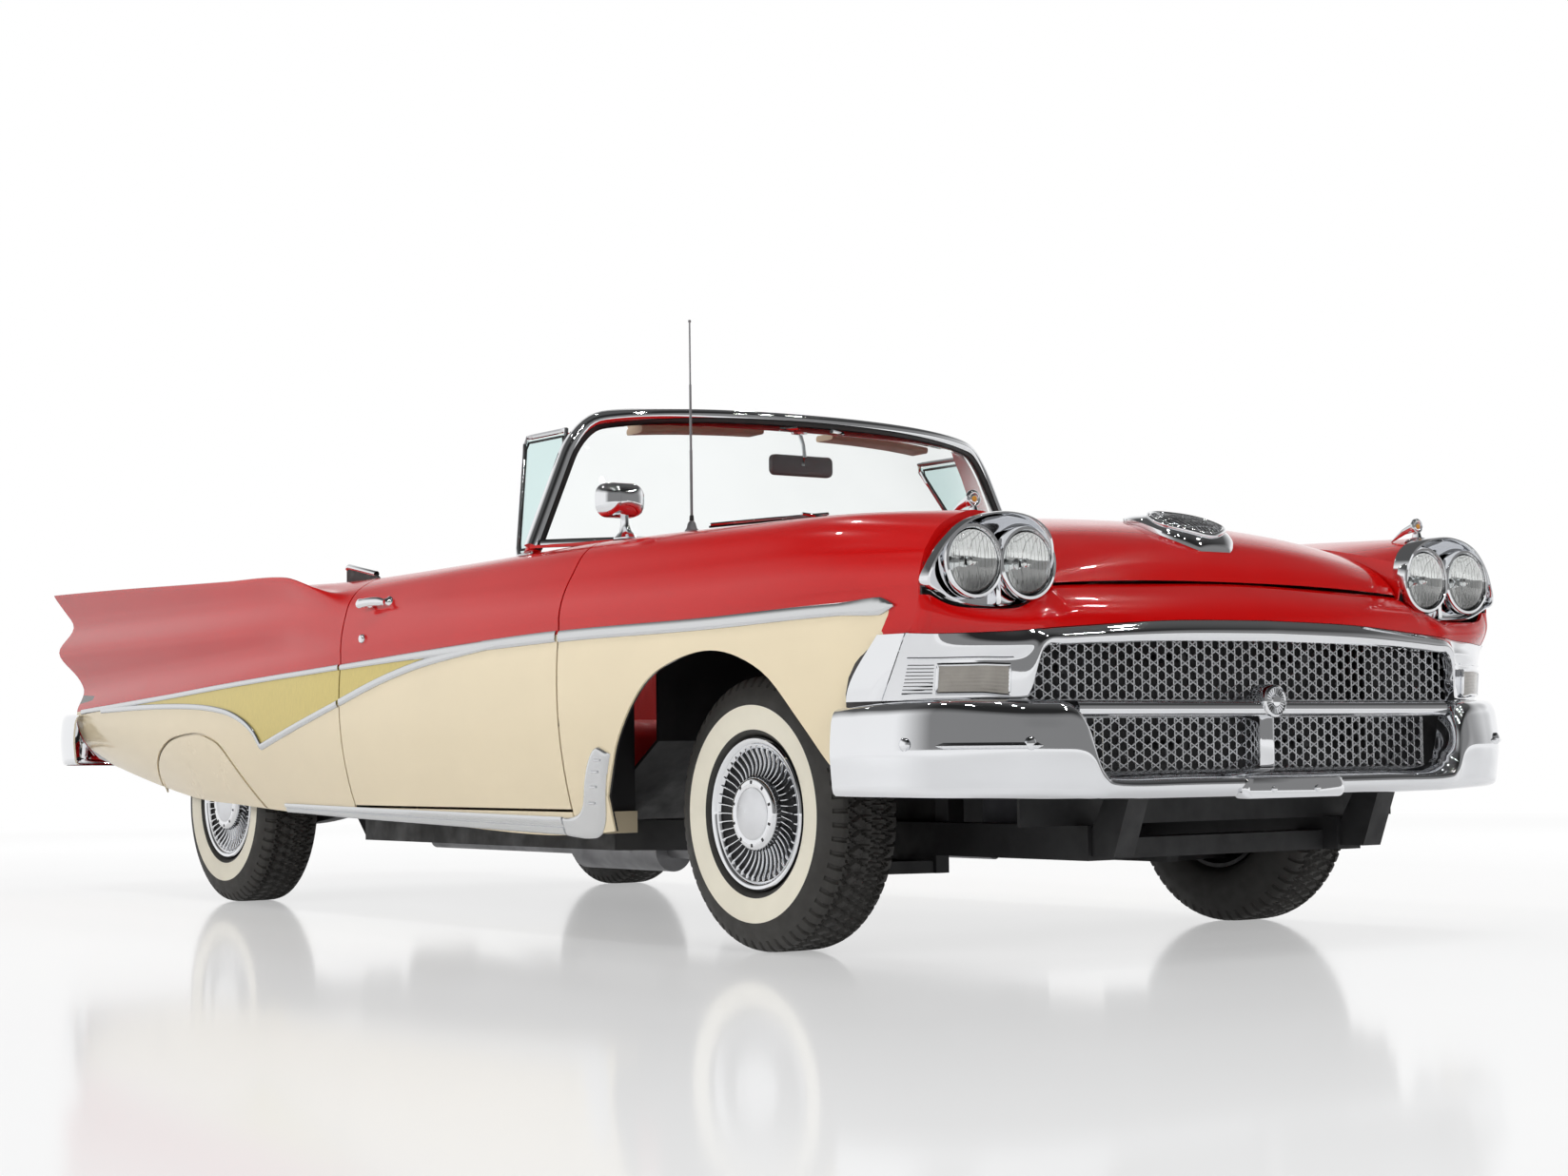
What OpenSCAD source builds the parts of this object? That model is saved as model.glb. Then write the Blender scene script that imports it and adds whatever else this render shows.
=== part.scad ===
// Two-door open car of the late 1950s, full size.
// +X points to the nose, +Y to the car's left side, +Z up; the wheels stand on Z = 0.
// Modules count X from the front axle; place() moves it to the middle of the length.

/* [Overall] */
// Distance between the axles
wheelbase = 2997; // [2900:1:3100]
// From the front axle to the front bumper's face
front_overhang = 885; // [860:1:920]
// From the rear axle to the rear bumper's face
rear_overhang = 1376; // [1340:1:1420]
// Width over the body sides
body_w = 1980; // [1940:1:2020]
// Height of the belt line above the road
belt_h = 1000; // [970:1:1030]
// Skin and flange thickness of the shell panels
wall = 10; // [8:0.5:12]
// Gap between a moving panel and its neighbour
panel_gap = 7; // [6:0.5:8]

/* [Wheels] */
// Distance between the front wheels' centre planes
track_front = 1499; // [1480:1:1520]
// Distance between the rear wheels' centre planes
track_rear = 1433; // [1415:1:1450]
// Outside diameter of a tyre
tyre_d = 640; // [630:1:650]
// Width of a tyre's section
tyre_w = 204; // [195:1:210]
// Rim diameter at the bead seat
rim_d = 356; // [350:1:360]
// Number of fins on a wheel cover
cover_fins = 44; // [36:1:48]
// Kingpin distance inboard of a front wheel's centre plane
kingpin_in = 100; // [95:1:110]

/* [Doors and lids] */
// From the front axle back to the door's front edge
door_start = 640; // [630:1:660]
// Length of a door
door_len = 1190; // [1160:1:1210]
// Height of the rocker panels at the doors' front edge
rocker_h = 64; // [58:1:70]
// From the widest side line in to a door's inner face
door_depth = 178; // [170:1:186]
// From the front axle back to the hood's rear edge
hood_tail = 480; // [460:1:495]
// From the rear axle forward to the trunk lid's front edge
lid_start = 60; // [40:1:80]
// Length of the trunk lid, seen from above
lid_len = 1245; // [1220:1:1260]

/* [Cabin] */
// Top of the floor above the road
floor_h = 300; // [290:1:310]
// Top of the front seat's cushion
seat_h = 560; // [540:1:580]
// Height of the windshield header above the belt line
screen_h = 402; // [390:1:410]
// Outside diameter of the steering wheel
steering_d = 430; // [410:1:440]

/* [Hidden] */
$fn = 48;
overrun = 5;
seat = 0.3;

// Main places
half_w = body_w / 2;
cabin_half_w = half_w - door_depth;
header_h = belt_h + screen_h;
overall_l = wheelbase + front_overhang + rear_overhang;
front_axle_x = overall_l / 2 - front_overhang;
tyre_r = tyre_d / 2;
rim_r = rim_d / 2;
door_front_x = -door_start;
door_rear_x = -door_start - door_len;

// Paint and finish colours
red = [0.72, 0.03, 0.03];
cream = [0.90, 0.83, 0.68];
chrome = [0.80, 0.81, 0.83];
black = [0.05, 0.05, 0.05];
steel = [0.35, 0.35, 0.37];
glass = [0.75, 0.85, 0.85, 0.4];
amber = [0.72, 0.70, 0.66];
lamp_red = [0.6, 0.02, 0.02];

// Curve helpers
function mix(a, b, t) = a + (b - a) * t;
function limit01(t) = max(0, min(1, t));
function ease(t) = let (u = limit01(t)) u * u * (3 - 2 * u);
function hermite(a, b, da, db, t) =
    a * (1 - 3 * t * t + 2 * t * t * t) + da * (t - 2 * t * t + t * t * t)
    + b * (3 * t * t - 2 * t * t * t) + db * (t * t * t - t * t);
// A smooth curve through points, s runs from 0 to the number of spans
function curve_at(p, s) =
    let (n = len(p) - 1, i = max(0, min(floor(s), n - 1)), t = s - i)
    let (a = p[max(i - 1, 0)], b = p[i], c = p[i + 1], d = p[min(i + 2, n)])
    hermite(b, c, (c - a) / 2, (d - b) / 2, t);
// A row of a table whose first column is the falling or rising key, interpolated smoothly
function span_of(tab, key, i = 0) =
    (i >= len(tab) - 2 || (key - tab[i + 1][0]) * (tab[1][0] - tab[0][0]) <= 0) ? i : span_of(tab, key, i + 1);
function slope_at(tab, i) =
    let (a = max(i - 1, 0), b = min(i + 1, len(tab) - 1)) (tab[b] - tab[a]) / (tab[b][0] - tab[a][0]);
function row_at(tab, key) =
    let (i = span_of(tab, key), w = tab[i + 1][0] - tab[i][0], t = (key - tab[i][0]) / w)
    hermite(tab[i], tab[i + 1], slope_at(tab, i) * w, slope_at(tab, i + 1) * w, t);

// Body side lines. Shares: station of the wheelbase; y of half the width; z of the belt height.
// Columns: station, sill y, sill z, lower bulge, moulding y, moulding z, upper bow, tail groove,
// edge y, edge z, valley y, valley z, crest y, crest z, inner y, inner z
side_shares = [
    [0.250, 0.895, 0.400, 0.010, 0.918, 0.781, 0.008, 0, 0.893, 0.888, 0.842, 0.940, 0.728, 0.966, 0.582, 0.892],
    [0.133, 0.934, 0.380, 0.020, 0.962, 0.778, 0.012, 0, 0.936, 0.905, 0.898, 0.958, 0.820, 0.985, 0.632, 0.958],
    [0.000, 0.939, 0.330, 0.025, 0.981, 0.770, 0.012, 0, 0.947, 0.905, 0.907, 0.965, 0.828, 0.994, 0.672, 0.985],
    [-0.214, 0.934, 0.262, 0.028, 0.988, 0.768, 0.012, 0, 0.949, 0.905, 0.907, 0.968, 0.845, 0.997, 0.720, 1.002],
    [-0.434, 0.934, 0.275, 0.028, 0.990, 0.750, 0.012, 0, 0.952, 0.900, 0.908, 0.960, 0.850, 0.986, 0.800, 0.985],
    [-0.611, 0.929, 0.287, 0.028, 0.988, 0.731, 0.010, 0, 0.958, 0.905, 0.925, 0.945, 0.862, 0.978, 0.800, 0.975],
    [-0.690, 0.920, 0.292, 0.030, 0.986, 0.722, 0.004, 0.006, 0.963, 0.962, 0.925, 0.955, 0.862, 0.980, 0.798, 0.976],
    [-0.755, 0.914, 0.298, 0.030, 0.983, 0.715, 0, 0.012, 0.964, 1.003, 0.920, 0.982, 0.860, 0.985, 0.796, 0.978],
    [-0.900, 0.902, 0.318, 0.031, 0.976, 0.697, 0, 0.019, 0.961, 1.016, 0.916, 0.991, 0.855, 0.988, 0.762, 0.978],
    [-1.034, 0.889, 0.340, 0.032, 0.968, 0.678, 0, 0.026, 0.957, 1.028, 0.912, 1.000, 0.850, 0.990, 0.715, 0.980],
    [-1.340, 0.869, 0.470, 0.025, 0.938, 0.642, 0, 0.038, 0.945, 1.057, 0.904, 1.022, 0.838, 0.990, 0.680, 0.945]
];
side_lines = [for (r = side_shares) [
    r[0] * wheelbase,
    r[1] * half_w, r[2] * belt_h, r[3] * half_w, r[4] * half_w, r[5] * belt_h, r[6] * half_w, r[7] * half_w,
    r[8] * half_w, r[9] * belt_h, r[10] * half_w, r[11] * belt_h, r[12] * half_w, r[13] * belt_h,
    r[14] * half_w, r[15] * belt_h
]];
// Half width of the lower side at height z, of the upper side at share t above the moulding
function lower_y(r, z) = let (t = (z - r[2]) / (r[5] - r[2])) mix(r[1], r[4], t) + r[3] * 4 * t * (1 - t);
function upper_y(r, t) = mix(r[4], r[8], t) + r[6] * 4 * t * (1 - t) + r[7] * (cos(720 * t) - 1) / 2;
// Knots of the section at station x whose lower edge is at z0, each [half width, height]
lower_knot_shares = [0, 1 / 3, 2 / 3];
upper_knot_shares = [0, 0.25, 0.5, 0.75];
function side_knots(x, z0) = let (r = row_at(side_lines, x)) concat(
    [for (t = lower_knot_shares) let (z = mix(z0, r[5], t)) [lower_y(r, z), z]],
    [for (t = upper_knot_shares) [upper_y(r, t), mix(r[5], r[9], t)]],
    [[r[8], r[9]], [r[10], r[11]], [r[12], r[13]], [r[14], r[15]]]
);
// How far each knot moves for the inside of the skin, as shares of the wall: inwards, downwards
skin_shares = [
    [1, 0], [1, 0], [1, 0], [1, 0], [1, 0], [1, 0], [1.2, 0],
    [2.2, 3.2], [1.2, 1.6], [0.3, 1.2], [0, 1.2]
];
function skin_knots(x, z0) = let (k = side_knots(x, z0))
    [for (i = [0:len(k) - 1]) [k[i][0] - wall * skin_shares[i][0], k[i][1] - wall * skin_shares[i][1]]];
sill_key = 0;
crest_key = 9;
inner_key = 10;
function sill_z(x) = row_at(side_lines, x)[2];
function key_steps(a, b, per) = [for (i = [0:per * (b - a)]) a + i / per];

// A closed skin between two grids of points with equal rows and columns
module skin(outer, inner, flip = false) {
    n = len(outer);
    m = len(outer[0]);
    function at(k, i, j) = (k * n + i) * m + j;
    function quad(a, b, c, d) = flip ? [[a, b, c], [a, c, d]] : [[a, c, b], [a, d, c]];
    faces = concat(
        [for (i = [0:n - 2], j = [0:m - 2])
            each quad(at(0, i, j), at(0, i, j + 1), at(0, i + 1, j + 1), at(0, i + 1, j))],
        [for (i = [0:n - 2], j = [0:m - 2])
            each quad(at(1, i, j), at(1, i + 1, j), at(1, i + 1, j + 1), at(1, i, j + 1))],
        [for (i = [0:n - 2], k = [0, m - 1]) let (f = k == 0)
            each quad(at(f ? 0 : 1, i, k), at(f ? 0 : 1, i + 1, k), at(f ? 1 : 0, i + 1, k), at(f ? 1 : 0, i, k))],
        [for (j = [0:m - 2], k = [0, n - 1]) let (f = k == 0)
            each quad(at(f ? 1 : 0, k, j), at(f ? 1 : 0, k, j + 1), at(f ? 0 : 1, k, j + 1), at(f ? 0 : 1, k, j))]
    );
    polyhedron(points = concat([for (r = outer) each r], [for (r = inner) each r]), faces = faces);
}
// Points of a side panel on the right: rows are lists [x, z0] and columns section keys
function side_grid(rows, keys, inside = false) = [for (r = rows)
    let (k = inside ? skin_knots(r[0], r[1]) : side_knots(r[0], r[1]))
    [for (s = keys) let (p = curve_at(k, s)) [r[0], -p[0], p[1]]]];
module place() { translate([front_axle_x, 0, 0]) children(); }
module both_sides() { children(); mirror([0, 1, 0]) children(); }

// Front fender. The wheel opening's outline, shares of its half length and of its height
arch_half = 455;
arch_mid_x = -5;
arch_low_share = 0.36;
arch_rise_share = 0.335;
arch_shares = [
    [-1, 0], [-0.92, 0.18], [-0.81, 0.42], [-0.63, 0.69], [-0.45, 0.86], [-0.19, 0.967], [0.06, 1],
    [0.30, 0.943], [0.54, 0.79], [0.76, 0.487], [0.90, 0.25], [1, 0.1]
];
fender_nose_shares = [0.2336, 0.190];
fender_nose_low_share = 0.56;
fender_heel_shares = [0, 0.6];
fender_toe_shares = [0.35, 0.7, 1];
fender_rows = concat(
    [for (t = fender_heel_shares) let (x = mix(door_front_x + panel_gap, arch_mid_x - arch_half, t)) [x, sill_z(x)]],
    [[arch_mid_x - arch_half - panel_gap, sill_z(arch_mid_x - arch_half - panel_gap)]],
    [for (a = arch_shares) [arch_mid_x + arch_half * a[0], belt_h * (arch_low_share + arch_rise_share * a[1])]],
    [for (t = fender_toe_shares) let (x = mix(arch_mid_x + arch_half, fender_nose_shares[0] * wheelbase, t)) [x, sill_z(x)]]
);
fender_keys = concat(key_steps(sill_key, crest_key, 2), [for (i = [1:4]) mix(crest_key, inner_key, i / 4)]);
// The nose leans: its lower part ends further back than the lamp hood above it
function nose_back(z) = let (low = fender_nose_low_share * belt_h, high = row_at(side_lines, fender_nose_shares[0] * wheelbase)[5])
    mix((fender_nose_shares[0] - fender_nose_shares[1]) * wheelbase, 0, ease((z - low) / (high - low)));
function lean(p) = let (x0 = arch_mid_x + arch_half, x1 = fender_nose_shares[0] * wheelbase)
    p[0] < x0 ? p : [p[0] - nose_back(p[2]) * (p[0] - x0) / (x1 - x0), p[1], p[2]];
function leaned(g) = [for (r = g) [for (p = r) lean(p)]];
module fender_right() color(red) place()
    skin(leaned(side_grid(fender_rows, fender_keys)), leaned(side_grid(fender_rows, fender_keys, true)), true);
module fender_left() mirror([0, 1, 0]) fender_right();

// Door hinges: gooseneck arms on the post, their barrels round pins in pockets of the door
hinge_pin_back = 60;
hinge_pin_in = 20;
hinge_pin_r = 4;
hinge_barrel_r = 7;
hinge_h = 30;
hinge_reach = 65;
hinge_arm_t = 12;
hinge_side_gap = 1.5;
hinge_end_gap = 3;
hinge_z_shares = [0.548, 0.718];
hinge_x = door_front_x - hinge_pin_back;
hinge_y = half_w - hinge_pin_in;
bore_clear = 0.05;
module at_hinges() for (z = hinge_z_shares) translate([hinge_x, -hinge_y, z * belt_h]) children();
module hinge_pocket() {
    back = hinge_barrel_r + hinge_side_gap;
    half = hinge_h / 2 + hinge_end_gap;
    translate([-back, -back, -half])
        cube([hinge_pin_back + back + overrun, back + hinge_reach + hinge_arm_t / 2 + hinge_side_gap, 2 * half]);
}
module hinge_pin() translate([0, 0, -hinge_h / 2 - hinge_end_gap - overrun])
    cylinder(r = hinge_pin_r, h = hinge_h + 2 * (hinge_end_gap + overrun));
module hinge_arm(to_x) difference() {
    translate([0, 0, -hinge_h / 2]) linear_extrude(height = hinge_h) {
        circle(r = hinge_barrel_r);
        translate([-hinge_arm_t / 2, 0]) square([hinge_arm_t, hinge_reach + hinge_arm_t / 2]);
        translate([-hinge_arm_t / 2, hinge_reach - hinge_arm_t / 2]) square([to_x - hinge_x + hinge_arm_t / 2, hinge_arm_t]);
    }
    translate([0, 0, -hinge_h / 2 - overrun]) cylinder(r = hinge_pin_r + bore_clear, h = hinge_h + 2 * overrun);
}

// Door: the outer skin and a flat inner face, as thick as the whole door
door_bottom = sill_z(door_front_x) + rocker_h;
door_spans = 10;
door_rows = [for (i = [0:door_spans]) [mix(door_front_x, door_rear_x, i / door_spans), door_bottom]];
door_keys = key_steps(sill_key, crest_key, 2);
door_bevel = 15;
function door_inside(g) = [for (r = g) [for (p = r) [p[0] <= door_rear_x ? p[0] + door_bevel : p[0], -cabin_half_w, p[2]]]];
module door_right() color(red) place() {
    difference() {
        skin(side_grid(door_rows, door_keys), door_inside(side_grid(door_rows, door_keys)));
        at_hinges() hinge_pocket();
    }
    at_hinges() hinge_pin();
}
module door_left() mirror([0, 1, 0]) door_right();

// Rear quarter with its fin; skirt's outline as shares of its half length and rise
skirt_half = 447;
skirt_ahead = 72;
skirt_low_share = 0.3;
skirt_rise_share = 0.243;
skirt_gap = 4;
skirt_mid_x = -wheelbase + skirt_ahead;
skirt_shares = [[-1, 0.2], [-0.9, 0.48], [-0.74, 0.715], [-0.52, 0.88], [-0.31, 0.96], [0.1, 1], [0.32, 0.94],
    [0.5, 0.82], [0.73, 0.46], [0.88, 0.2], [1, 0]];
tail_x = side_shares[len(side_shares) - 1][0] * wheelbase;
quarter_front_shares = [0, 0.25, 0.5, 0.75, 1];
quarter_tail_shares = [0.02, 0.25, 0.5, 0.75, 1];
function skirt_top(i) = belt_h * (skirt_low_share + skirt_rise_share * skirt_shares[i][1]);
quarter_rows = concat(
    [for (t = quarter_front_shares)
        let (x = mix(door_rear_x - panel_gap, skirt_mid_x + skirt_half + skirt_gap, t)) [x, sill_z(x)]],
    [for (i = [len(skirt_shares) - 1:-1:0]) let (x = skirt_mid_x + skirt_half * skirt_shares[i][0])
        [x, max(skirt_top(i) + skirt_gap, sill_z(x))]],
    [for (t = quarter_tail_shares) let (x = mix(skirt_mid_x - skirt_half, tail_x, t)) [x, sill_z(x)]]
);
quarter_keys = key_steps(sill_key, inner_key, 2);
// The tail end leans back to the lamp pod's outline at each height share
tail_lean_shares = [[0.44, -0.020], [0.64, -0.008], [0.70, -0.008], [0.76, 0.02], [0.85, 0.048], [0.93, 0.03],
    [1.0, 0.05], [1.08, 0.066]];
function tail_lean(z) = row_at([for (r = tail_lean_shares) [r[0] * belt_h, r[1] * wheelbase]], z)[1];
tail_blend = 700;
function tail_shift(p) = let (t = limit01((tail_x + tail_blend - p[0]) / tail_blend))
    [p[0] - tail_lean(p[2]) * t * t, p[1], p[2]];
function tailed(g) = [for (r = g) [for (p = r) tail_shift(p)]];
module quarter_right() color(red) place()
    skin(tailed(side_grid(quarter_rows, quarter_keys)), tailed(side_grid(quarter_rows, quarter_keys, true)));
module quarter_left() mirror([0, 1, 0]) quarter_right();

// Wheel skirt that closes the rear wheel opening, with a flange behind the quarter's edge
skirt_steps = 4;
skirt_min_h = 3;
skirt_end_gap = 12;
skirt_flange_h = 22;
skirt_flange_t = 5;
skirt_flange_fit = 1.2;
function skirt_x(i) = skirt_mid_x + (skirt_half - skirt_end_gap) * skirt_shares[i][0];
function skirt_edge(i) = max(skirt_top(i) - skirt_gap, sill_z(skirt_x(i)) + skirt_min_h);
function skirt_grid(inset) = [for (i = [0:len(skirt_shares) - 1]) let (x = skirt_x(i), r = row_at(side_lines, x))
    [for (j = [0:skirt_steps]) let (z = mix(r[2], skirt_edge(i), j / skirt_steps)) [x, -lower_y(r, z) + inset, z]]];
function flange_grid(inset) = [for (i = [1:len(skirt_shares) - 3]) let (x = skirt_x(i), r = row_at(side_lines, x))
    [for (k = [-1:1]) let (z = skirt_edge(i) + k * skirt_flange_h) [x, -lower_y(r, z) + inset, z]]];
module fender_skirts() color(cream) place() both_sides() {
    skin(skirt_grid(0), skirt_grid(wall), true);
    skin(flange_grid(wall + skirt_flange_fit), flange_grid(wall + skirt_flange_fit + skirt_flange_t), true);
}

// Hood: centre and edge lines from nose to cowl, shares of its length and of the belt height
hood_nose_x = 729;
hood_side_gap = 9;
hood_l = hood_nose_x + hood_tail;
hood_half_w = row_at(side_lines, -hood_tail)[14] - hood_side_gap;
hood_centre_shares = [[0, 0.835], [0.032, 0.885], [0.09, 0.938], [0.19, 0.982], [0.35, 1.010], [0.60, 1.026], [1, 1.022]];
hood_edge_shares = [[0.005, 0.820], [0.032, 0.850], [0.09, 0.892], [0.19, 0.934], [0.35, 0.968], [0.60, 0.988], [1, 1.003]];
hood_edge_w_shares = [0.795, 0.81, 0.835, 0.87, 0.915, 0.955, 1];
hood_crown_power = 2.4;
hood_nose_h = hood_centre_shares[0][1] * belt_h;
function hood_pt(u, v) = let (
    c = curve_at(hood_centre_shares, u), e = curve_at(hood_edge_shares, u), w = curve_at(hood_edge_w_shares, u),
    drop = pow(abs(v), hood_crown_power))
    [hood_nose_x - hood_l * mix(c[0], e[0], v * v), v * w * hood_half_w, belt_h * mix(c[1], e[1], drop)];
hood_u = key_steps(0, len(hood_centre_shares) - 1, 2);
hood_v = [for (j = [-7:7]) j / 7];
hood_skin = 12;
hood_steep_share = 0.82;
// The inside is set back from the steep nose as well as down
function hood_in(p) = let (k = ease((p[0] / hood_nose_x - hood_steep_share) / (1 - hood_steep_share)))
    p - [hood_skin * ease(k * 3), 0, hood_skin * (1 - k)];
function hood_grid() = [for (u = hood_u) [for (v = hood_v) hood_pt(u, v)]];
module hood() color(red) place() skin(hood_grid(), [for (r = hood_grid()) [for (p = r) hood_in(p)]]);

// Chrome scoop on the hood's nose
scoop_half_w = 135;
scoop_h = 30;
scoop_edge = 5;
scoop_steps = 6;
scoop_u_shares = [1.45, 3.5];
scoop_tip_share = 0.08;
scoop_fit = 0.7;
scoop_rim_share = 0.98;
scoop_plan_power = 0.6;
scoop_rise_power = 0.8;
function scoop_wave(a) = sin(180 * mix(scoop_tip_share, 1 - scoop_tip_share, a));
function scoop_pt(a, b, lift) = let (
    u = mix(scoop_u_shares[0], scoop_u_shares[1], a), w = pow(scoop_wave(a), scoop_plan_power),
    p = hood_pt(u, b * w * scoop_half_w / hood_half_w))
    p + [0, 0, lift * sqrt(max(0, 1 - b * b)) * pow(scoop_wave(pow(a, scoop_rise_power)), scoop_rise_power)];
scoop_b = [for (j = [-scoop_steps:scoop_steps]) scoop_rim_share * j / scoop_steps];
module hood_scoop() color(chrome) place() skin(
    [for (i = [0:scoop_steps]) [for (b = scoop_b) scoop_pt(i / scoop_steps, b, scoop_h) + [0, 0, scoop_edge]]],
    [for (i = [0:scoop_steps]) [for (b = scoop_b) scoop_pt(i / scoop_steps, b, 0) + [0, 0, scoop_fit]]]);

// Front panel between hood, lamps and grille bar: top and bottom lines by share of the half width
// Columns: y share, then x and z of the top edge as shares of the nose's reach and height
panel_reach = 814;
panel_line_shares = [
    [-0.900, 0.868, 0.938], [-0.86, 0.893, 0.912], [-0.80, 0.908, 0.905], [-0.70, 0.915, 0.907], [-0.65, 0.915, 0.922],
    [-0.61, 0.893, 0.945], [-0.575, 0.888, 0.962], [-0.545, 0.886, 0.972], [-0.36, 0.890, 0.981],
    [0, 0.895, 0.991], [0.36, 0.890, 0.981], [0.545, 0.886, 0.972], [0.575, 0.888, 0.962],
    [0.61, 0.893, 0.945], [0.65, 0.915, 0.922], [0.70, 0.915, 0.907], [0.80, 0.908, 0.905], [0.86, 0.893, 0.912],
    [0.900, 0.868, 0.938]
];
panel_bow = 14;
panel_fit = 1.2;
// The lower edge follows the chrome bar's top
function panel_pt(u, t) = let (r = curve_at(panel_line_shares, u), b = row_at(surround_shares, abs(r[0])))
    [panel_reach * mix(r[1], b[1], t) + panel_bow * sin(180 * t), half_w * r[0],
     mix(hood_nose_h * r[2], belt_h * b[2] + panel_fit, t)];
panel_t = [0, 0.33, 0.67, 1];
panel_u = key_steps(0, len(panel_line_shares) - 1, 2);
function panel_grid(back) = [for (u = panel_u) [for (t = panel_t) panel_pt(u, t) - [back, 0, 0]]];
module front_panel() color(red) place() skin(panel_grid(0), panel_grid(wall));

// Chrome surround: a bar over the grille that turns into the parking lamp housings
// From the middle outwards: y share, then x share of the reach and z share, top and bottom
surround_shares = [
    [0, 1.000, 0.735, 1.000, 0.706], [0.30, 0.994, 0.730, 0.994, 0.702], [0.58, 0.972, 0.714, 0.972, 0.690],
    [0.66, 0.962, 0.710, 0.962, 0.676], [0.70, 0.950, 0.707, 0.950, 0.588], [0.80, 0.918, 0.703, 0.912, 0.578],
    [0.88, 0.870, 0.702, 0.850, 0.575], [0.92, 0.842, 0.704, 0.785, 0.575], [0.938, 0.826, 0.706, 0.725, 0.575]
];
surround_depth = 26;
surround_bow = 10;
surround_turn_shares = [0.7, 0.92];
function both_keys(n) = [for (i = [-2 * n:2 * n]) i / 2];
surround_keys = both_keys(len(surround_shares) - 1);
function turn_at(y, range) = ease((y - range[0]) / (range[1] - range[0]));
function surround_pt(s, t, back) = let (
    r = curve_at(surround_shares, abs(s)), side = s < 0 ? -1 : 1, k = turn_at(r[0], surround_turn_shares))
    [panel_reach * mix(r[1], r[3], t) + surround_bow * sin(180 * t) * (1 - k) - back * (1 - k),
     side * (half_w * r[0] - back * k), belt_h * mix(r[2], r[4], t)];
surround_z = [0, 0.3, 0.7, 1];
module grille_surround() color(chrome) place()
    skin([for (s = surround_keys) [for (t = surround_z) surround_pt(s, t, 0)]],
        [for (s = surround_keys) [for (t = surround_z) surround_pt(s, t, surround_depth)]]);

// Grille of hexagonal cells: one field above the bar and one below
// Columns: half width share, then lower and upper edge as shares of the belt height
cell_pitch = 30;
cell_web = 5;
mesh_t = 5;
mesh_x = 748;
mesh_rim = 8;
field_shares = [[0.67, 0.576, 0.688], [0.5606, 0.412, 0.524]];
function field_box(f) = [f[0] * half_w, f[1] * belt_h, f[2] * belt_h];
cell_r = (cell_pitch - cell_web) / sqrt(3);
cell_row = cell_pitch * sqrt(3) / 2;
module mesh_field(f) {
    rows = floor((f[2] - f[1] - 2 * mesh_rim - 2 * cell_r) / cell_row);
    cols = floor((f[0] - mesh_rim - cell_pitch / 2) / cell_pitch - 1 / 2);
    mid = (f[1] + f[2]) / 2;
    along_x(mesh_x, mesh_x + mesh_t) difference() {
        translate([-f[0], f[1]]) square([2 * f[0], f[2] - f[1]]);
        for (j = [0:rows], i = [-cols:cols])
            translate([(i + (j % 2) / 2) * cell_pitch, mid + (j - rows / 2) * cell_row]) rotate(30) circle(r = cell_r, $fn = 6);
    }
}
module along_x(x0, x1) translate([x0, 0, 0]) rotate([90, 0, 90]) linear_extrude(height = x1 - x0) children();
module grille_mesh() color(steel) place() for (f = field_shares) mesh_field(field_box(f));

// Bar across the grille's middle with its bullet and post
bar_z_share = 0.545;
bar_z = bar_z_share * belt_h;
bar_half_share = 0.5657;
bar_half = bar_half_share * half_w;
bar_r = 17;
bar_x = 815;
bullet_r = 38;
bullet_nose = 16;
post_w = 48;
post_low = field_box(field_shares[1])[1];
post_back_x = mesh_x + mesh_t + seat;
module grille_bar() color(chrome) place() {
    translate([bar_x, -bar_half, bar_z]) rotate([-90, 0, 0]) cylinder(r = bar_r, h = 2 * bar_half);
    translate([bar_x - bullet_r, 0, bar_z + bar_r]) rotate([0, 90, 0]) rotate_extrude()
        polygon([[0, 0], [bullet_r, 0], [bullet_r, bullet_r], [bullet_r - bullet_nose, 2 * bullet_r - bullet_nose],
            [bullet_r - bullet_nose, 2 * bullet_r], [0, 2 * bullet_r]]);
    translate([post_back_x, -post_w / 2, post_low]) cube([bar_x - post_back_x, post_w, bar_z - post_low]);
}

// Front bumper: plan line, top and bottom edges
// Columns along the right half: y share, x share of the overhang, top z, bottom z (belt shares)
bumper_shares = [
    [0, 1.0015, 0.412, 0.352], [0.30, 1.000, 0.412, 0.353], [0.50, 0.996, 0.416, 0.354], [0.56, 0.993, 0.470, 0.355],
    [0.61, 0.989, 0.545, 0.356], [0.68, 0.977, 0.558, 0.357], [0.80, 0.937, 0.558, 0.360], [0.91, 0.852, 0.557, 0.362],
    [0.965, 0.750, 0.556, 0.364], [0.985, 0.648, 0.554, 0.365], [0.988, 0.570, 0.552, 0.366]
];
bumper_bulge_share = 0.035;
bumper_t = 16;
bumper_z = [0, 0.12, 0.32, 0.55, 0.8, 1];
bumper_turn_shares = [0.72, 0.94];
bumper_tuck_share = 0.35;
bumper_side_share = 0.4;
function bumper_pt(tab, reach, s, t, back) = let (
    r = curve_at(tab, abs(s)), side = s < 0 ? -1 : 1, k = turn_at(r[0], bumper_turn_shares), bulge = bumper_bulge_share * reach,
    out = bulge * (sin(180 * t) - bumper_tuck_share * pow(1 - t, 3)) - back)
    [reach * r[1] - bulge + out * (1 - k), side * (half_w * r[0] + (out - bulge) * k * bumper_side_share),
     belt_h * mix(r[2], r[3], t)];
module bumper_skin(tab, reach) skin(
    [for (s = both_keys(len(tab) - 1)) [for (t = bumper_z) bumper_pt(tab, reach, s, t, 0)]],
    [for (s = both_keys(len(tab) - 1)) [for (t = bumper_z) bumper_pt(tab, reach, s, t, bumper_t)]]);
module front_bumper() color(chrome) place() bumper_skin(bumper_shares, front_overhang);

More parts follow.
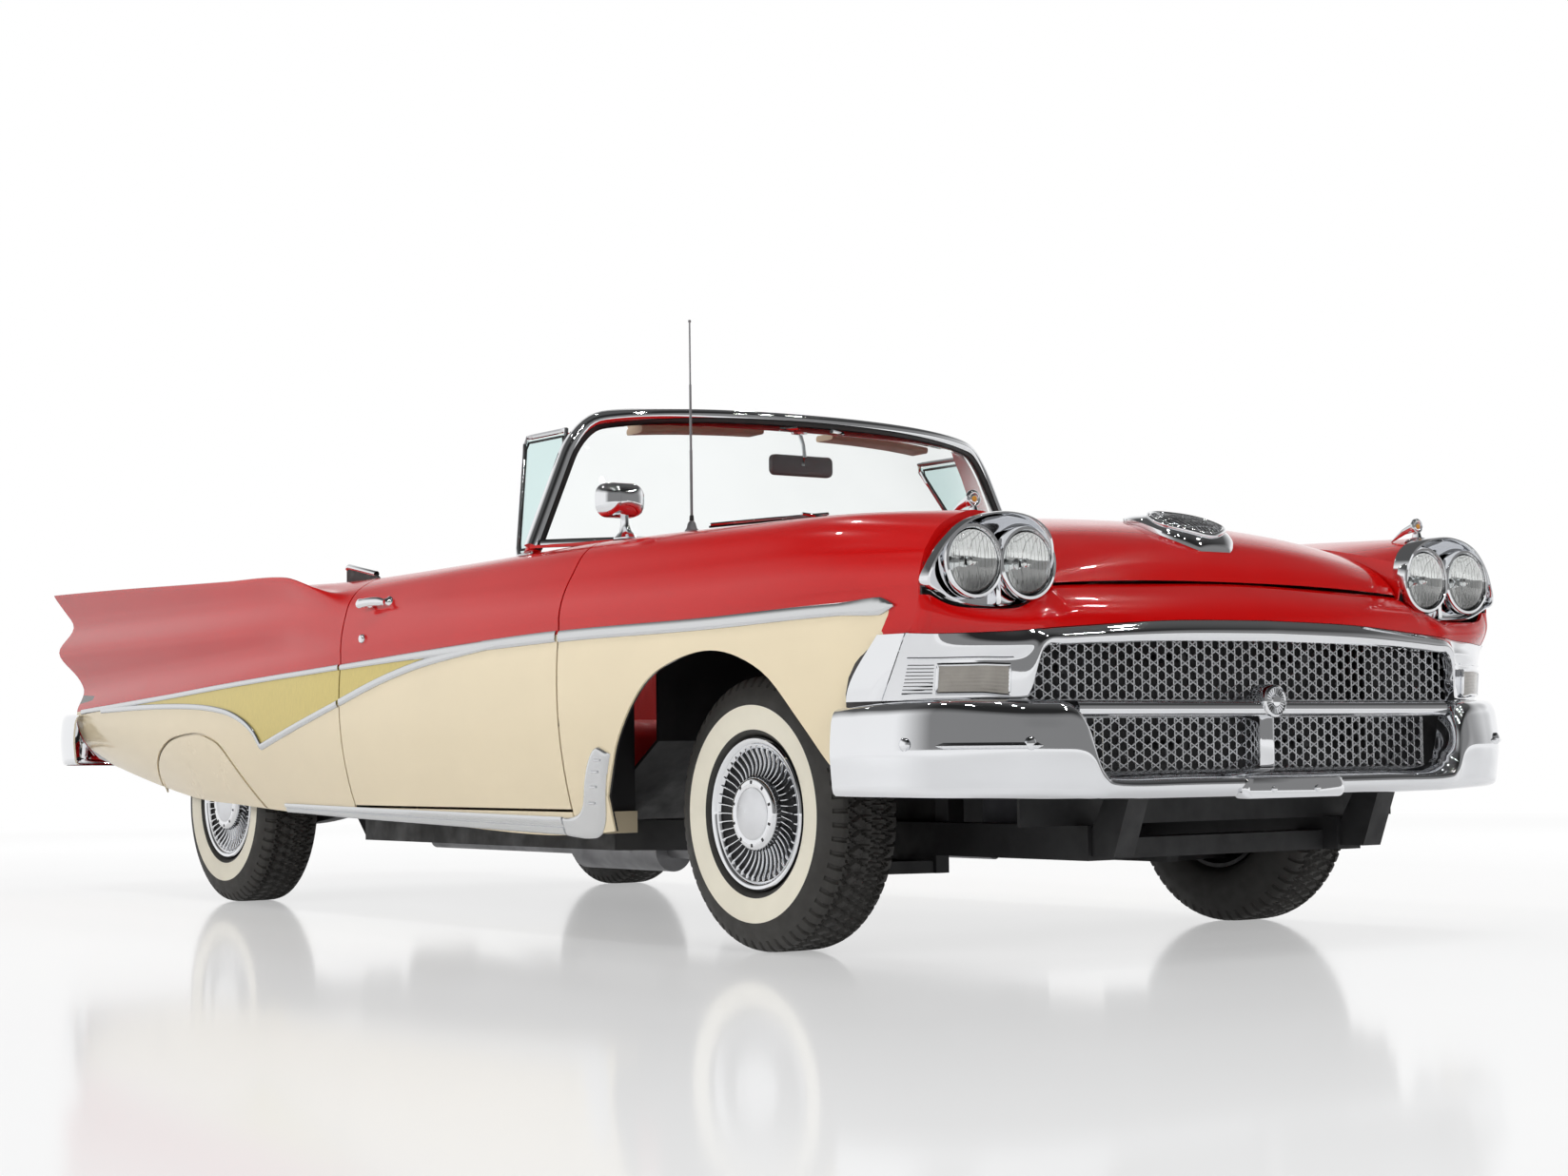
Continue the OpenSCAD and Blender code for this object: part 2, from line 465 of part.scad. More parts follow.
// Rear bumper on the same section, counted back from the rear axle
rear_bumper_shares = [
    [0, 1.0015, 0.600, 0.440], [0.30, 1.000, 0.600, 0.440], [0.55, 0.993, 0.610, 0.442], [0.72, 0.976, 0.622, 0.444],
    [0.84, 0.944, 0.628, 0.445], [0.92, 0.892, 0.628, 0.446], [0.965, 0.808, 0.626, 0.448], [0.978, 0.705, 0.622, 0.450]
];
module rear_bumper() color(chrome) place() translate([-wheelbase, 0, 0]) mirror([1, 0, 0])
    bumper_skin(rear_bumper_shares, rear_overhang);

// Paired headlamps in a chrome bezel
lamp_r = 73;
lamp_gap = 9;
lamp_mid_share = 0.7217;
lamp_z_share = 0.857;
lamp_x = 722;
lamp_clear = 0.3;
lamp_mid_y = lamp_mid_share * half_w;
lamp_z = lamp_z_share * belt_h;
lamp_y = [lamp_mid_y - lamp_r - lamp_gap / 2, lamp_mid_y + lamp_r + lamp_gap / 2];
// Reach of the bezel from the middle of the pair
bezel_in = 130.5;
bezel_out = 198.5;
bezel_down = 97;
bezel_up = 109;
bezel_y = [lamp_mid_y - bezel_in, lamp_mid_y + bezel_out];
bezel_z = [lamp_z - bezel_down, lamp_z + bezel_up];
bezel_back_x = fender_nose_shares[0] * wheelbase + seat;
bezel_l = 50;
bezel_front_x = bezel_back_x + bezel_l;
bezel_tilt = 8;
bezel_cut = 40;
bezel_shares = [[0.0, 0.64], [0.01, 0.42], [0.07, 0.21], [0.18, 0.07], [0.33, 0.01], [0.54, 0.0], [0.74, 0.04], [0.89, 0.14],
    [1.0, 0.24], [0.965, 0.44], [0.88, 0.66], [0.75, 0.85], [0.60, 0.955], [0.40, 1.0], [0.20, 0.955], [0.06, 0.83]];
function bezel_outline() = [for (p = bezel_shares) [mix(bezel_y[0], bezel_y[1], p[0]), mix(bezel_z[0], bezel_z[1], p[1])]];
function closed_curve(p, per) = let (n = len(p)) [for (i = [0:n - 1], k = [0:per - 1])
    let (t = k / per, a = p[(i + n - 1) % n], b = p[i], c = p[(i + 1) % n], d = p[(i + 2) % n])
    hermite(b, c, (c - a) / 2, (d - b) / 2, t)];
module headlamp_bezels() color(chrome) place() both_sides() mirror([0, 1, 0]) difference() {
    along_x(bezel_back_x, bezel_front_x) polygon(closed_curve(bezel_outline(), 2));
    for (y = lamp_y) translate([bezel_back_x - overrun, y, lamp_z]) rotate([0, 90, 0])
        cylinder(r = lamp_r + lamp_clear, h = bezel_front_x - bezel_back_x + 2 * overrun);
    translate([bezel_front_x, bezel_y[0] - overrun, bezel_z[0]]) rotate([0, bezel_tilt, 0])
        translate([-bezel_cut, 0, -bezel_cut]) cube([bezel_cut * 2, bezel_y[1] - bezel_y[0] + 2 * overrun, bezel_cut]);
}
lens_dome = 18;
lens_back = 18;
lens_steps = 5;
function lens_profile(r, back, dome) = concat([[0, -back], [r, -back], [r, 0]],
    [for (i = [1:lens_steps]) let (a = 90 * i / lens_steps) [r * cos(a), dome * sin(a)]]);
park_keys = [4.25, 4.5, 4.75, 5, 5.2];
park_t_shares = [0.42, 0.65, 0.88];
park_proud = 5;
function park_grid(back) = [for (s = park_keys) [for (t = park_t_shares) surround_pt(-s, t, back)]];
module front_lamps() color(amber) place() both_sides() {
    for (y = lamp_y) translate([lamp_x, -y, lamp_z]) rotate([0, 90, 0])
        rotate_extrude() polygon(lens_profile(lamp_r, lens_back, lens_dome));
    skin(park_grid(-park_proud), park_grid(-seat), true);
}

// Wheel, cover and tyre; the local axis is Z and the outside faces +Z
hub_bore_r = 32;
tyre_profile_shares = [
    [0.557, -0.37], [0.60, -0.46], [0.70, -0.50], [0.82, -0.49], [0.91, -0.44], [0.97, -0.385], [0.992, -0.33], [1, -0.2],
    [1, 0.2], [0.992, 0.33], [0.97, 0.385], [0.91, 0.44], [0.82, 0.49], [0.70, 0.50], [0.60, 0.46], [0.557, 0.37]
];
module tyre() color(black) rotate_extrude($fn = 96)
    polygon([for (p = tyre_profile_shares) [p[0] * tyre_r, p[1] * tyre_w]]);
bead_clear = 0.4;
rim_seat_r = rim_r - bead_clear;
// Rim, disc and hub drum: radius share of the bead seat, height share of half the rim
rim_half = 86;
rim_section_shares = [
    [0.73, -0.68], [0.73, -0.14], [0.845, -0.14], [0.845, -0.58], [0.945, -0.72], [0.945, -1], [1, -1], [1, -0.66],
    [0.89, -0.52], [0.89, 0.52], [1, 0.66], [1, 1], [0.945, 1], [0.945, 0.72], [0.845, 0.58], [0.845, 0.06], [0.30, 0.06],
    [0.30, 0.23]
];
// Cover: a hub drum and a bright ring with a plate of narrow fins between them
cover_hub_shares = [[0, 1.20], [0.28, 1.20], [0.335, 1.13], [0.345, 0.97], [0.36, 0.97], [0.36, 0.88], [0.30, 0.88], [0.28, 1.12],
    [0, 1.12]];
cover_ring_shares = [[0.79, 0.97], [0.90, 1.05], [0.99, 1.03], [0.99, 0.90], [0.90, 0.94], [0.79, 0.88]];
cover_plate_shares = [0.35, 0.81];
cover_slot_shares = [0.40, 0.77];
cover_plate_h_shares = [0.89, 0.96];
fin_share = 0.45;
hub_end_share = 0.23;
hub_end = hub_end_share * rim_half;
module turned(shares) rotate_extrude($fn = 96) polygon([for (p = shares) [p[0] * rim_seat_r, p[1] * rim_half]]);
module cover_fins_plate() {
    half = 180 / cover_fins * (1 - fin_share);
    translate([0, 0, cover_plate_h_shares[0] * rim_half])
        linear_extrude(height = (cover_plate_h_shares[1] - cover_plate_h_shares[0]) * rim_half) difference() {
            circle(r = cover_plate_shares[1] * rim_seat_r, $fn = 96);
            circle(r = cover_plate_shares[0] * rim_seat_r, $fn = 96);
            for (i = [0:cover_fins - 1]) rotate(360 * i / cover_fins) polygon([
                for (k = [[0, -1], [1, -1], [1, 1], [0, 1]]) cover_slot_shares[k[0]] * rim_seat_r * [cos(half), k[1] * sin(half)]]);
        }
}
module wheel() color(steel) {
    rotate_extrude($fn = 96) polygon(concat(
        [[hub_bore_r, hub_end], [hub_bore_r, rim_section_shares[0][1] * rim_half]],
        [for (p = rim_section_shares) [p[0] * rim_seat_r, p[1] * rim_half]]));
    turned(cover_hub_shares);
    turned(cover_ring_shares);
    cover_fins_plate();
}
module at_wheel(x, y) place() translate([x, y, tyre_r]) rotate([y < 0 ? 90 : -90, 0, 0]) children();
module wheel_front_right() at_wheel(0, -track_front / 2) wheel();
module wheel_front_left() at_wheel(0, track_front / 2) wheel();
module wheel_rear_right() at_wheel(-wheelbase, -track_rear / 2) wheel();
module wheel_rear_left() at_wheel(-wheelbase, track_rear / 2) wheel();
module tyre_front_right() at_wheel(0, -track_front / 2) tyre();
module tyre_front_left() at_wheel(0, track_front / 2) tyre();
module tyre_rear_right() at_wheel(-wheelbase, -track_rear / 2) tyre();
module tyre_rear_left() at_wheel(-wheelbase, track_rear / 2) tyre();

// Steering knuckle: spindle through the hub, upright on the kingpin line
spindle_end_share = 0.2;
spindle_end = spindle_end_share * rim_half;
spindle_r = hub_bore_r - bore_clear;
kingpin_y = track_front / 2 - kingpin_in;
upright_w = 60;
upright_h = 240;
kingpin_r = 14;
module knuckle_right() color(black) place() {
    translate([0, -kingpin_y, tyre_r]) rotate([90, 0, 0]) cylinder(r = spindle_r, h = kingpin_in + spindle_end);
    translate([0, -kingpin_y, tyre_r - upright_h / 2]) cylinder(r = upright_w / 2, h = upright_h);
    translate([0, -kingpin_y, tyre_r - upright_h / 2 - arm_t]) cylinder(r = kingpin_r, h = upright_h + 2 * arm_t);
}
module knuckle_left() mirror([0, 1, 0]) knuckle_right();
arm_t = 30;
arm_l = 249.5;
arm_pivot_y = kingpin_y - arm_l;
arm_half_l = 110;
arm_boss_r = 34;
module control_arm(z) translate([0, 0, z]) linear_extrude(height = arm_t - seat) difference() {
    union() {
        polygon([[-arm_half_l, -arm_pivot_y], [arm_half_l, -arm_pivot_y],
            [arm_boss_r, -kingpin_y], [-arm_boss_r, -kingpin_y]]);
        translate([0, -kingpin_y]) circle(r = arm_boss_r);
    }
    translate([0, -kingpin_y]) circle(r = kingpin_r + bore_clear);
}
module control_arms() color(black) place() both_sides() {
    control_arm(tyre_r + upright_h / 2 + seat);
    control_arm(tyre_r - upright_h / 2 - arm_t);
}

// Sheet of the floor and housings, and the trunk's floor height
sheet_t = 8;
trunk_floor_h = 530;
house_gap = 29.5;
house_y = track_rear / 2 - tyre_w / 2 - house_gap;
floor_in = 32;
floor_half_w = cabin_half_w - floor_in;

// Chassis frame
rail_w = 80;
rail_z = 215;
rail_h = floor_h - sheet_t - seat - rail_z;
rail_in = 80;
rail_house_gap = 85;
rail_front_y = arm_pivot_y;
rail_mid_y = floor_half_w - rail_in;
rail_rear_y = house_y - rail_house_gap;
rail_front_x = 690;
rail_flare_x = [-420, -760];
rail_tuck_x = [-2150, -2540];
rail_kick_z = trunk_floor_h - floor_h;
rail_end_x = -4120;
module rail() {
    translate([0, 0, rail_z]) linear_extrude(height = rail_h) polygon([
        [rail_front_x, rail_front_y - rail_w / 2], [rail_front_x, rail_front_y + rail_w / 2],
        [rail_flare_x[0], rail_front_y + rail_w / 2], [rail_flare_x[1], rail_mid_y + rail_w / 2],
        [rail_tuck_x[0], rail_mid_y + rail_w / 2], [rail_tuck_x[1], rail_rear_y + rail_w / 2],
        [rail_tuck_x[1], rail_rear_y - rail_w / 2], [rail_tuck_x[0], rail_mid_y - rail_w / 2],
        [rail_flare_x[1], rail_mid_y - rail_w / 2], [rail_flare_x[0], rail_front_y - rail_w / 2]]);
    translate([0, rail_rear_y + rail_w / 2, 0]) rotate([90, 0, 0]) linear_extrude(height = rail_w) polygon([
        [rail_tuck_x[1] + rail_w, rail_z], [rail_tuck_x[1], rail_z], [rail_tuck_x[1] - rail_w * 3, rail_z + rail_kick_z],
        [rail_end_x, rail_z + rail_kick_z], [rail_end_x, rail_z + rail_kick_z + rail_h],
        [rail_tuck_x[1] - rail_w * 3, rail_z + rail_kick_z + rail_h], [rail_tuck_x[1], rail_z + rail_h],
        [rail_tuck_x[1] + rail_w, rail_z + rail_h]]);
}
module frame_rails() color(black) place() both_sides() rail();
cross_w = 90;
cross_h = 45;
cross_x = [-1150, -1750, -3400];
// Columns: station x, half length between the rails, height of the underside
crossmembers = [
    [0, rail_front_y - rail_w / 2, rail_z], [rail_front_x - cross_w, rail_front_y - rail_w / 2, rail_z],
    [cross_x[0], rail_mid_y - rail_w / 2, rail_z], [cross_x[1], rail_mid_y - rail_w / 2, rail_z],
    [cross_x[2], rail_rear_y - rail_w / 2, rail_z + rail_kick_z],
    [rail_end_x + cross_w, rail_rear_y - rail_w / 2, rail_z + rail_kick_z]
];
module box(x, y, z) translate([x[0], y[0], z[0]]) cube([x[1] - x[0], y[1] - y[0], z[1] - z[0]]);
engine_side_gap = 140;
engine_w = 2 * (rail_front_y - engine_side_gap);
engine_foot_in = [80, 20];
engine_foot_y = [engine_w / 2 - engine_foot_in[0], engine_w / 2 - engine_foot_in[1]];
engine_foot_x = [-35, 35];
tower_x = [-120, 120];
tower_y = [-arm_pivot_y + seat, -rail_front_y + rail_w / 2];
hanger_l = 40;
spring_out = 75;
spring_y = rail_rear_y + spring_out;
spring_w = 57;
hanger_in = 3.5;
hanger_side = 19;
hanger_y = [-spring_y - spring_w / 2 + hanger_in, -spring_y + hanger_side];
bracket_w = 60;
bracket_in = [70, 110];
bracket_h = [10, 24];
front_bracket_in = 31.9;
front_bracket_z_shares = [0.376, 0.396];
rear_bracket_in = 61;
rear_bracket_z_shares = [0.462, 0.51];
front_bracket_x = front_overhang - front_bracket_in;
front_bracket_z = front_bracket_z_shares * belt_h;
rear_bracket_x = rear_bracket_in - wheelbase - rear_overhang;
rear_bracket_z = rear_bracket_z_shares * belt_h;
module frame_crossmembers() color(black) place() {
    for (c = crossmembers) translate([c[0] - cross_w / 2, -c[1], c[2]]) cube([cross_w, 2 * c[1], cross_h]);
    both_sides() {
        // Engine feet on the front member, arm towers on the rails
        box(engine_foot_x, -[engine_foot_y[1], engine_foot_y[0]], [rail_z + cross_h / 2, engine_z - seat]);
        box(tower_x, tower_y, [rail_z + rail_h + seat, tyre_r + upright_h / 2 + arm_t]);
        box(tower_x, tower_y, [tyre_r - upright_h / 2 - arm_t, rail_z - seat]);
        // Spring hangers
        box([spring_half_l - hanger_l - wheelbase, spring_half_l - wheelbase], hanger_y,
            [rail_z + rail_h + seat, spring_under_z - seat]);
        box([-wheelbase - spring_half_l, hanger_l - wheelbase - spring_half_l], [hanger_y[0], -rail_rear_y - rail_w / 2 - seat],
            [spring_end_z + seat, rail_z + rail_kick_z + rail_h / 2]);
        // Bumper brackets
        translate([0, -rail_front_y + bracket_w / 2, 0]) rotate([90, 0, 0]) linear_extrude(height = bracket_w) polygon([
            [rail_front_x + seat, rail_z + bracket_h[0]], [rail_front_x + bracket_in[0], rail_z + bracket_h[0]],
            [front_bracket_x - bracket_in[0] / 2, front_bracket_z[0]],
            [front_bracket_x, front_bracket_z[0]], [front_bracket_x, front_bracket_z[1]],
            [rail_front_x + bracket_in[0], front_bracket_z[1]], [rail_front_x + seat, rail_z + rail_h - bracket_h[0]]]);
        box([rear_bracket_x, rail_end_x - seat], [-rail_rear_y - bracket_w / 2, bracket_w / 2 - rail_rear_y], rear_bracket_z);
    }
}

// Floor: side profile of the sheet from the firewall to the tail
firewall_x = -500;
toe_x = -800;
heel_x = -2110;
seat_pan_h = 420;
kick_x = -2620;
tail_plate_x = -4010;
trunk_end_x = tail_plate_x + seat;
firewall_drop = 50;
firewall_crown = 10.3;
firewall_top = belt_h - firewall_drop;
firewall_mid_top = belt_h + firewall_crown;
firewall_mid_half = 300;
rear_pan_half = house_y - seat;
tunnel_half = 150;
tunnel_h = 364;
tunnel_front_h = 480;
tunnel_toe_h = 430;
tunnel_slope_l = 450;
function thick_line(line, lean, t) = concat(line, [for (i = [len(line) - 1:-1:0]) line[i] - t * lean[i]]);
front_floor_line = [[firewall_x, firewall_top], [firewall_x, seat_pan_h + rail_h], [toe_x, floor_h], [heel_x, floor_h]];
front_lean_shares = [[-1, 0], [-1, 0.5], [-0.5, 1], [0, 1]];
rear_floor_line = [[heel_x, floor_h - sheet_t], [heel_x, seat_pan_h], [kick_x, seat_pan_h], [kick_x, trunk_floor_h],
    [trunk_end_x, trunk_floor_h]];
rear_lean_shares = [[1, 0], [1, 1], [1, 1], [1, 1], [0, 1]];
tunnel_line = [[firewall_x, tunnel_front_h], [toe_x, tunnel_toe_h], [toe_x - tunnel_slope_l, tunnel_h],
    [heel_x - sheet_t, tunnel_h]];
module across(half) translate([0, half, 0]) rotate([90, 0, 0]) linear_extrude(height = 2 * half) children();
module tunnel(half, t, low, past) across(half) polygon(concat(
    [[heel_x - sheet_t - past, low], [firewall_x + sheet_t + past, low], [firewall_x + sheet_t + past, tunnel_front_h - t]],
    [for (p = tunnel_line) p - [0, t]], [[heel_x - sheet_t - past, tunnel_h - t]]));
module floor_pan() color(black) place() difference() {
    union() {
        across(floor_half_w) polygon(thick_line(front_floor_line, front_lean_shares, sheet_t));
        across(rear_pan_half) polygon(thick_line(rear_floor_line, rear_lean_shares, sheet_t));
        tunnel(tunnel_half, 0, floor_h - sheet_t, 0);
        box([firewall_x, firewall_x + sheet_t], [-firewall_mid_half, firewall_mid_half],
            [firewall_top - overrun, firewall_mid_top]);
    }
    tunnel(tunnel_half - sheet_t, sheet_t, floor_h - rail_h, overrun);
}

// Windshield: its foot and its top edge in plan
glass_base_x = -540;
glass_base_side_x = -975;
glass_base_in = 155;
glass_top_x = -893;
glass_top_side_x = -990;
glass_tumble = 145;
glass_t = 8;
glass_foot_h = 12;
glass_drop = 45;
glass_bow_power = 2.6;
glass_sweep = 78;
glass_wrap_share = 0.75;
glass_base_half = half_w - glass_base_in;
glass_top_half = glass_base_half - glass_tumble;
glass_low = belt_h + glass_foot_h;
frame_face = 24;
frame_d = 34;
frame_gap = 2.5;
function glass_high(a) = header_h - frame_face - glass_drop * a * a;
// A point on the glass: a across, t up from the foot, back behind the face
function glass_pt(a, t, back) = let (
    half = mix(glass_base_half, glass_top_half, t), y = half * sin(glass_sweep * a) / sin(glass_sweep), k = pow(abs(a), 4),
    x0 = mix(glass_base_x, glass_top_x, t), x1 = mix(glass_base_side_x, glass_top_side_x, t))
    [mix(x0, x1, pow(abs(y) / half, glass_bow_power)) - back * (1 - glass_wrap_share * k), y - sign(a) * back * k,
     mix(glass_low, glass_high(a), t)];
glass_a = [for (i = [-10:10]) i / 10];
glass_z = [0, 0.25, 0.5, 0.75, 1];
module windshield_glass() color(glass) place() skin(
    [for (a = glass_a) [for (t = glass_z) glass_pt(a, t, 0)]],
    [for (a = glass_a) [for (t = glass_z) glass_pt(a, t, glass_t)]], true);
// Chrome frame: a header and two pillars round the glass
header_front_share = 0.3;
pillar_front_share = 0.35;
pillar_d_share = 1.3;
pillar_face_share = 0.8;
pillar_z = [0, 0.25, 0.5, 0.75, 1.07];
function header_grid(back) = [for (a = glass_a) [for (h = [0, 1]) glass_pt(a, 1, back) + [0, 0, frame_gap + h * frame_face]]];
function pillar_grid(out) = [for (t = pillar_z) [for (k = [0, 1])
    glass_pt(-1, t, 0) + [frame_d * (pillar_front_share - pillar_d_share * k), -out, 0]]];
module windshield_frame() color(chrome) place() {
    skin(header_grid(-frame_d * header_front_share), header_grid(frame_d), true);
    both_sides() skin(pillar_grid(frame_face * pillar_face_share), pillar_grid(frame_gap), true);
}
// Cowl top from the hood to behind the glass's foot; outer edge by share of its depth
cowl_t = 8;
cowl_v = [for (i = [-10:10]) i / 10];
cowl_rows = [0, 0.15, 0.3, 0.42, 0.55, 0.8, 1];
cowl_edge_shares = [[0, 1.0], [0.3, 1.015], [0.42, 1.08], [0.55, 1.12], [0.8, 1.165], [1, 1.24]];
cowl_tuck = 20;
cowl_level_share = 0.5;
function cowl_pt(v, t, down) = let (
    h = hood_pt(len(hood_centre_shares) - 1, v), g = glass_pt(v, 0, cowl_tuck), e = row_at(cowl_edge_shares, t)[1] * hood_half_w)
    [mix(h[0] - panel_gap, g[0], t), e * mix(v, g[1] / glass_pt(1, 0, cowl_tuck)[1], t),
     mix(h[2], glass_low - seat, ease(t / cowl_level_share)) - down];
function cowl_grid(down) = [for (t = cowl_rows) [for (v = cowl_v) cowl_pt(v, t, down)]];
module cowl() color(red) place() skin(cowl_grid(0), cowl_grid(cowl_t));

// Rocker panels under the doors, tucked behind fender and quarter
rocker_top = door_bottom - panel_gap;
rocker_past = [50, 270];
rocker_step_share = 0.75;
rocker_x = [door_front_x + rocker_past[0], door_front_x + rocker_step_share * panel_gap, door_front_x, door_front_x - door_len / 2,
    door_rear_x, door_rear_x - rocker_step_share * panel_gap, door_rear_x - rocker_past[1]];
rocker_inset = [1, 1, 0, 0, 0, 1, 1];
rocker_fit = 2;
rocker_rows = [0, 0.35, 0.7, 1];
function rocker_grid(inside) = [for (i = [0:len(rocker_x) - 1]) let (x = rocker_x[i], r = row_at(side_lines, x))
    [for (t = rocker_rows) let (z = mix(r[2], rocker_top, t))
        [x, inside ? -floor_half_w - seat : -lower_y(r, z) + rocker_inset[i] * (wall + rocker_fit), z]]];
module rocker_panels() color(cream) place() both_sides() skin(rocker_grid(false), rocker_grid(true));

// Posts that carry the door hinges and locks, fitted inside the outer skins
post_t = 20;
post_fit = 3;
hinge_post_ahead = 40;
hinge_post_x = door_front_x + hinge_post_ahead;
lock_post_x = door_rear_x - 2 * panel_gap;
post_top_key = 5.5;
post_keys = key_steps(sill_key, post_top_key, 2);
module post(x) {
    g = side_grid([[x, rocker_top + seat], [x - post_t, rocker_top + seat]], post_keys, true);
    skin(from_skin(g, post_fit), [for (r = g) [for (p = r) [p[0], -floor_half_w - seat, p[2]]]]);
}
module body_posts() color(red) place() both_sides() {
    post(hinge_post_x);
    post(lock_post_x);
    at_hinges() hinge_arm(hinge_post_x - post_t / 2);
}

// Splash aprons from the engine bay's sides up to the fenders' inner flanges
apron_out = 60;
apron_low_share = 0.48;
apron_fit_share = 1.3;
apron_y = rail_front_y + apron_out;
apron_low = apron_low_share * belt_h;
support_x = 640;
apron_x = [firewall_x + sheet_t + seat, support_x - seat];
apron_rise = [150, 62];
apron_steps = 6;
apron_edge = 12;
function apron_pt(x, j, t) = let (r = row_at(side_lines, x))
    j == 0 ? [x, t - apron_y, apron_low]
    : j == 1 ? [x, t - apron_y, r[15] - apron_rise[0]]
    : j == 2 ? [x, t - r[14] - apron_edge, r[15] - apron_rise[1]]
    : [x, t - r[14] - apron_edge - sheet_t, r[15] - wall * apron_fit_share - seat];
function apron_grid(t) = [for (x = apron_rows) [for (j = [0:3]) apron_pt(x, j, t)]];
apron_rows = [for (i = [0:apron_steps]) mix(apron_x[0], apron_x[1], i / apron_steps)];
module inner_aprons() color(black) place() both_sides() skin(apron_grid(0), apron_grid(sheet_t), true);
// Radiator and its support, with the posts that hold the grille
// Posts: half width share, belt share
support_over = 200;
support_top_share = 0.73;
radiator_in = 70;
radiator_low = 330;
radiator_top_share = 0.8;
radiator_t = 60;
grille_post_r = 10;
grille_post_shares = [[0.5657, 0.632], [0.4545, 0.468], [0.202, 0.66], [0.202, 0.468]];
bar_post_shares = [[0.303, 0.712]];
support_half = rail_front_y + support_over;
radiator_half = rail_front_y - radiator_in;
module post_to(p, x) translate([support_x, -p[0] * half_w, p[1] * belt_h]) rotate([0, 90, 0])
    cylinder(r = grille_post_r, h = x - support_x - seat);
module radiator_support() color(black) place() {
    box([support_x, support_x + sheet_t], [-support_half, support_half], [rail_z + rail_h + seat, support_top_share * belt_h]);
    box([support_x - radiator_t, support_x + overrun], [-radiator_half, radiator_half], [radiator_low, radiator_top_share * belt_h]);
    both_sides() {
        for (p = grille_post_shares) post_to(p, mesh_x);
        for (p = bar_post_shares) post_to(p, panel_reach * row_at(surround_shares, p[0])[1] - surround_depth);
    }
}
// Rear wheelhouses
house_r = 390;
house_w = 275;
house_lift = 60;
module rear_wheelhouses() color(black) place() both_sides()
    translate([-wheelbase, -house_y, tyre_r]) rotate([90, 0, 0]) difference() {
    cylinder(r = house_r, h = house_w);
    translate([0, 0, sheet_t]) cylinder(r = house_r - sheet_t, h = house_w);
    translate([-house_r * 2, -house_r * 2, -overrun]) cube([house_r * 4, house_r * 2 + house_lift, house_w + 2 * overrun]);
}

// Engine as one block with its sump
engine_l = 640;
engine_h = 430;
engine_z = 400;
engine_front_x = 320;
sump_w = 300;
sump_h = 170;
sump_l = 260;
module engine() color(steel) place() {
    translate([engine_front_x - engine_l, -engine_w / 2, engine_z]) cube([engine_l, engine_w, engine_h]);
    translate([engine_front_x - engine_l, -sump_w / 2, engine_z - sump_h]) cube([sump_l, sump_w, sump_h]);
}
// Gearbox and propeller shaft
gearbox_l = 460;
gearbox_r = 110;
gearbox_tail_r = 56;
shaft_r = 35;
driveline_z = 310;
axle_front_r = 125;
shaft_end_x = -wheelbase + axle_front_r + seat;
module driveline() color(steel) place() {
    translate([engine_front_x - engine_l - seat, 0, driveline_z]) rotate([0, -90, 0])
        cylinder(r1 = gearbox_r, r2 = gearbox_tail_r, h = gearbox_l);
    translate([shaft_end_x, 0, driveline_z]) rotate([0, 90, 0])
        cylinder(r = shaft_r, h = engine_front_x - engine_l - gearbox_l - shaft_end_x);
}
axle_tube_r = 42;
axle_end_r = hub_bore_r - bore_clear;
axle_flange_in = 110;
axle_case_w = 175;
module rear_axle() color(black) place() translate([-wheelbase, 0, tyre_r]) {
    across(axle_case_w / 2) circle(r = axle_front_r);
    across(track_rear / 2 - axle_flange_in) circle(r = axle_tube_r);
    across(track_rear / 2 + spindle_end) circle(r = axle_end_r);
}
spring_t = 34;
spring_half_l = 640;
spring_arc_h = 90;
spring_r = (spring_half_l * spring_half_l + spring_arc_h * spring_arc_h) / (2 * spring_arc_h);
spring_centre_z = tyre_r - axle_tube_r - seat + spring_r;
spring_under_z = spring_centre_z - sqrt(pow(spring_r + spring_t, 2) - pow(spring_half_l - hanger_l, 2));
spring_end_z = spring_centre_z - sqrt(pow(spring_r, 2) - pow(spring_half_l, 2));
module leaf_springs() color(black) place() both_sides()
    translate([-wheelbase, -spring_y + spring_w / 2, spring_centre_z]) rotate([90, 0, 0])
        rotate([0, 0, 270 - asin(spring_half_l / spring_r)])
            rotate_extrude(angle = 2 * asin(spring_half_l / spring_r), $fn = 192) translate([spring_r, 0]) square([spring_t, spring_w]);

// Exhaust and fuel tank under the floor
pipe_r = 24;
muffler_r = 62;
muffler_l = 450;
muffler_x = -1670;
exhaust_y = 250;
exhaust_z = rail_z - pipe_r - seat;
exhaust_x = [-420, -2600];
module exhaust() color(steel) place() both_sides() {
    translate([exhaust_x[1], -exhaust_y, exhaust_z]) rotate([0, 90, 0])
        cylinder(r = pipe_r, h = exhaust_x[0] - exhaust_x[1]);
    translate([muffler_x, -exhaust_y, exhaust_z]) rotate([0, 90, 0]) cylinder(r = muffler_r, h = muffler_l);
}
tank_l = 480;
tank_in = 60;
tank_w = 2 * (rail_rear_y - rail_w / 2 - tank_in);
tank_h = 150;
tank_x = -3960;
tank_z = trunk_floor_h - sheet_t - seat - tank_h;
module fuel_tank() color(steel) place() translate([tank_x, -tank_w / 2, tank_z]) cube([tank_l, tank_w, tank_h]);

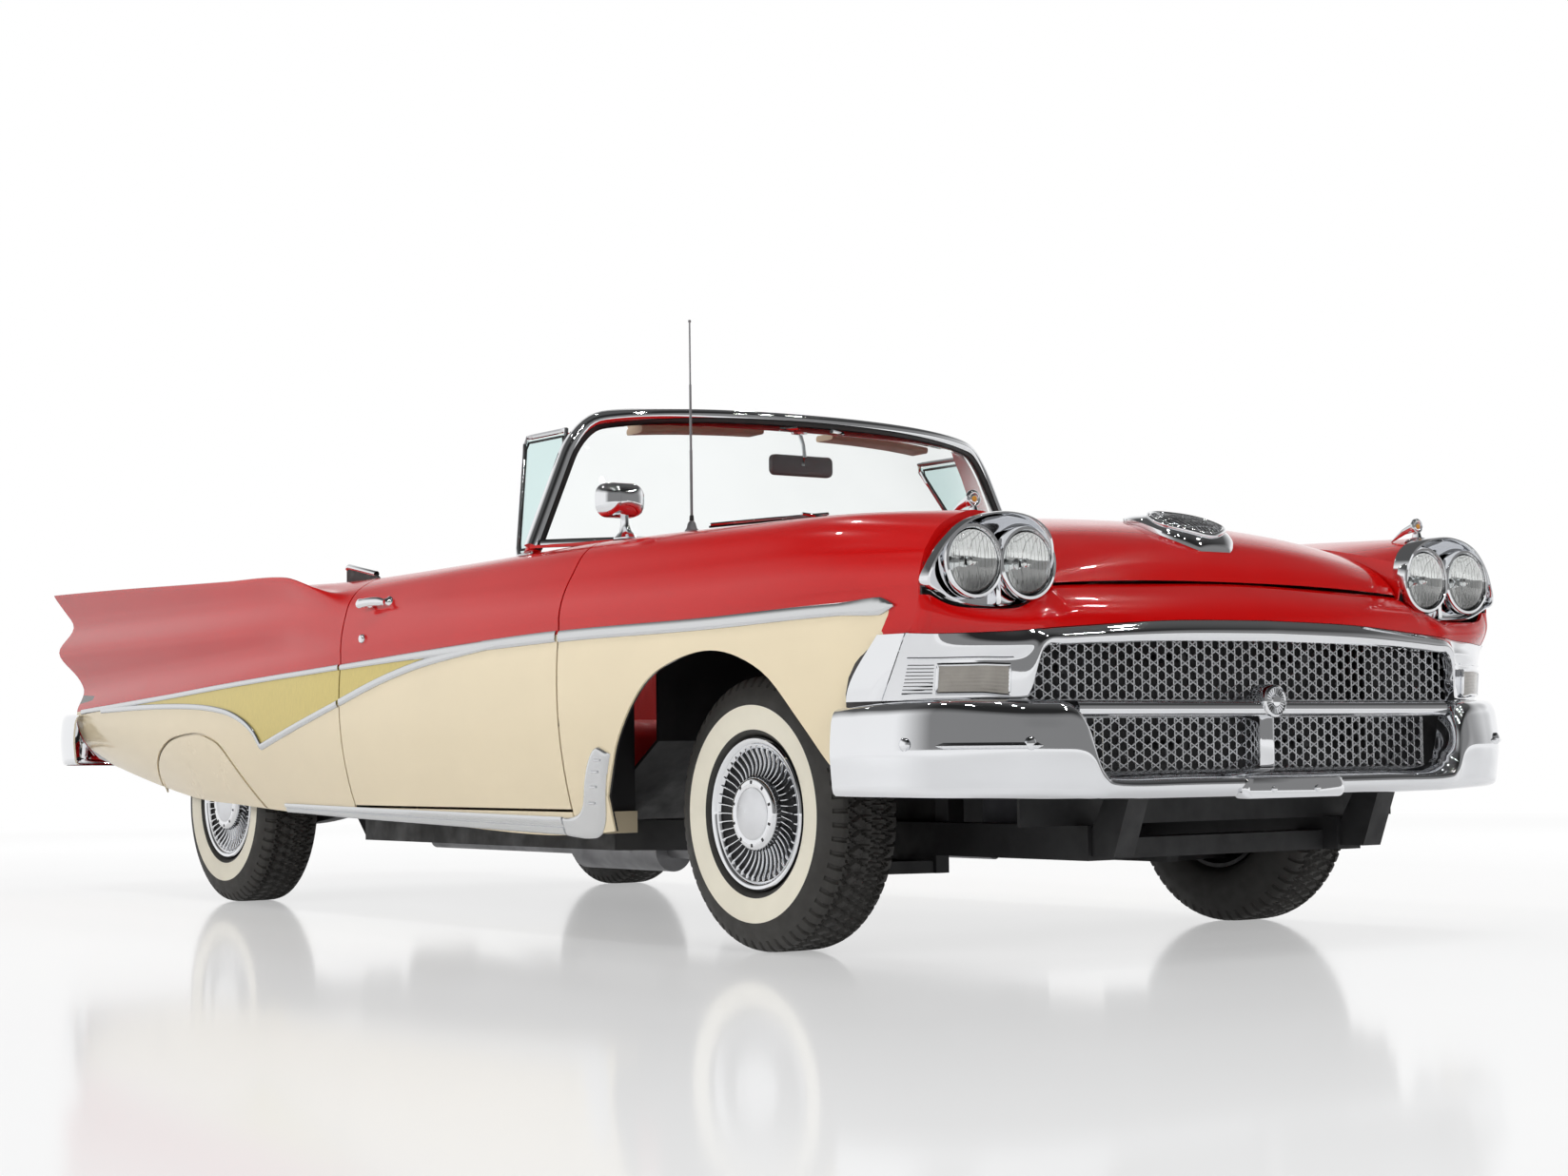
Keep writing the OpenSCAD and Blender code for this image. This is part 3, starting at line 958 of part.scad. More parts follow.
// Seats as plain soft solids
seat_side_gap = 122;
seat_half_w = cabin_half_w - seat_side_gap;
seat_front_x = -1230;
seat_depth = 500;
seat_cushion_t = 190;
seat_back_t = 130;
seat_back_drop = 120;
seat_back_h = belt_h - seat_back_drop;
seat_lean = 12;
riser_in = 40;
riser_y = [200, seat_half_w - 2 * riser_in];
seat_low = seat_h - seat_cushion_t;
seat_back_l = (seat_back_h - seat_low) / cos(seat_lean) - seat_back_t * sin(seat_lean);
module front_seat() color(red) place() {
    translate([seat_front_x - seat_depth, -seat_half_w, seat_low]) cube([seat_depth, 2 * seat_half_w, seat_cushion_t]);
    translate([seat_front_x - seat_depth, -seat_half_w, seat_low + seat_back_t * sin(seat_lean)]) rotate([0, -seat_lean, 0])
        translate([-seat_back_t, 0, 0]) cube([seat_back_t, 2 * seat_half_w, seat_back_l]);
    both_sides() translate([seat_front_x - seat_depth + riser_in, -riser_y[1], floor_h + seat])
        cube([seat_depth - 2 * riser_in, riser_y[1] - riser_y[0], seat_low - floor_h]);
}
rear_side_gap = 25;
rear_half_w = house_y - rear_side_gap;
rear_front_x = -2140;
rear_depth = 340;
rear_seat_h = 545;
boot_drop = 120;
boot_fit = 0.6;
boot_z = [belt_h - boot_drop, belt_h + glass_foot_h];
rear_back_h = boot_z[0] - boot_fit;
rear_seat_z = seat_pan_h + seat;
module rear_seat() color(red) place() {
    translate([rear_front_x - rear_depth, -rear_half_w, rear_seat_z]) cube([rear_depth, 2 * rear_half_w, rear_seat_h - seat_pan_h]);
    translate([rear_front_x - rear_depth - seat_back_t, -rear_half_w, rear_seat_z])
        cube([seat_back_t, 2 * rear_half_w, rear_back_h - seat_pan_h]);
}
// Folded top under its boot cover
boot_x = [-2440, -2720];
boot_steps = 8;
boot_side_gap = 7;
boot_crown_shares = [0.7, 0.3];
boot_v = [-1, -0.6, 0, 0.6, 1];
boot_half_w = row_at(side_lines, boot_x[1])[14] - boot_side_gap;
function boot_top(u, v) = mix(boot_z[0] + sheet_t, boot_z[1],
    sin(180 * u) * boot_crown_shares[0] + boot_crown_shares[1] * (1 - v * v));
function boot_grid(low) = [for (i = [0:boot_steps]) let (u = i / boot_steps) [for (v = boot_v)
    [mix(boot_x[0], boot_x[1], u), boot_half_w * v, low ? boot_z[0] : boot_top(u, v)]]];
module top_boot() color(cream) place() skin(boot_grid(false), boot_grid(true));

// Trunk lid, and the deck panel between it and the folded top
lid_front_x = -wheelbase + lid_start;
lid_centre_shares = [[0, 0.985], [0.35, 0.992], [0.72, 0.975], [0.92, 0.93], [1, 0.85], [1.01, 0.72]];
lid_edge_shares = [[0, 0.974], [0.35, 0.978], [0.72, 0.962], [0.92, 0.92], [1, 0.85], [1.01, 0.73]];
lid_tail_share = 0.985;
lid_taper_power = 6;
function lid_pt(u, v) = let (
    c = curve_at(lid_centre_shares, u), e = curve_at(lid_edge_shares, u), x = lid_front_x - lid_len * e[0],
    w = (row_at(side_lines, max(x, tail_x))[14] - panel_gap) * mix(1, lid_tail_share, ease((tail_x - x) / lid_len * lid_taper_power)))
    [lid_front_x - lid_len * mix(c[0], e[0], v * v), w * v, belt_h * mix(c[1], e[1], v * v)];
lid_u = key_steps(0, len(lid_centre_shares) - 1, 2);
lid_v = [for (i = [-6:6]) i / 6];
lid_t = 14;
lid_fold_keys = [3, 4, 4.5, 5];
// The inside is set down under the top and forward behind the tail face
function lid_in(u, p) = p + lid_t * [
    ease((u - lid_fold_keys[0]) / (lid_fold_keys[2] - lid_fold_keys[0])), 0,
    ease((u - lid_fold_keys[1]) / (lid_fold_keys[3] - lid_fold_keys[1])) - 1];
module trunk_lid() color(red) place()
    skin([for (u = lid_u) [for (v = lid_v) lid_pt(u, v)]], [for (u = lid_u) [for (v = lid_v) lid_in(u, lid_pt(u, v))]]);
deck_t = 10;
deck_steps = [0, 0.5, 1];
function deck_pt(t, v) = let (a = lid_pt(0, v), x = mix(boot_x[1] - seat, a[0] + panel_gap, t), r = row_at(side_lines, x))
    [x, v * (r[14] - seat), a[2]];
function deck_grid(down) = [for (t = deck_steps) [for (v = lid_v) deck_pt(t, v) - [0, 0, down]]];
module rear_deck() color(red) place() skin(deck_grid(0), deck_grid(deck_t));

// Tail panel and lamps under the fins
tail_panel_t = 16;
tail_panel_top_share = 0.712;
tail_plate_side = 350;
tail_plate_low_share = 0.48;
tail_fit = 3;
tail_plate_in = half_w - tail_plate_side;
tail_plate_low = tail_plate_low_share * belt_h;
function from_skin(g, fit) = [for (r = g) [for (p = r) p + [0, fit, 0]]];
module tail_panel() color(red) place() {
    box([tail_plate_x - tail_panel_t, tail_plate_x], [-tail_plate_in + seat, tail_plate_in - seat],
        [trunk_floor_h - sheet_t, tail_panel_top_share * belt_h]);
    both_sides() {
        g = side_grid([[tail_plate_x, tail_plate_low], [tail_plate_x - tail_panel_t, tail_plate_low]], post_keys, true);
        skin(from_skin(g, tail_fit), [for (r = g) [for (p = r) [p[0], -tail_plate_in, p[2]]]]);
    }
}
tail_lamp_r = 52;
tail_lamp_shares = [0.7071, 0.8202];
tail_lamp_z_share = 0.835;
tail_lamp_l = 60;
tail_lamp_x = tail_plate_x - tail_panel_t - seat - tail_lamp_l;
module tail_lamps() color(lamp_red) place() both_sides() for (y = tail_lamp_shares)
    translate([tail_lamp_x, -y * half_w, tail_lamp_z_share * belt_h]) rotate([0, -90, 0])
        rotate_extrude() polygon(lens_profile(tail_lamp_r, tail_lamp_l, lens_dome));

// Dashboard, steering column and wheel
// Dash section: x share from glass foot to rear edge, drop share of its height
dash_in = 65;
dash_half = glass_base_half - dash_in;
dash_h = 255;
dash_rear_x = [-800, -930];
dash_section_shares = [[0.05, 0.0], [0.75, 0.03], [1, 0.15], [0.92, 0.6], [0.72, 1.0]];
dash_inside_shares = [[0.05, 0.08], [0.70, 0.12], [0.85, 0.22], [0.80, 0.6], [0.64, 0.97]];
dash_v = [for (i = [-8:8]) i / 8];
dash_drop = 0.5;
dash_t = 60;
function dash_pt(v, c) = let (y = v * dash_half, k = pow(abs(y) / glass_base_half, glass_bow_power),
    x0 = mix(glass_base_x, glass_base_side_x, k), x1 = min(mix(dash_rear_x[0], dash_rear_x[1], v * v), x0 - dash_t))
    [mix(x0, x1, c[0]), y, glass_low - cowl_t - dash_drop - dash_h * c[1]];
function dash_grid(section) = [for (v = dash_v) [for (c = section) dash_pt(v, c)]];
module dashboard() color(red) place() skin(dash_grid(dash_section_shares), dash_grid(dash_inside_shares), true);
column_y = 390;
column_tilt = 28;
column_r = 22;
hub_x = -1130;
hub_drop = 140;
hub_z = belt_h - hub_drop;
column_l = (firewall_x - seat - hub_x - column_r * sin(column_tilt)) / cos(column_tilt);
steering_r = steering_d / 2;
grip_r = 12;
hub_r = 40;
hub_h = 50;
module on_column() place() translate([hub_x, column_y, hub_z]) rotate([0, -90 + column_tilt, 0]) children();
module steering_column() color(black) on_column()
    translate([0, 0, -column_l - seat]) cylinder(r = column_r, h = column_l);
spoke_w = 26;
spoke_t = 12;
module steering_wheel() color(cream) on_column() {
    cylinder(r = hub_r, h = hub_h);
    translate([0, 0, hub_h]) rotate_extrude($fn = 96) translate([steering_r - grip_r, 0]) circle(r = grip_r, $fn = 24);
    translate([-spoke_w / 2, grip_r - steering_r, hub_h - spoke_t]) cube([spoke_w, 2 * (steering_r - grip_r), spoke_t]);
}

// Whip antenna and mirror on the right fender
antenna_x = -320;
antenna_in = 200;
antenna_y = half_w - antenna_in;
antenna_h = 520;
antenna_r = 4;
antenna_base_r = 16;
antenna_cap_r = 8;
antenna_base_h = 22;
// Fender's top at half width y, the highest over a foot of radius r
function crown_z(x, y) = let (k = side_knots(x, sill_z(x)), a = k[crest_key], b = k[inner_key])
    curve_at(k, crest_key + limit01((a[0] - y) / (a[0] - b[0])))[1];
function top_z(x, y, r) = max([for (i = [-1:1], j = [-1:1]) crown_z(x + i * r, y + j * r)]);
module on_fender(x, y, r) place() translate([x, -y, top_z(x, y, r) + seat]) children();
module antenna() color(chrome) on_fender(antenna_x, antenna_y, antenna_base_r) {
    cylinder(r1 = antenna_base_r, r2 = antenna_cap_r, h = antenna_base_h);
    cylinder(r = antenna_r, h = antenna_h);
}
mirror_x = -600;
mirror_in = 190;
mirror_h = 100;
mirror_foot_r = 26;
mirror_stalk_r = 8;
mirror_head_r = 46;
mirror_tip_r = 24;
mirror_head_l = 62;
mirror_y = half_w - mirror_in;
module door_mirror() color(chrome) on_fender(mirror_x, mirror_y, mirror_foot_r) {
    cylinder(r1 = mirror_foot_r, r2 = mirror_stalk_r, h = mirror_h);
    translate([-mirror_head_l / 2, 0, mirror_h]) rotate([0, 90, 0]) cylinder(r1 = mirror_head_r, r2 = mirror_tip_r, h = mirror_head_l);
}

// Vent window in front of each door glass: a bright frame round a pane
vent_base_x = [-1020, -1100];
vent_top_x = [-1045, -1270];
vent_base_in = 162;
vent_top_out = 10;
vent_drop = 67;
vent_t = 14;
vent_base_y = half_w - vent_base_in;
vent_top_y = glass_top_half + vent_top_out;
vent_z = [row_at(side_lines, vent_base_x[0])[13] + seat, header_h - vent_drop];
function vent_pt(a, t, d) = [
    mix(mix(vent_base_x[0], vent_base_x[1], a), mix(vent_top_x[0], vent_top_x[1], a), t),
    d - mix(vent_base_y, vent_top_y, t), mix(vent_z[0], vent_z[1], t)];
function vent_grid(d) = [for (a = [0, 1]) [for (t = [0, 1]) vent_pt(a, t, d)]];
module vent_right() color(chrome) place() skin(vent_grid(0), vent_grid(vent_t));
module vent_left() mirror([0, 1, 0]) vent_right();

frame_rails();
frame_crossmembers();
floor_pan();
cowl();
rocker_panels();
inner_aprons();
fender_right();
fender_left();
front_panel();
grille_surround();
grille_mesh();
grille_bar();
front_bumper();
headlamp_bezels();
front_lamps();
windshield_frame();
windshield_glass();
dashboard();
steering_column();
front_seat();
rear_seat();
top_boot();
quarter_right();
quarter_left();
fender_skirts();
rear_deck();
rear_wheelhouses();
body_posts();
radiator_support();
tail_panel();
tail_lamps();
rear_bumper();
engine();
driveline();
exhaust();
fuel_tank();
rear_axle();
leaf_springs();
control_arms();
antenna();
door_mirror();
hood();
hood_scoop();
trunk_lid();
door_right();
door_left();
vent_right();
vent_left();
knuckle_right();
knuckle_left();
wheel_front_right();
wheel_front_left();
wheel_rear_right();
wheel_rear_left();
tyre_front_right();
tyre_front_left();
tyre_rear_right();
tyre_rear_left();
steering_wheel();
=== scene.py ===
import math

import bmesh
import bpy
import numpy as np
from mathutils import Matrix, Vector


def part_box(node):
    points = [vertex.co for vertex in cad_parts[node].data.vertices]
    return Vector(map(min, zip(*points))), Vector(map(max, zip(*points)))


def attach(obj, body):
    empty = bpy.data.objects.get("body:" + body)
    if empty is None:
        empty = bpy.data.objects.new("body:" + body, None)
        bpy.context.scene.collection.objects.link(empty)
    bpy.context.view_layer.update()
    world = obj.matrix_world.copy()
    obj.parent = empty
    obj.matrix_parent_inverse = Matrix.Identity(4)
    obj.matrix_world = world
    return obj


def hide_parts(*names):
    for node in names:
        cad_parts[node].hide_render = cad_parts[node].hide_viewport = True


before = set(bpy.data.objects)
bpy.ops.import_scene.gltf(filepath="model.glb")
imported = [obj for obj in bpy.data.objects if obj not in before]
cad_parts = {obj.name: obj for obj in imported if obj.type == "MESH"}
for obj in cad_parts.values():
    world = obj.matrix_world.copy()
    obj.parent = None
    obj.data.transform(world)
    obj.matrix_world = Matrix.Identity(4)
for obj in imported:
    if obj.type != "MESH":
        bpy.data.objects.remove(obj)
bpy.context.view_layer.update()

# Lengths below are in millimetres; x is counted from the front axle, +y left, +z up
_lo, _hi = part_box("tyre_front_right")
AXLE = (_lo.x + _hi.x) / 2 * 1000
WHEELBASE = 2997.0
HALF_W = 990.0
BELT = 1000.0
WALL = 10.0
GAP = 7.0
DOOR_FRONT = -640.0
DOOR_REAR = -1830.0
DOOR_LOW = 326.0
CABIN_HALF = 812.0


# Curves
def mix(a, b, t):
    return a + (b - a) * t


def limit01(t):
    return max(0.0, min(1.0, t))


def ease(t):
    u = limit01(t)
    return u * u * (3 - 2 * u)


def hermite(a, b, da, db, t):
    return (a * (1 - 3 * t * t + 2 * t ** 3) + da * (t - 2 * t * t + t ** 3)
            + b * (3 * t * t - 2 * t ** 3) + db * (t ** 3 - t * t))


def curve_at(p, s):
    """A smooth curve through the points p at s, from 0 to the number of spans."""
    n = len(p) - 1
    i = max(0, min(int(math.floor(s)), n - 1))
    a, b, c, d = (np.asarray(p[k], float) for k in (max(i - 1, 0), i, i + 1, min(i + 2, n)))
    return hermite(b, c, (c - a) / 2, (d - b) / 2, s - i)


def row_at(tab, key):
    """A row of a table interpolated smoothly by its first column."""
    tab = np.asarray(tab, float)
    up = tab[1][0] > tab[0][0]
    i = 0
    while i < len(tab) - 2 and ((key > tab[i + 1][0]) if up else (key < tab[i + 1][0])):
        i += 1

    def slope(k):
        a, b = max(k - 1, 0), min(k + 1, len(tab) - 1)
        return (tab[b] - tab[a]) / (tab[b][0] - tab[a][0])

    w = tab[i + 1][0] - tab[i][0]
    return hermite(tab[i], tab[i + 1], slope(i) * w, slope(i + 1) * w, (key - tab[i][0]) / w)


def steps(a, b, n):
    return [a + (b - a) * i / n for i in range(n + 1)]


def full_turn(n):
    """Angles of n points round a circle."""
    return steps(0, 2 * math.pi, n)[:-1]


def circle(n):
    """Cosine and sine of n points round a circle."""
    return [(math.cos(2 * math.pi * k / n), math.sin(2 * math.pi * k / n)) for k in range(n)]


# Meshes
class Shape:
    """Closed shapes gathered into one mesh. Points are in millimetres from the front axle."""

    def __init__(self):
        self.v, self.f, self.m = [], [], []

    def add(self, verts, faces, m=0):
        n = len(self.v)
        self.v += [tuple(float(c) for c in p) for p in verts]
        self.f += [tuple(i + n for i in f) for f in faces]
        self.m += [m] * len(faces)
        return self

    def skin(self, outer, inner):
        """A closed sheet between two grids of points."""
        n, k = len(outer), len(outer[0])
        verts = [p for r in outer for p in r] + [p for r in inner for p in r]

        def at(s, i, j):
            return (s * n + i) * k + j

        front, back = [], []
        for i in range(n - 1):
            for j in range(k - 1):
                front.append((at(0, i, j), at(0, i, j + 1), at(0, i + 1, j + 1), at(0, i + 1, j)))
                back.append((at(1, i, j), at(1, i + 1, j), at(1, i + 1, j + 1), at(1, i, j + 1)))
            front.append((at(0, i, 0), at(0, i + 1, 0), at(1, i + 1, 0), at(1, i, 0)))
            front.append((at(0, i, k - 1), at(1, i, k - 1), at(1, i + 1, k - 1), at(0, i + 1, k - 1)))
        for j in range(k - 1):
            front.append((at(0, 0, j), at(1, 0, j), at(1, 0, j + 1), at(0, 0, j + 1)))
            front.append((at(0, n - 1, j), at(0, n - 1, j + 1), at(1, n - 1, j + 1), at(1, n - 1, j)))
        return self.add(verts, front + back)

    def loft(self, rings, m=0, closed=False):
        """Rings of equal length joined in order."""
        n, k = len(rings), len(rings[0])
        verts = [p for r in rings for p in r]
        faces = []
        for i in range(n if closed else n - 1):
            a, b = i, (i + 1) % n
            for j in range(k):
                faces.append((a * k + j, a * k + (j + 1) % k, b * k + (j + 1) % k, b * k + j))
        if not closed:
            faces.append(tuple(range(k)))
            faces.append(tuple((n - 1) * k + j for j in range(k)))
        return self.add(verts, faces, m)

    def tube(self, path, r, seg=10, m=0, closed=False, flat=1.0):
        """A round bar along a path; r is one radius or one for each point."""
        p = [Vector(q) for q in path]
        n = len(p)
        rings = []
        for i in range(n):
            a = p[(i - 1) % n] if closed else p[max(i - 1, 0)]
            b = p[(i + 1) % n] if closed else p[min(i + 1, n - 1)]
            t = (b - a).normalized()
            u = Vector((0, 0, 1))
            if abs(u.dot(t)) > 0.98:
                u = Vector((1, 0, 0)) if abs(t.x) < 0.9 else Vector((0, 1, 0))
            s = t.cross(u).normalized()
            w = s.cross(t)
            ri = r[i] if isinstance(r, (list, tuple)) else r
            rings.append([p[i] + s * (ri * flat * c) + w * (ri * q) for c, q in circle(seg)])
        return self.loft(rings, m, closed)

    def lathe(self, prof, place, seg=64, m=0):
        """A revolved outline of (radius, height); place turns local (x, y, z) into the car's frame."""
        n = len(prof)
        verts = [place(r * c, r * q, h) for r, h in prof for c, q in circle(seg)]
        faces = []
        for i in range(n):
            b = (i + 1) % n
            if prof[i][0] < 1e-6 and prof[b][0] < 1e-6:
                continue
            for j in range(seg):
                k = (j + 1) % seg
                faces.append((i * seg + j, i * seg + k, b * seg + k, b * seg + j))
        return self.add(verts, faces, m)

    def block(self, lo, hi, m=0, turn=None, soft=0.0):
        """A box, with its edges taken off by soft."""
        bm = bmesh.new()
        bmesh.ops.create_cube(bm, size=1)
        for v in bm.verts:
            v.co = Vector([mix(lo[k], hi[k], v.co[k] + 0.5) for k in range(3)])
        if soft:
            bmesh.ops.bevel(bm, geom=list(bm.edges), offset=soft, segments=2, profile=0.6, affect="EDGES")
        if turn is not None:
            for v in bm.verts:
                v.co = turn @ v.co
        bm.verts.index_update()
        self.add([v.co[:] for v in bm.verts], [[v.index for v in f.verts] for f in bm.faces], m)
        bm.free()
        return self

    def mirrored(self):
        s = Shape()
        s.v = [(x, -y, z) for x, y, z in self.v]
        s.f = [tuple(reversed(f)) for f in self.f]
        s.m = list(self.m)
        return s

    def plus(self, other):
        n = len(self.v)
        self.v += other.v
        self.f += [tuple(i + n for i in f) for f in other.f]
        self.m += other.m
        return self

    def both(self):
        return self.plus(self.mirrored())

    def make(self, name, body, mats, slot=None, replaces=(), sharp=38, attrs=None, local=False, subdiv=0,
             weld=0.01):
        """The shape as a named object; a local one keeps its own origin and is placed by the caller."""
        me = bpy.data.meshes.new(name)
        pts = np.array(self.v, float)
        start = 0.0 if local else AXLE
        off = np.array([start, 0.0, 0.0])
        me.from_pydata([tuple(p) for p in (pts + off) * 0.001], [], self.f)
        for mt in mats:
            me.materials.append(mt)
        me.polygons.foreach_set("material_index", np.array(self.m, np.int32))
        bm = bmesh.new()
        bm.from_mesh(me)
        bmesh.ops.remove_doubles(bm, verts=bm.verts, dist=weld * 0.001)
        bmesh.ops.dissolve_degenerate(bm, edges=bm.edges, dist=1e-6)
        bmesh.ops.recalc_face_normals(bm, faces=bm.faces)
        bm.to_mesh(me)
        bm.free()
        for key, fn in (attrs or {}).items():
            at = me.attributes.new(key, "FLOAT", "POINT")
            values = [fn(v.co.x * 1000 - start, v.co.y * 1000, v.co.z * 1000) for v in me.vertices]
            at.data.foreach_set("value", np.array(values, np.float32))
        me.polygons.foreach_set("use_smooth", np.ones(len(me.polygons), bool))
        me.set_sharp_from_angle(angle=math.radians(sharp))
        me.update()
        ob = bpy.data.objects.new(name, me)
        bpy.context.scene.collection.objects.link(ob)
        if subdiv:
            md = ob.modifiers.new("smooth", "SUBSURF")
            md.levels = md.render_levels = subdiv
        if not local:
            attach(ob, body)
        if replaces:
            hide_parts(*replaces)
        return ob


def cut(shape, cutter):
    """The shape with a closed cutter taken out of it."""
    pieces = []
    for part in (shape, cutter):
        me = bpy.data.meshes.new("cut_part")
        me.from_pydata(part.v, [], part.f)
        bm = bmesh.new()
        bm.from_mesh(me)
        bmesh.ops.remove_doubles(bm, verts=bm.verts, dist=0.01)
        bmesh.ops.recalc_face_normals(bm, faces=bm.faces)
        bm.to_mesh(me)
        bm.free()
        ob = bpy.data.objects.new("cut_part", me)
        bpy.context.scene.collection.objects.link(ob)
        pieces.append(ob)
    md = pieces[0].modifiers.new("cut", "BOOLEAN")
    md.operation = "DIFFERENCE"
    md.object = pieces[1]
    done = pieces[0].evaluated_get(bpy.context.evaluated_depsgraph_get())
    me = done.to_mesh()
    out = Shape().add([v.co[:] for v in me.vertices], [tuple(f.vertices) for f in me.polygons])
    done.to_mesh_clear()
    for ob in pieces:
        data = ob.data
        bpy.data.objects.remove(ob)
        bpy.data.meshes.remove(data)
    return out


def rounded_rect(w, h, r, n=4):
    """Corner-rounded outline about the origin."""
    out = []
    x, y = w / 2 - r, h / 2 - r
    for cx, cy, a0 in ((x, y, 0), (-x, y, 90), (-x, -y, 180), (x, -y, 270)):
        for i in range(n + 1):
            a = math.radians(a0 + 90 * i / n)
            out.append((cx + r * math.cos(a), cy + r * math.sin(a)))
    return out


def upright(x, y, z, stretch=1.0):
    """Places a lathe's outline at a point with its axis up."""
    return lambda a, b, h: (x + a * stretch, y + b, z + h)


def facing(x, y, z, way=1):
    """Places a lathe's outline at a point with its axis forward, or backward when way is -1."""
    return lambda a, b, h: (x + way * h, y + a, z + b)


def sideways(x, y, z, way):
    """Places a lathe's outline at a point with its axis to the left, or to the right when way is -1."""
    return lambda a, b, h: (x + a, y + way * h, z + b)


def along(p, d):
    """Places a lathe's outline at a point with its axis in direction d."""
    e1 = d.cross(Vector((0, 0, 1))).normalized()
    e2 = d.cross(e1)
    return lambda a, b, h: p + e1 * a + e2 * b + d * h


def shifted(grid, dx=0, dy=0, dz=0):
    return [[(x + dx, y + dy, z + dz) for x, y, z in row] for row in grid]


# Materials
def new_mat(name):
    m = bpy.data.materials.new(name)
    m.use_nodes = True
    nt = m.node_tree
    return m, nt, nt.nodes["Principled BSDF"]


def fill(node, values):
    """Sets a node's inputs by name."""
    for key, value in values.items():
        node.inputs[key].default_value = value


def combine(nt, operation, a, b):
    """A math node on two sockets."""
    n = nt.nodes.new("ShaderNodeMath")
    n.operation = operation
    nt.links.new(a, n.inputs[0])
    nt.links.new(b, n.inputs[1])
    return n.outputs[0]


def coords(nt, scale=(1, 1, 1)):
    tc = nt.nodes.new("ShaderNodeTexCoord")
    mp = nt.nodes.new("ShaderNodeMapping")
    fill(mp, {"Scale": scale})
    nt.links.new(tc.outputs["Object"], mp.inputs["Vector"])
    return mp.outputs["Vector"]


def noise(nt, vec, scale, detail=3.0, rough=0.55):
    n = nt.nodes.new("ShaderNodeTexNoise")
    fill(n, {"Scale": scale, "Detail": detail, "Roughness": rough})
    nt.links.new(vec, n.inputs["Vector"])
    return n.outputs["Fac"]


def ramp(nt, fac, lo, hi, a=0.3, b=0.7):
    r = nt.nodes.new("ShaderNodeMapRange")
    fill(r, {"From Min": a, "From Max": b, "To Min": lo, "To Max": hi})
    nt.links.new(fac, r.inputs["Value"])
    return r.outputs["Result"]


def blend_col(nt, fac, a, b):
    mx = nt.nodes.new("ShaderNodeMix")
    mx.data_type = "RGBA"
    for k, c in ((6, a), (7, b)):
        if isinstance(c, (tuple, list)):
            mx.inputs[k].default_value = (*c, 1)
        else:
            nt.links.new(c, mx.inputs[k])
    if isinstance(fac, float):
        mx.inputs[0].default_value = fac
    else:
        nt.links.new(fac, mx.inputs[0])
    return mx.outputs[2]


def bump(nt, bsdf, height, strength, dist=0.001):
    b = nt.nodes.new("ShaderNodeBump")
    fill(b, {"Strength": strength, "Distance": dist})
    nt.links.new(height, b.inputs["Height"])
    nt.links.new(b.outputs["Normal"], bsdf.inputs["Normal"])


def tone(c, k):
    return tuple(min(1.0, x * k) for x in c)


# Little of the light that passes the clear coat is mirrored by the paint under it
UNDER_COAT = 0.15


def surface(name, col, rough, metal=0.0, vary=0.06, scale=6.0, rough_vary=0.3, grain=0.0, grain_scale=400.0,
            coat=0.0,
            coat_rough=0.03, sheen=0.0, stretch=(1, 1, 1)):
    """A painted, plated or moulded surface with cloudy tone, uneven gloss and grain."""
    m, nt, b = new_mat(name)
    vec = coords(nt, stretch)
    n = noise(nt, vec, scale)
    cloudy = blend_col(nt, ramp(nt, n, 0, 1), tone(col, 1 - vary), tone(col, 1 + vary))
    nt.links.new(cloudy, b.inputs["Base Color"])
    gloss = ramp(nt, noise(nt, vec, scale * 3.1), rough * (1 - rough_vary), rough * (1 + rough_vary))
    nt.links.new(gloss, b.inputs["Roughness"])
    fill(b, {"Metallic": metal, "Coat Weight": coat, "Coat Roughness": coat_rough, "Sheen Weight": sheen})
    if coat:
        fill(b, {"Specular IOR Level": UNDER_COAT})
    if grain:
        bump(nt, b, noise(nt, vec, grain_scale, 2.0), grain, 0.0006)
    return m


RED = (0.57, 0.002, 0.002)
CREAM = (0.86, 0.74, 0.52)
GOLD = (0.66, 0.53, 0.15)
# Near black, painted as the shade on the body sides' inner faces
INNER_SHADE = (0.045, 0.04, 0.04)
M_RED = surface("red_paint", RED, 0.22, 0, 0.03, 3, 0.15, 0.02, 900, 0.7, 0.02)
M_CREAM = surface("cream_paint", CREAM, 0.25, 0, 0.02, 3, 0.15, 0.02, 900, 0.8, 0.03)
M_CHROME = surface("chrome_plate", (0.80, 0.81, 0.83), 0.045, 1.0, 0.02, 4, 0.35)
M_STAIN = surface("stainless_trim", (0.66, 0.67, 0.68), 0.20, 1.0, 0.02, 9, 0.15, 0.01, 700,
                  stretch=(0.15, 1, 1))
M_ALU = surface("bright_aluminium", (0.72, 0.73, 0.75), 0.26, 1.0, 0.05, 9, 0.3, 0.05, 800)
M_SATIN = surface("satin_disc", (0.74, 0.75, 0.77), 0.33, 1.0, 0.04, 12, 0.2, 0.06, 900)
M_BLACK = surface("underbody_black", (0.014, 0.014, 0.015), 0.55, 0, 0.25, 5, 0.25, 0.25, 160)
# Near black for dark fittings, and as painted shade in recesses and openings
M_DARK_AND_SHADE = surface("dark_and_recess_shade", (0.012, 0.012, 0.013), 0.5, 0, 0.2, 8, 0.2, 0.15, 220)
M_STEEL = surface("bare_steel", (0.30, 0.30, 0.31), 0.45, 0.9, 0.2, 7, 0.3, 0.2, 200)
M_IRON = surface("cast_iron", (0.10, 0.10, 0.11), 0.6, 0.6, 0.25, 6, 0.2, 0.5, 140)
M_RUBBER = surface("seal_rubber", (0.012, 0.012, 0.012), 0.45, 0, 0.2, 14, 0.2, 0.2, 300)
M_TYRE = surface("tyre_rubber", (0.034, 0.032, 0.029), 0.62, 0, 0.22, 9, 0.15, 0.35, 260)
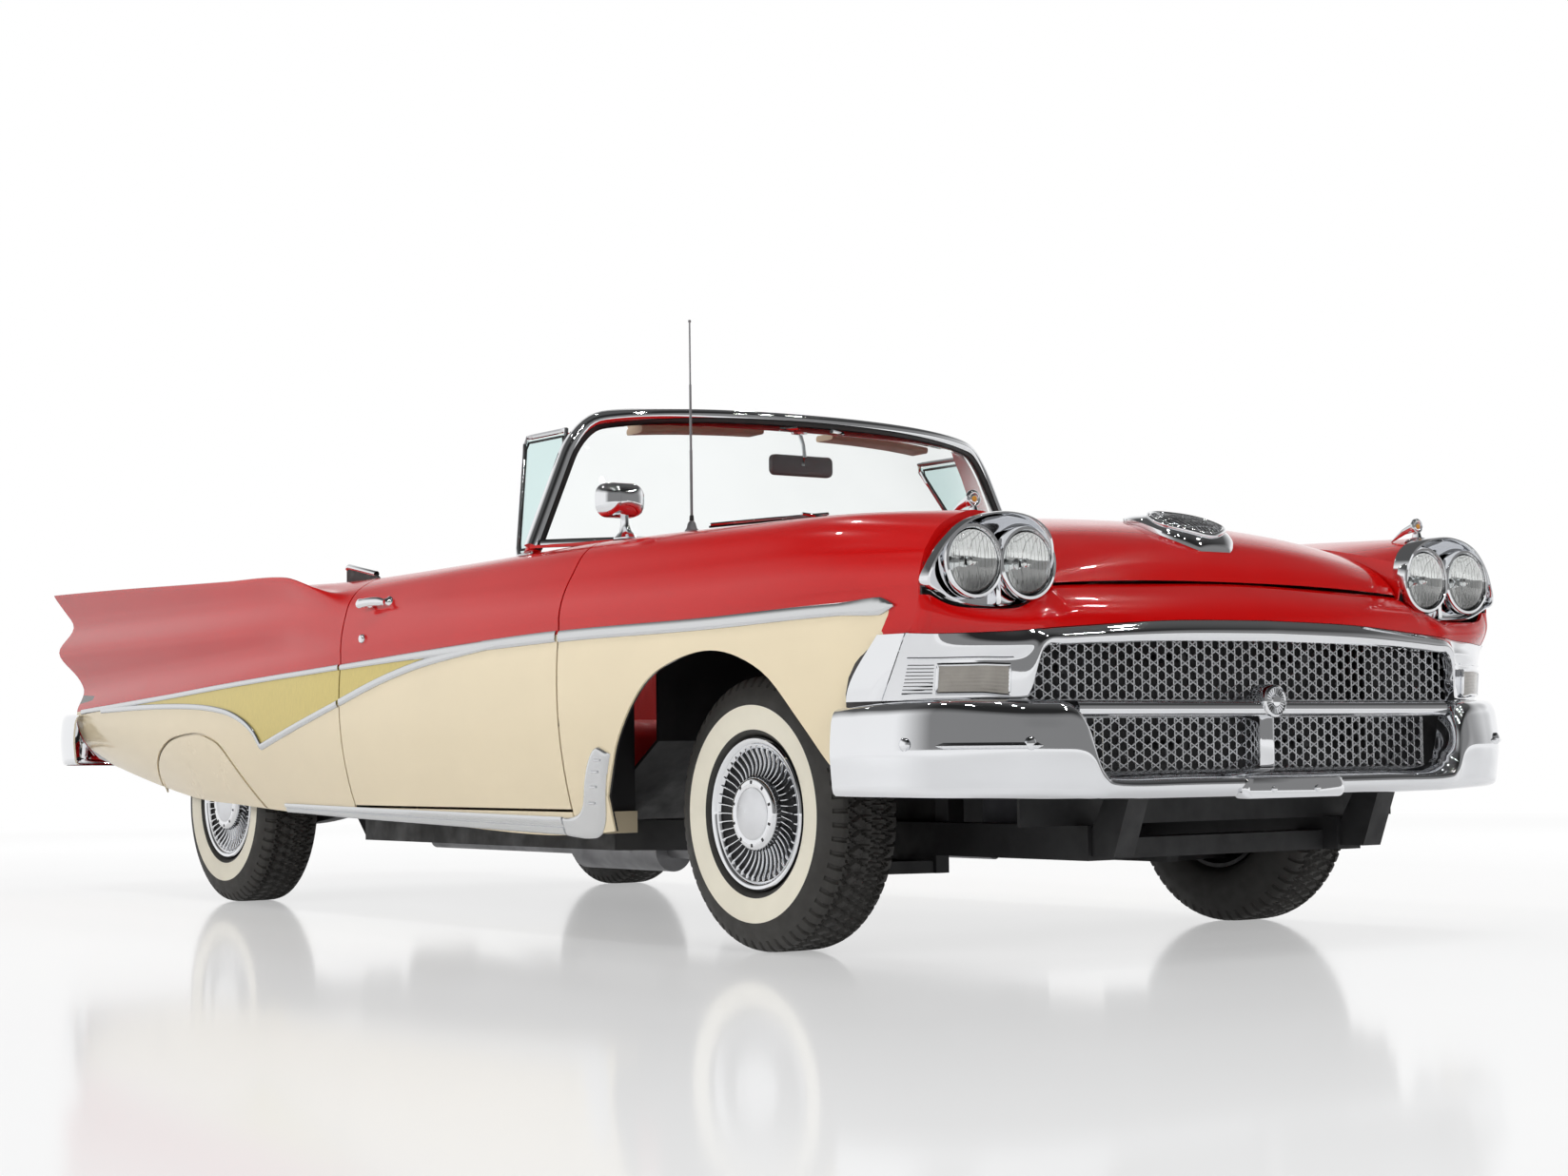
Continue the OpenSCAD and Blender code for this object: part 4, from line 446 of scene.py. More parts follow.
M_WHITE = surface("whitewall", (0.90, 0.85, 0.71), 0.55, 0, 0.05, 5, 0.15, 0.2, 260)
M_BEIGE = surface("visor_vinyl", (0.62, 0.48, 0.34), 0.6, 0, 0.06, 12, 0.2, 0.6, 600, sheen=0.2)
M_PLATE = surface("mirror_glass", (0.85, 0.87, 0.88), 0.02, 1.0, 0.01, 3, 0.2)
M_GREY = surface("grey_plastic", (0.22, 0.22, 0.23), 0.42, 0, 0.08, 10, 0.2, 0.2, 500)
M_AMBER = surface("amber_centre", (0.70, 0.33, 0.05), 0.25, 0.2, 0.1, 60, 0.2, 0.1, 700)
M_CLOTH = surface("boot_vinyl", (0.80, 0.72, 0.56), 0.6, 0, 0.06, 8, 0.2, 0.6, 500, sheen=0.2)


def hide(name, col, grain_scale=260.0):
    """Grained vinyl leather with creases and a soft sheen."""
    m, nt, b = new_mat(name)
    vec = coords(nt)
    n = noise(nt, vec, 7.0, 4)
    nt.links.new(blend_col(nt, ramp(nt, n, 0, 1), tone(col, 0.86), tone(col, 1.10)), b.inputs["Base Color"])
    nt.links.new(ramp(nt, noise(nt, vec, 30.0), 0.36, 0.54), b.inputs["Roughness"])
    v = nt.nodes.new("ShaderNodeTexVoronoi")
    fill(v, {"Scale": grain_scale})
    nt.links.new(vec, v.inputs["Vector"])
    bump(nt, b, v.outputs["Distance"], 0.35, 0.0008)
    fill(b, {"Sheen Weight": 0.15})
    return m


M_SEAT = hide("seat_red", (0.42, 0.020, 0.018))
M_SEAT2 = hide("seat_cream", (0.74, 0.64, 0.48))


def side_paint():
    """Red above the moulding, cream below it, and the gold insert between its trim lines; the inner faces
    take a near-black painted shade.
    """
    m, nt, b = new_mat("side_paint")
    vec = coords(nt)

    def over(attr):
        a = nt.nodes.new("ShaderNodeAttribute")
        a.attribute_name = attr
        g = nt.nodes.new("ShaderNodeMath")
        g.operation = "GREATER_THAN"
        g.inputs[1].default_value = 0.0
        nt.links.new(a.outputs["Fac"], g.inputs[0])
        return g.outputs[0]

    cloud = ramp(nt, noise(nt, vec, 3.0), 0, 1)
    red = blend_col(nt, cloud, tone(RED, 0.97), tone(RED, 1.03))
    cream = blend_col(nt, cloud, tone(CREAM, 0.98), tone(CREAM, 1.02))
    brushed = ramp(nt, noise(nt, coords(nt, (1, 1, 0.1)), 420.0), 0, 1)
    gold = blend_col(nt, brushed, tone(GOLD, 0.93), tone(GOLD, 1.07))
    top, ins = over("above_line"), over("in_gold")
    col = blend_col(nt, top, blend_col(nt, ins, cream, gold), red)
    # The inner faces take this painted shade in place of the paint
    inner_shade = blend_col(nt, cloud, tone(INNER_SHADE, 0.9), tone(INNER_SHADE, 1.1))
    nt.links.new(blend_col(nt, over("inner_face"), col, inner_shade), b.inputs["Base Color"])
    metal = combine(nt, "MULTIPLY", ins, ramp(nt, top, 1, 0, 0, 1))
    nt.links.new(ramp(nt, metal, 0.0, 0.55, 0, 1), b.inputs["Metallic"])
    nt.links.new(ramp(nt, metal, 0.22, 0.38, 0, 1), b.inputs["Roughness"])
    fill(b, {"Coat Weight": 0.6, "Coat Roughness": 0.025, "Specular IOR Level": UNDER_COAT})
    bump(nt, b, noise(nt, vec, 900.0, 2.0), 0.02, 0.0005)
    return m


M_SIDE = side_paint()


def post_paint():
    """Body colour, with near-black painted shade on the faces that look forward into the wheel arch."""
    m, nt, b = new_mat("post_paint")
    tc = nt.nodes.new("ShaderNodeTexCoord")
    parts = nt.nodes.new("ShaderNodeSeparateXYZ")
    nt.links.new(tc.outputs["Normal"], parts.inputs[0])
    ahead = ramp(nt, parts.outputs["X"], 0, 1, 0.45, 0.55)
    cloud = ramp(nt, noise(nt, coords(nt), 5.0), 0, 1)
    # Near black, painted as the shade inside the wheel arch
    black = blend_col(nt, cloud, (0.010, 0.010, 0.011), (0.018, 0.018, 0.019))
    nt.links.new(blend_col(nt, ahead, RED, black), b.inputs["Base Color"])
    nt.links.new(ramp(nt, ahead, 0.3, 0.6, 0, 1), b.inputs["Roughness"])
    return m


M_POST = post_paint()


def clear(name, col, ior=1.45, rough=0.0):
    m, nt, b = new_mat(name)
    vec = coords(nt)
    cloud = ramp(nt, noise(nt, vec, 4.0), 0, 1)
    nt.links.new(blend_col(nt, cloud, tone(col, 0.985), tone(col, 1.015)), b.inputs["Base Color"])
    fill(b, {"Roughness": rough, "Transmission Weight": 1.0, "IOR": ior})
    return m


M_GLASS = clear("screen_glass", (0.95, 0.975, 0.97), 1.25)
M_TINT = clear("vent_glass", (0.70, 0.86, 0.85), 1.25)
M_LENS = clear("lens_clear", (0.96, 0.96, 0.95), 1.4, 0.02)
M_PARK = surface("park_lens", (0.33, 0.31, 0.28), 0.2, 0, 0.08, 30, 0.2, 0.3, 300, 0.6)
M_TAIL = surface("tail_lens", (0.42, 0.006, 0.008), 0.12, 0, 0.08, 30, 0.2, 0.2, 300, 0.8)

# Body side lines
# Thousandths of these sizes, from the nose back: x, lower edge, bulge, moulding, fin and crown lines
SIDE_UNITS = np.array([WHEELBASE, HALF_W, BELT, HALF_W, HALF_W, BELT, HALF_W, HALF_W, HALF_W, BELT,
                       HALF_W, BELT, HALF_W, BELT, HALF_W, BELT])
SIDE = np.array([
    [250, 895, 400, 10, 918, 781, 8, 0, 893, 888, 842, 940, 728, 966, 582, 892],
    [133, 934, 380, 20, 962, 778, 12, 0, 936, 905, 898, 958, 820, 985, 632, 958],
    [0, 939, 330, 25, 981, 770, 12, 0, 947, 905, 907, 965, 828, 994, 672, 985],
    [-214, 934, 262, 28, 988, 768, 12, 0, 949, 905, 907, 968, 845, 997, 720, 1002],
    [-434, 934, 275, 28, 990, 750, 12, 0, 952, 900, 908, 960, 850, 986, 800, 985],
    [-611, 929, 287, 28, 988, 731, 10, 0, 958, 905, 925, 945, 862, 978, 800, 975],
    [-690, 920, 292, 30, 986, 722, 4, 6, 963, 962, 925, 955, 862, 980, 798, 976],
    [-755, 914, 298, 30, 983, 715, 0, 12, 964, 1003, 920, 982, 860, 985, 796, 978],
    [-900, 902, 318, 31, 976, 697, 0, 19, 961, 1016, 916, 991, 855, 988, 762, 978],
    [-1034, 889, 340, 32, 968, 678, 0, 26, 957, 1028, 912, 1000, 850, 990, 715, 980],
    [-1340, 869, 470, 25, 938, 642, 0, 38, 945, 1057, 904, 1022, 838, 990, 680, 945],
]) / 1000.0 * SIDE_UNITS
_rows = {}


def line_row(x):
    k = round(x, 3)
    if k not in _rows:
        _rows[k] = row_at(SIDE, x)
    return _rows[k]


def lower_y(r, z):
    t = (z - r[2]) / (r[5] - r[2])
    return mix(r[1], r[4], t) + r[3] * 4 * t * (1 - t)


def upper_y(r, t):
    return mix(r[4], r[8], t) + r[6] * 4 * t * (1 - t) + r[7] * (math.cos(math.radians(720 * t)) - 1) / 2


def side_y(x, z):
    """Half width of the body side at height z, below the fender's edge."""
    r = line_row(x)
    return lower_y(r, z) if z <= r[5] else upper_y(r, min(1.0, (z - r[5]) / (r[9] - r[5])))


def knots(x, z0):
    r = line_row(x)
    k = [(lower_y(r, z), z) for z in (mix(z0, r[5], t) for t in (0, 1 / 3, 2 / 3))]
    k += [(upper_y(r, t), mix(r[5], r[9], t)) for t in (0, 0.25, 0.5, 0.75)]
    return k + [(r[8], r[9]), (r[10], r[11]), (r[12], r[13]), (r[14], r[15])]


SKIN = np.array([[1, 0]] * 6 + [[1.2, 0], [2.2, 3.2], [1.2, 1.6], [0.3, 1.2], [0, 1.2]], float)


def side_grid(rows, last, per=5, low=12):
    """Outer and inner points of a right side panel. Rows are (x, lower edge); last is the last key."""
    out, ins = [], []
    ups = steps(3, last, int((last - 3) * per))
    for x, z0 in rows:
        k = knots(x, z0)
        r = line_row(x)
        ro, ri = [], []
        for t in steps(0, 1, low)[:-1]:
            z = mix(z0, r[5], t)
            y = lower_y(r, z)
            ro.append((x, -y, z))
            ri.append((x, -y + WALL, z))
        for s in ups:
            p = curve_at(k, s)
            d = curve_at(SKIN, s) * WALL
            ro.append((x, -p[0], p[1]))
            ri.append((x, -p[0] + d[0], p[1] - d[1]))
        out.append(ro)
        ins.append(ri)
    return out, ins


# Trim lines on the side
SPEAR = [(-700, 757), (-950, 745), (-1300, 717), (-1575, 674), (-1869, 610), (-2182, 543), (-2394, 497)]
TAIL_TRIM = [(-2394, 497), (-2435, 541), (-2517, 580), (-2643, 609), (-2876, 629), (-3263, 637), (-3760, 634)]
TIP = -2394.0


def gold_low(x):
    if x > -700 or x < -3800:
        return 9999.0
    return row_at(SPEAR, x)[1] if x >= TIP else row_at(TAIL_TRIM, x)[1]


NOSE_X, NOSE_LOW_X, NOSE_LOW_Z = 0.2336 * WHEELBASE, 0.190 * WHEELBASE, 560.0
CORNER_WRAP, CORNER_LOW = 78.0, 704.0


def nose_edge(z):
    """Where the fender's front edge lies at height z."""
    share = ease((z - NOSE_LOW_Z) / (line_row(NOSE_X)[5] - NOSE_LOW_Z))
    return NOSE_X - mix(NOSE_X - NOSE_LOW_X, 0, share)


def above_line(x, y, z):
    """Over zero where the side is red: above the moulding, and round the corner over the grille."""
    return max(z - line_row(x)[5] + 8, min(x - nose_edge(z) + CORNER_WRAP, z - CORNER_LOW))


def in_gold(x, y, z):
    return z - gold_low(x)


def inner_face(x, y, z):
    """Over zero on the side's inner face, below the edges where its top begins and ends."""
    r = line_row(x)
    return min(side_y(x, z) - abs(y) - WALL / 2, min(r[9], r[15]) - 30 - z)


DOOR_ATTRS = {"above_line": above_line, "in_gold": in_gold}
SIDE_ATTRS = {**DOOR_ATTRS, "inner_face": inner_face}


def pair(name, body, shape, mats, slot=None, node=None, sharp=38, attrs=None):
    """The right piece and its mirror image."""
    for side, s in (("right", shape), ("left", shape.mirrored())):
        b = body.replace("SIDE", side)
        s.make(name + "_" + side, b, mats, slot, (node + "_" + side,) if node else (), sharp, attrs)


# Front fender
ARCH_X, ARCH_HALF, ARCH_LOW, ARCH_RISE = -5, 455, 360, 335
ARCH = [(-1, 0), (-0.92, 0.18), (-0.81, 0.42), (-0.63, 0.69), (-0.45, 0.86), (-0.19, 0.967), (0.06, 1),
        (0.30, 0.943), (0.54, 0.79), (0.76, 0.487), (0.90, 0.25), (1, 0.1)]


def sill(x):
    return line_row(x)[2]


fender_rows = [(x, sill(x)) for x in steps(DOOR_FRONT + GAP, -467, 10)]
for s in steps(0, len(ARCH) - 1, 44):
    a = curve_at(ARCH, s)
    x = ARCH_X + ARCH_HALF * a[0]
    if x > fender_rows[-1][0] + 1:
        fender_rows.append((x, ARCH_LOW + ARCH_RISE * a[1]))
fender_rows += [(x, sill(x)) for x in steps(462, NOSE_X, 14)]


def lean(p):
    x0, x1 = 450.0, NOSE_X
    if p[0] < x0:
        return p
    back = x1 - nose_edge(p[2])
    return (p[0] - back * (p[0] - x0) / (x1 - x0), p[1], p[2])


fo, fi = side_grid(fender_rows, 10)
fo, fi = [[[lean(p) for p in r] for r in g] for g in (fo, fi)]
pair("fender", "shell", Shape().skin(fo, fi), [M_SIDE], "red_paint", "fender", 40, SIDE_ATTRS)

# Doors: outer skin, flat inner face
do, _ = side_grid([(x, DOOR_LOW) for x in steps(DOOR_FRONT, DOOR_REAR, 40)], 9)
di = [[(p[0] + (15 if p[0] <= DOOR_REAR + 0.01 else 0), -CABIN_HALF, p[2]) for p in r] for r in do]
PIN_X, PIN_Y, PIN_R, PIN_ZS = DOOR_FRONT - 60, HALF_W - 20, 3.7, (548.0, 718.0)
POCKET_BACK, POCKET_IN, POCKET_HALF = 8.5, 72.5, 18.0
PIN_HALF = POCKET_HALF + 1
pockets, pins = Shape(), Shape()
for z in PIN_ZS:
    pockets.block((PIN_X - POCKET_BACK, -PIN_Y - POCKET_BACK, z - POCKET_HALF),
                  (DOOR_FRONT + 5, -PIN_Y + POCKET_IN, z + POCKET_HALF))
    pins.lathe([(0, -PIN_HALF), (PIN_R, -PIN_HALF), (PIN_R, PIN_HALF), (0, PIN_HALF)],
               upright(PIN_X, -PIN_Y, z), 20)
door = cut(Shape().skin(do, di), pockets)
pair("door", "door_unit_SIDE", door, [M_SIDE], "red_paint", "door", 40, DOOR_ATTRS)
pair("hinge_pins", "door_unit_SIDE", pins, [M_STEEL], "bare_steel")

# Rear quarters with their fins
SKIRT = [(-1, 0.2), (-0.9, 0.48), (-0.74, 0.715), (-0.52, 0.88), (-0.31, 0.96), (0.1, 1), (0.32, 0.94),
         (0.5, 0.82), (0.73, 0.46), (0.88, 0.2), (1, 0)]
SK_MID, SK_HALF, SK_LOW, SK_RISE, SK_GAP = -WHEELBASE + 72, 447.0, 300.0, 243.0, 4.0
TAIL_X, LEAN_LONG = SIDE[-1][0], 700
LEAN = np.array([[0.44, -0.020], [0.64, -0.008], [0.70, -0.008], [0.76, 0.02], [0.85, 0.048], [0.93, 0.03],
                 [1.0, 0.05], [1.08, 0.066]]) * [BELT, WHEELBASE]


def tail_shift(p):
    t = limit01((TAIL_X + LEAN_LONG - p[0]) / LEAN_LONG)
    return (p[0] - row_at(LEAN, p[2])[1] * t * t, p[1], p[2]) if t > 0 else p


quarter_rows = [(x, sill(x)) for x in steps(DOOR_REAR - GAP, SK_MID + SK_HALF + SK_GAP, 22)]
for s in steps(len(SKIRT) - 1, 0, 44):
    a = curve_at(SKIRT, s)
    x = SK_MID + SK_HALF * a[0]
    if x < quarter_rows[-1][0] - 1:
        quarter_rows.append((x, max(SK_LOW + SK_RISE * a[1] + SK_GAP, sill(x))))
quarter_rows += [(x, sill(x)) for x in steps(SK_MID - SK_HALF - 14, TAIL_X, 26)]
qo, qi = side_grid(quarter_rows, 10, 7)
qo, qi = [[[tail_shift(p) for p in r] for r in g] for g in (qo, qi)]
pair("quarter", "shell", Shape().skin(qo, qi), [M_SIDE], "red_paint", "quarter", 32, SIDE_ATTRS)

# Front corners of the lowered quarter windows
WEDGE = [(-1900, 984), (-1920, 996), (-2092, 1028), (-2104, 1024), (-2104, 984)]
wedge = Shape().loft([[(x, y, z) for x, z in WEDGE] for y in (-822, -814)], 1)
wedge.tube([(x, -818, z + 1) for x, z in WEDGE[1:4]], 9, 10, 0)
wedge.both().make("quarter_window_corners", "shell", [M_CHROME, M_RUBBER], "chrome", (), 40)

# Wheel skirts
sk_o = []
for s in steps(0, len(SKIRT) - 1, 40):
    a = curve_at(SKIRT, s)
    x = SK_MID + (SK_HALF - 3 * SK_GAP) * a[0]
    r = line_row(x)
    z0 = r[2]
    z1 = max(SK_LOW + SK_RISE * a[1] - SK_GAP, z0 + 3)
    sk_o.append([(x, -lower_y(r, z), z) for z in steps(z0, z1, 10)])
FLANGE_IN, FLANGE_T, FLANGE_H = WALL + 1.2, 5.0, 22.0
top_edge = [r[-1] for r in sk_o[2:-4]]
flange = [[(x, y + FLANGE_IN, z + dz) for dz in (-FLANGE_H, FLANGE_H)] for x, y, z in top_edge]
skirts = Shape().skin(sk_o, shifted(sk_o, dy=WALL)).skin(flange, shifted(flange, dy=FLANGE_T))
skirts.both().make("wheel_skirts", "shell", [M_CREAM], "cream_paint", ("fender_skirts",))

# Hood
HOOD_X, HOOD_L, HOOD_W, HOOD_H, HOOD_WALL = 729.0, 729.0 + 480.0, 690.0, 835.0, 12
HC = [(0, 0.835), (0.032, 0.885), (0.09, 0.938), (0.19, 0.982), (0.35, 1.010), (0.60, 1.026), (1, 1.022)]
HE = [(0.005, 0.820), (0.032, 0.850), (0.09, 0.892), (0.19, 0.934), (0.35, 0.968), (0.60, 0.988), (1, 1.003)]
HW = [(0.795,), (0.81,), (0.835,), (0.87,), (0.915,), (0.955,), (1.0,)]


def hood_pt(u, v):
    c, e, w = curve_at(HC, u), curve_at(HE, u), curve_at(HW, u)[0]
    z = HOOD_H / HC[0][1] * mix(c[1], e[1], abs(v) ** 2.4)
    return (HOOD_X - HOOD_L * mix(c[0], e[0], v * v), v * w * HOOD_W, z)


def hood_in(p):
    k = ease((p[0] - HOOD_X * 0.82) / (HOOD_X * 0.18))
    return (p[0] - HOOD_WALL * ease(k * 3), p[1], p[2] - HOOD_WALL * (1 - k))


ho = [[hood_pt(u, v) for v in steps(-1, 1, 56)] for u in steps(0, 6, 54)]
hood = Shape().skin(ho, [[hood_in(p) for p in r] for r in ho])
hood.make("hood_panel", "hood_unit", [M_RED], "red_paint", ("hood",), 40)

# Red wall from the fender's inner edge down beside the hood
HOOD_EDGE = [hood_pt(u, 1) for u in steps(0, 6, 60)][::-1]


def wall_row(x, out):
    k = knots(x, sill(x))[10]
    hx, hy, hz = zip(*HOOD_EDGE)
    foot = (np.interp(x, hx, hy) + GAP, np.interp(x, hx, hz) - 16)
    return [(x, -mix(k[0], foot[0], t) - out, mix(k[1], foot[1], t)) for t in steps(0, 1, 6)]


wall_x = steps(430, 722, 24)
fender_walls = Shape().skin([wall_row(x, 0) for x in wall_x], [wall_row(x, 5) for x in wall_x])
fender_walls.both().make("fender_walls", "shell", [M_RED], "red_paint", (), 50)

# Trunk lid and deck
LID_X, LID_L, LID_WALL, DECK_X = -WHEELBASE + 60, 1245.0, 14, -2720.3
LC = [(0, 0.985), (0.35, 0.992), (0.72, 0.975), (0.92, 0.93), (1, 0.85), (1.01, 0.72)]
LE = [(0, 0.974), (0.35, 0.978), (0.72, 0.962), (0.92, 0.92), (1, 0.85), (1.01, 0.73)]


def lid_pt(u, v):
    c, e = curve_at(LC, u), curve_at(LE, u)
    x = LID_X - LID_L * e[0]
    w = (line_row(max(x, TAIL_X))[14] - GAP) * mix(1, 0.985, ease((TAIL_X - x) / LID_L * 6))
    return (LID_X - LID_L * mix(c[0], e[0], v * v), w * v, BELT * mix(c[1], e[1], v * v))


lo_g = [[lid_pt(u, v) for v in steps(-1, 1, 40)] for u in steps(0, 5, 45)]
li_g = []
for u, row in zip(steps(0, 5, 45), lo_g):
    forward, down = LID_WALL * ease((u - 3) / 1.5), LID_WALL * (1 - ease(u - 4))
    li_g.append([(x + forward, y, z - down) for x, y, z in row])
Shape().skin(lo_g, li_g).make("lid_panel", "lid_unit", [M_RED], "red_paint", ("trunk_lid",), 40)


def deck_pt(t, v):
    a = lid_pt(0, v)
    x = mix(DECK_X, a[0] + GAP, t)
    return (x, v * (line_row(x)[14] - 0.3), a[2])


dk = [[deck_pt(t, v) for v in steps(-1, 1, 40)] for t in steps(0, 1, 12)]
deck = Shape().skin(dk, shifted(dk, dz=-WALL))
deck.make("deck_panel", "shell", [M_RED], "red_paint", ("rear_deck",), 40)

# Front panel under the hood
REACH, SURROUND_WALL, WRAP_LOW, WRAP_TOP = 814.0, 26, 566, 706
PANEL = [(-0.900, 0.868, 0.938), (-0.86, 0.893, 0.912), (-0.80, 0.908, 0.905), (-0.70, 0.915, 0.907),
         (-0.65, 0.915, 0.922), (-0.61, 0.893, 0.945), (-0.575, 0.888, 0.962), (-0.545, 0.886, 0.972),
         (-0.36, 0.890, 0.981), (0, 0.895, 0.991)]
PANEL += [(-a, b, c) for a, b, c in reversed(PANEL[:-1])]
SURR = [(0, 1.000, 0.743, 1.000, 0.697), (0.30, 0.994, 0.738, 0.994, 0.693),
        (0.58, 0.972, 0.721, 0.972, 0.682), (0.66, 0.962, 0.715, 0.962, 0.670),
        (0.70, 0.950, 0.711, 0.950, 0.568), (0.80, 0.918, 0.706, 0.912, 0.566),
        (0.88, 0.870, 0.704, 0.850, 0.566), (0.92, 0.842, 0.705, 0.785, 0.566),
        (0.938, 0.826, 0.706, 0.725, 0.566)]


def panel_pt(u, t):
    r = curve_at(PANEL, u)
    b = row_at(SURR, abs(r[0]))
    x = REACH * mix(r[1], b[1], t) + 14 * math.sin(math.pi * t)
    return (x, HALF_W * r[0], mix(HOOD_H * r[2] + 2.5, BELT * b[2] + 1.2, t))


pg = [[panel_pt(u, t) for t in steps(0, 1, 10)] for u in steps(0, len(PANEL) - 1, 108)]
nose = Shape().skin(pg, shifted(pg, dx=-WALL))
nose.make("nose_panel", "shell", [M_RED], "red_paint", ("front_panel",), 50)


def fender_edge(z):
    """The point at height z on the right fender's front edge."""
    low = [q for q in fo[-1] if q[2] <= line_row(NOSE_X)[9]]
    zs = [q[2] for q in low]
    return np.array([np.interp(z, zs, [q[0] for q in low]), np.interp(z, zs, [q[1] for q in low]), z])


def corner_row(t, inset):
    """From the nose panel's end round to the fender's edge."""
    a = np.array(panel_pt(0, t))
    b = fender_edge(a[2])
    c = np.array([mix(a[0], b[0], 0.2), mix(a[1], b[1], 0.8), a[2]])
    arc = [(1 - w) ** 2 * a + 2 * w * (1 - w) * c + w * w * b for w in steps(0, 1, 8)]
    return [tuple(q + np.array([-inset, inset, 0]) * 0.7) for q in arc]


corners = Shape().skin([corner_row(t, 0) for t in steps(0, 1, 10)],
                       [corner_row(t, 10) for t in steps(0, 1, 10)])
corners.both().make("nose_corners", "shell", [M_RED], "red_paint", (), 50)


def surr_pt(s, t, back):
    r = curve_at(SURR, abs(s))
    side = -1 if s < 0 else 1
    k = ease((r[0] - 0.7) / 0.22)
    housing = ease((abs(s) - 3.2) / 1.2)
    band = 20 * math.sin(math.pi * 0.8 * t)
    roll = 13 * math.sin(math.pi * min(1, t / 0.36)) + 5 * math.sin(math.pi * t)
    return (REACH * mix(r[1], r[3], t) + mix(band, roll, housing) * (1 - k) - back * (1 - k),
            side * (HALF_W * r[0] - back * k), BELT * mix(r[2], r[4], t))


sg = [[surr_pt(s, t, 0) for t in steps(0, 1, 24)] for s in steps(-8, 8, 128)]
sb = [[surr_pt(s, t, SURROUND_WALL) for t in steps(0, 1, 24)] for s in steps(-8, 8, 128)]
surround = Shape().skin(sg, sb)


# The lamp housings wrap round the corner onto the fenders
def wrap_row(z, proud):
    """Along the fender's side to its front edge and on to the frame's end."""
    row = [(x, -side_y(x, z) - proud, z) for x in steps(nose_edge(z) - CORNER_WRAP, nose_edge(z), 8)]
    end = surr_pt(-8, (WRAP_TOP - z) / (WRAP_TOP - WRAP_LOW), -proud)
    return row + [tuple(mix(np.array(row[-1]), np.array(end), t)) for t in (0.3, 0.6, 1.0)]


heights = steps(WRAP_LOW, WRAP_TOP, 10)
wraps = Shape().skin([wrap_row(z, 3) for z in heights], [wrap_row(z, -3) for z in heights])
wraps.both().make("grille_frame_ends", "shell", [M_CHROME], "chrome", (), 40)
# A lip along the lamp housings and ribs at their outer ends
for sd in (-1, 1):
    surround.tube([surr_pt(sd * s, 0.37, -1.0) for s in steps(4.3, 7.2, 20)], 2.4, 8)
for sd in (-1, 1):
    for i in range(9):
        t0 = 0.48 + 0.42 * i / 8
        surround.tube([surr_pt(sd * s, t0, -0.6) for s in steps(6.05, 7.1, 10)], 2.0, 6)
surround.make("grille_frame", "shell", [M_CHROME], "chrome", ("grille_surround",), 40)

# Bumpers
BUMP = [(0, 1.0015, 0.412, 0.350), (0.30, 1.000, 0.412, 0.351), (0.52, 0.996, 0.413, 0.352),
        (0.572, 0.993, 0.440, 0.353), (0.602, 0.989, 0.530, 0.354), (0.635, 0.984, 0.562, 0.355),
        (0.70, 0.972, 0.566, 0.357), (0.80, 0.937, 0.566, 0.360), (0.91, 0.852, 0.565, 0.362),
        (0.965, 0.750, 0.562, 0.364), (0.985, 0.648, 0.557, 0.365), (0.988, 0.570, 0.552, 0.366)]
REAR_BUMP = [(0, 1.0015, 0.600, 0.440), (0.30, 1.000, 0.600, 0.440), (0.55, 0.993, 0.610, 0.442),
             (0.72, 0.976, 0.622, 0.444), (0.84, 0.944, 0.628, 0.445), (0.92, 0.892, 0.628, 0.446),
             (0.965, 0.808, 0.626, 0.448), (0.978, 0.705, 0.622, 0.450)]
# Heights of the rolled upper edge and the tucked lower edge
ROLL, TUCK = 36.0, 22.0
FRONT_REACH, REAR_REACH, BUMPER_WALL = 885.0, 1376.0, 16


def bump_pt(tab, reach, s, t, back):
    r = curve_at(tab, abs(s))
    side = -1 if s < 0 else 1
    k = ease((r[0] - 0.72) / 0.22)
    top, foot = (BELT * (r[2] - r[3]) * share for share in (t, 1 - t))
    rolled = 1 - math.sqrt(1 - max(0, 1 - top / ROLL) ** 2)
    tucked = 1 - math.sqrt(1 - max(0, 1 - foot / TUCK) ** 2)
    o = 0.035 * reach - 46 * rolled - 22 * tucked - 7 * math.cos(2 * math.pi * t) - back
    x = reach * r[1] - 0.035 * reach + o * (1 - k)
    return (x, side * (HALF_W * r[0] - 0.014 * reach * k + o * k * 0.4), BELT * mix(r[2], r[3], t))


def bumper(tab, reach):
    n = len(tab) - 1
    ss, ts = steps(-n, n, 24 * n), steps(0, 1, 36)
    outer, inner = ([[bump_pt(tab, reach, s, t, back) for t in ts] for s in ss] for back in (0, BUMPER_WALL))
    return Shape().skin(outer, inner)


STUD = [(0, -4), (14, -4), (14, 3), (11, 6), (6, 7.5), (0, 8)]
fb = bumper(BUMP, FRONT_REACH)
for sd in (-1, 1):
    for s in (6.55, 8.55):
        p = Vector(bump_pt(BUMP, FRONT_REACH, sd * s, 0.45, 0))
        q = Vector(bump_pt(BUMP, FRONT_REACH, sd * s, 0.45, -10))
        fb.lathe(STUD, along(p, (q - p).normalized()), 20, 0)
    fb.tube([bump_pt(BUMP, FRONT_REACH, sd * s, 0.47, -1.0) for s in steps(6.3, 7.95, 14)],
            [1] + [6.5] * 13 + [1], 8, 0)
tag = rounded_rect(330, 46, 20, 6)
TAG_STEPS = ((862, 1.0), (888, 1.0), (893, 0.97), (895, 0.9))
fb.loft([[(x, a * k, 369 + b * k) for a, b in tag] for x, k in TAG_STEPS])
for y in (-70, 70):
    fb.lathe([(0, 0), (8, 0), (7, 4), (0, 5)], facing(894, y, 366), 16)
fb.make("front_bumper_bar", "shell", [M_CHROME], "chrome", ("front_bumper",), 40)
rb = bumper(REAR_BUMP, REAR_REACH)
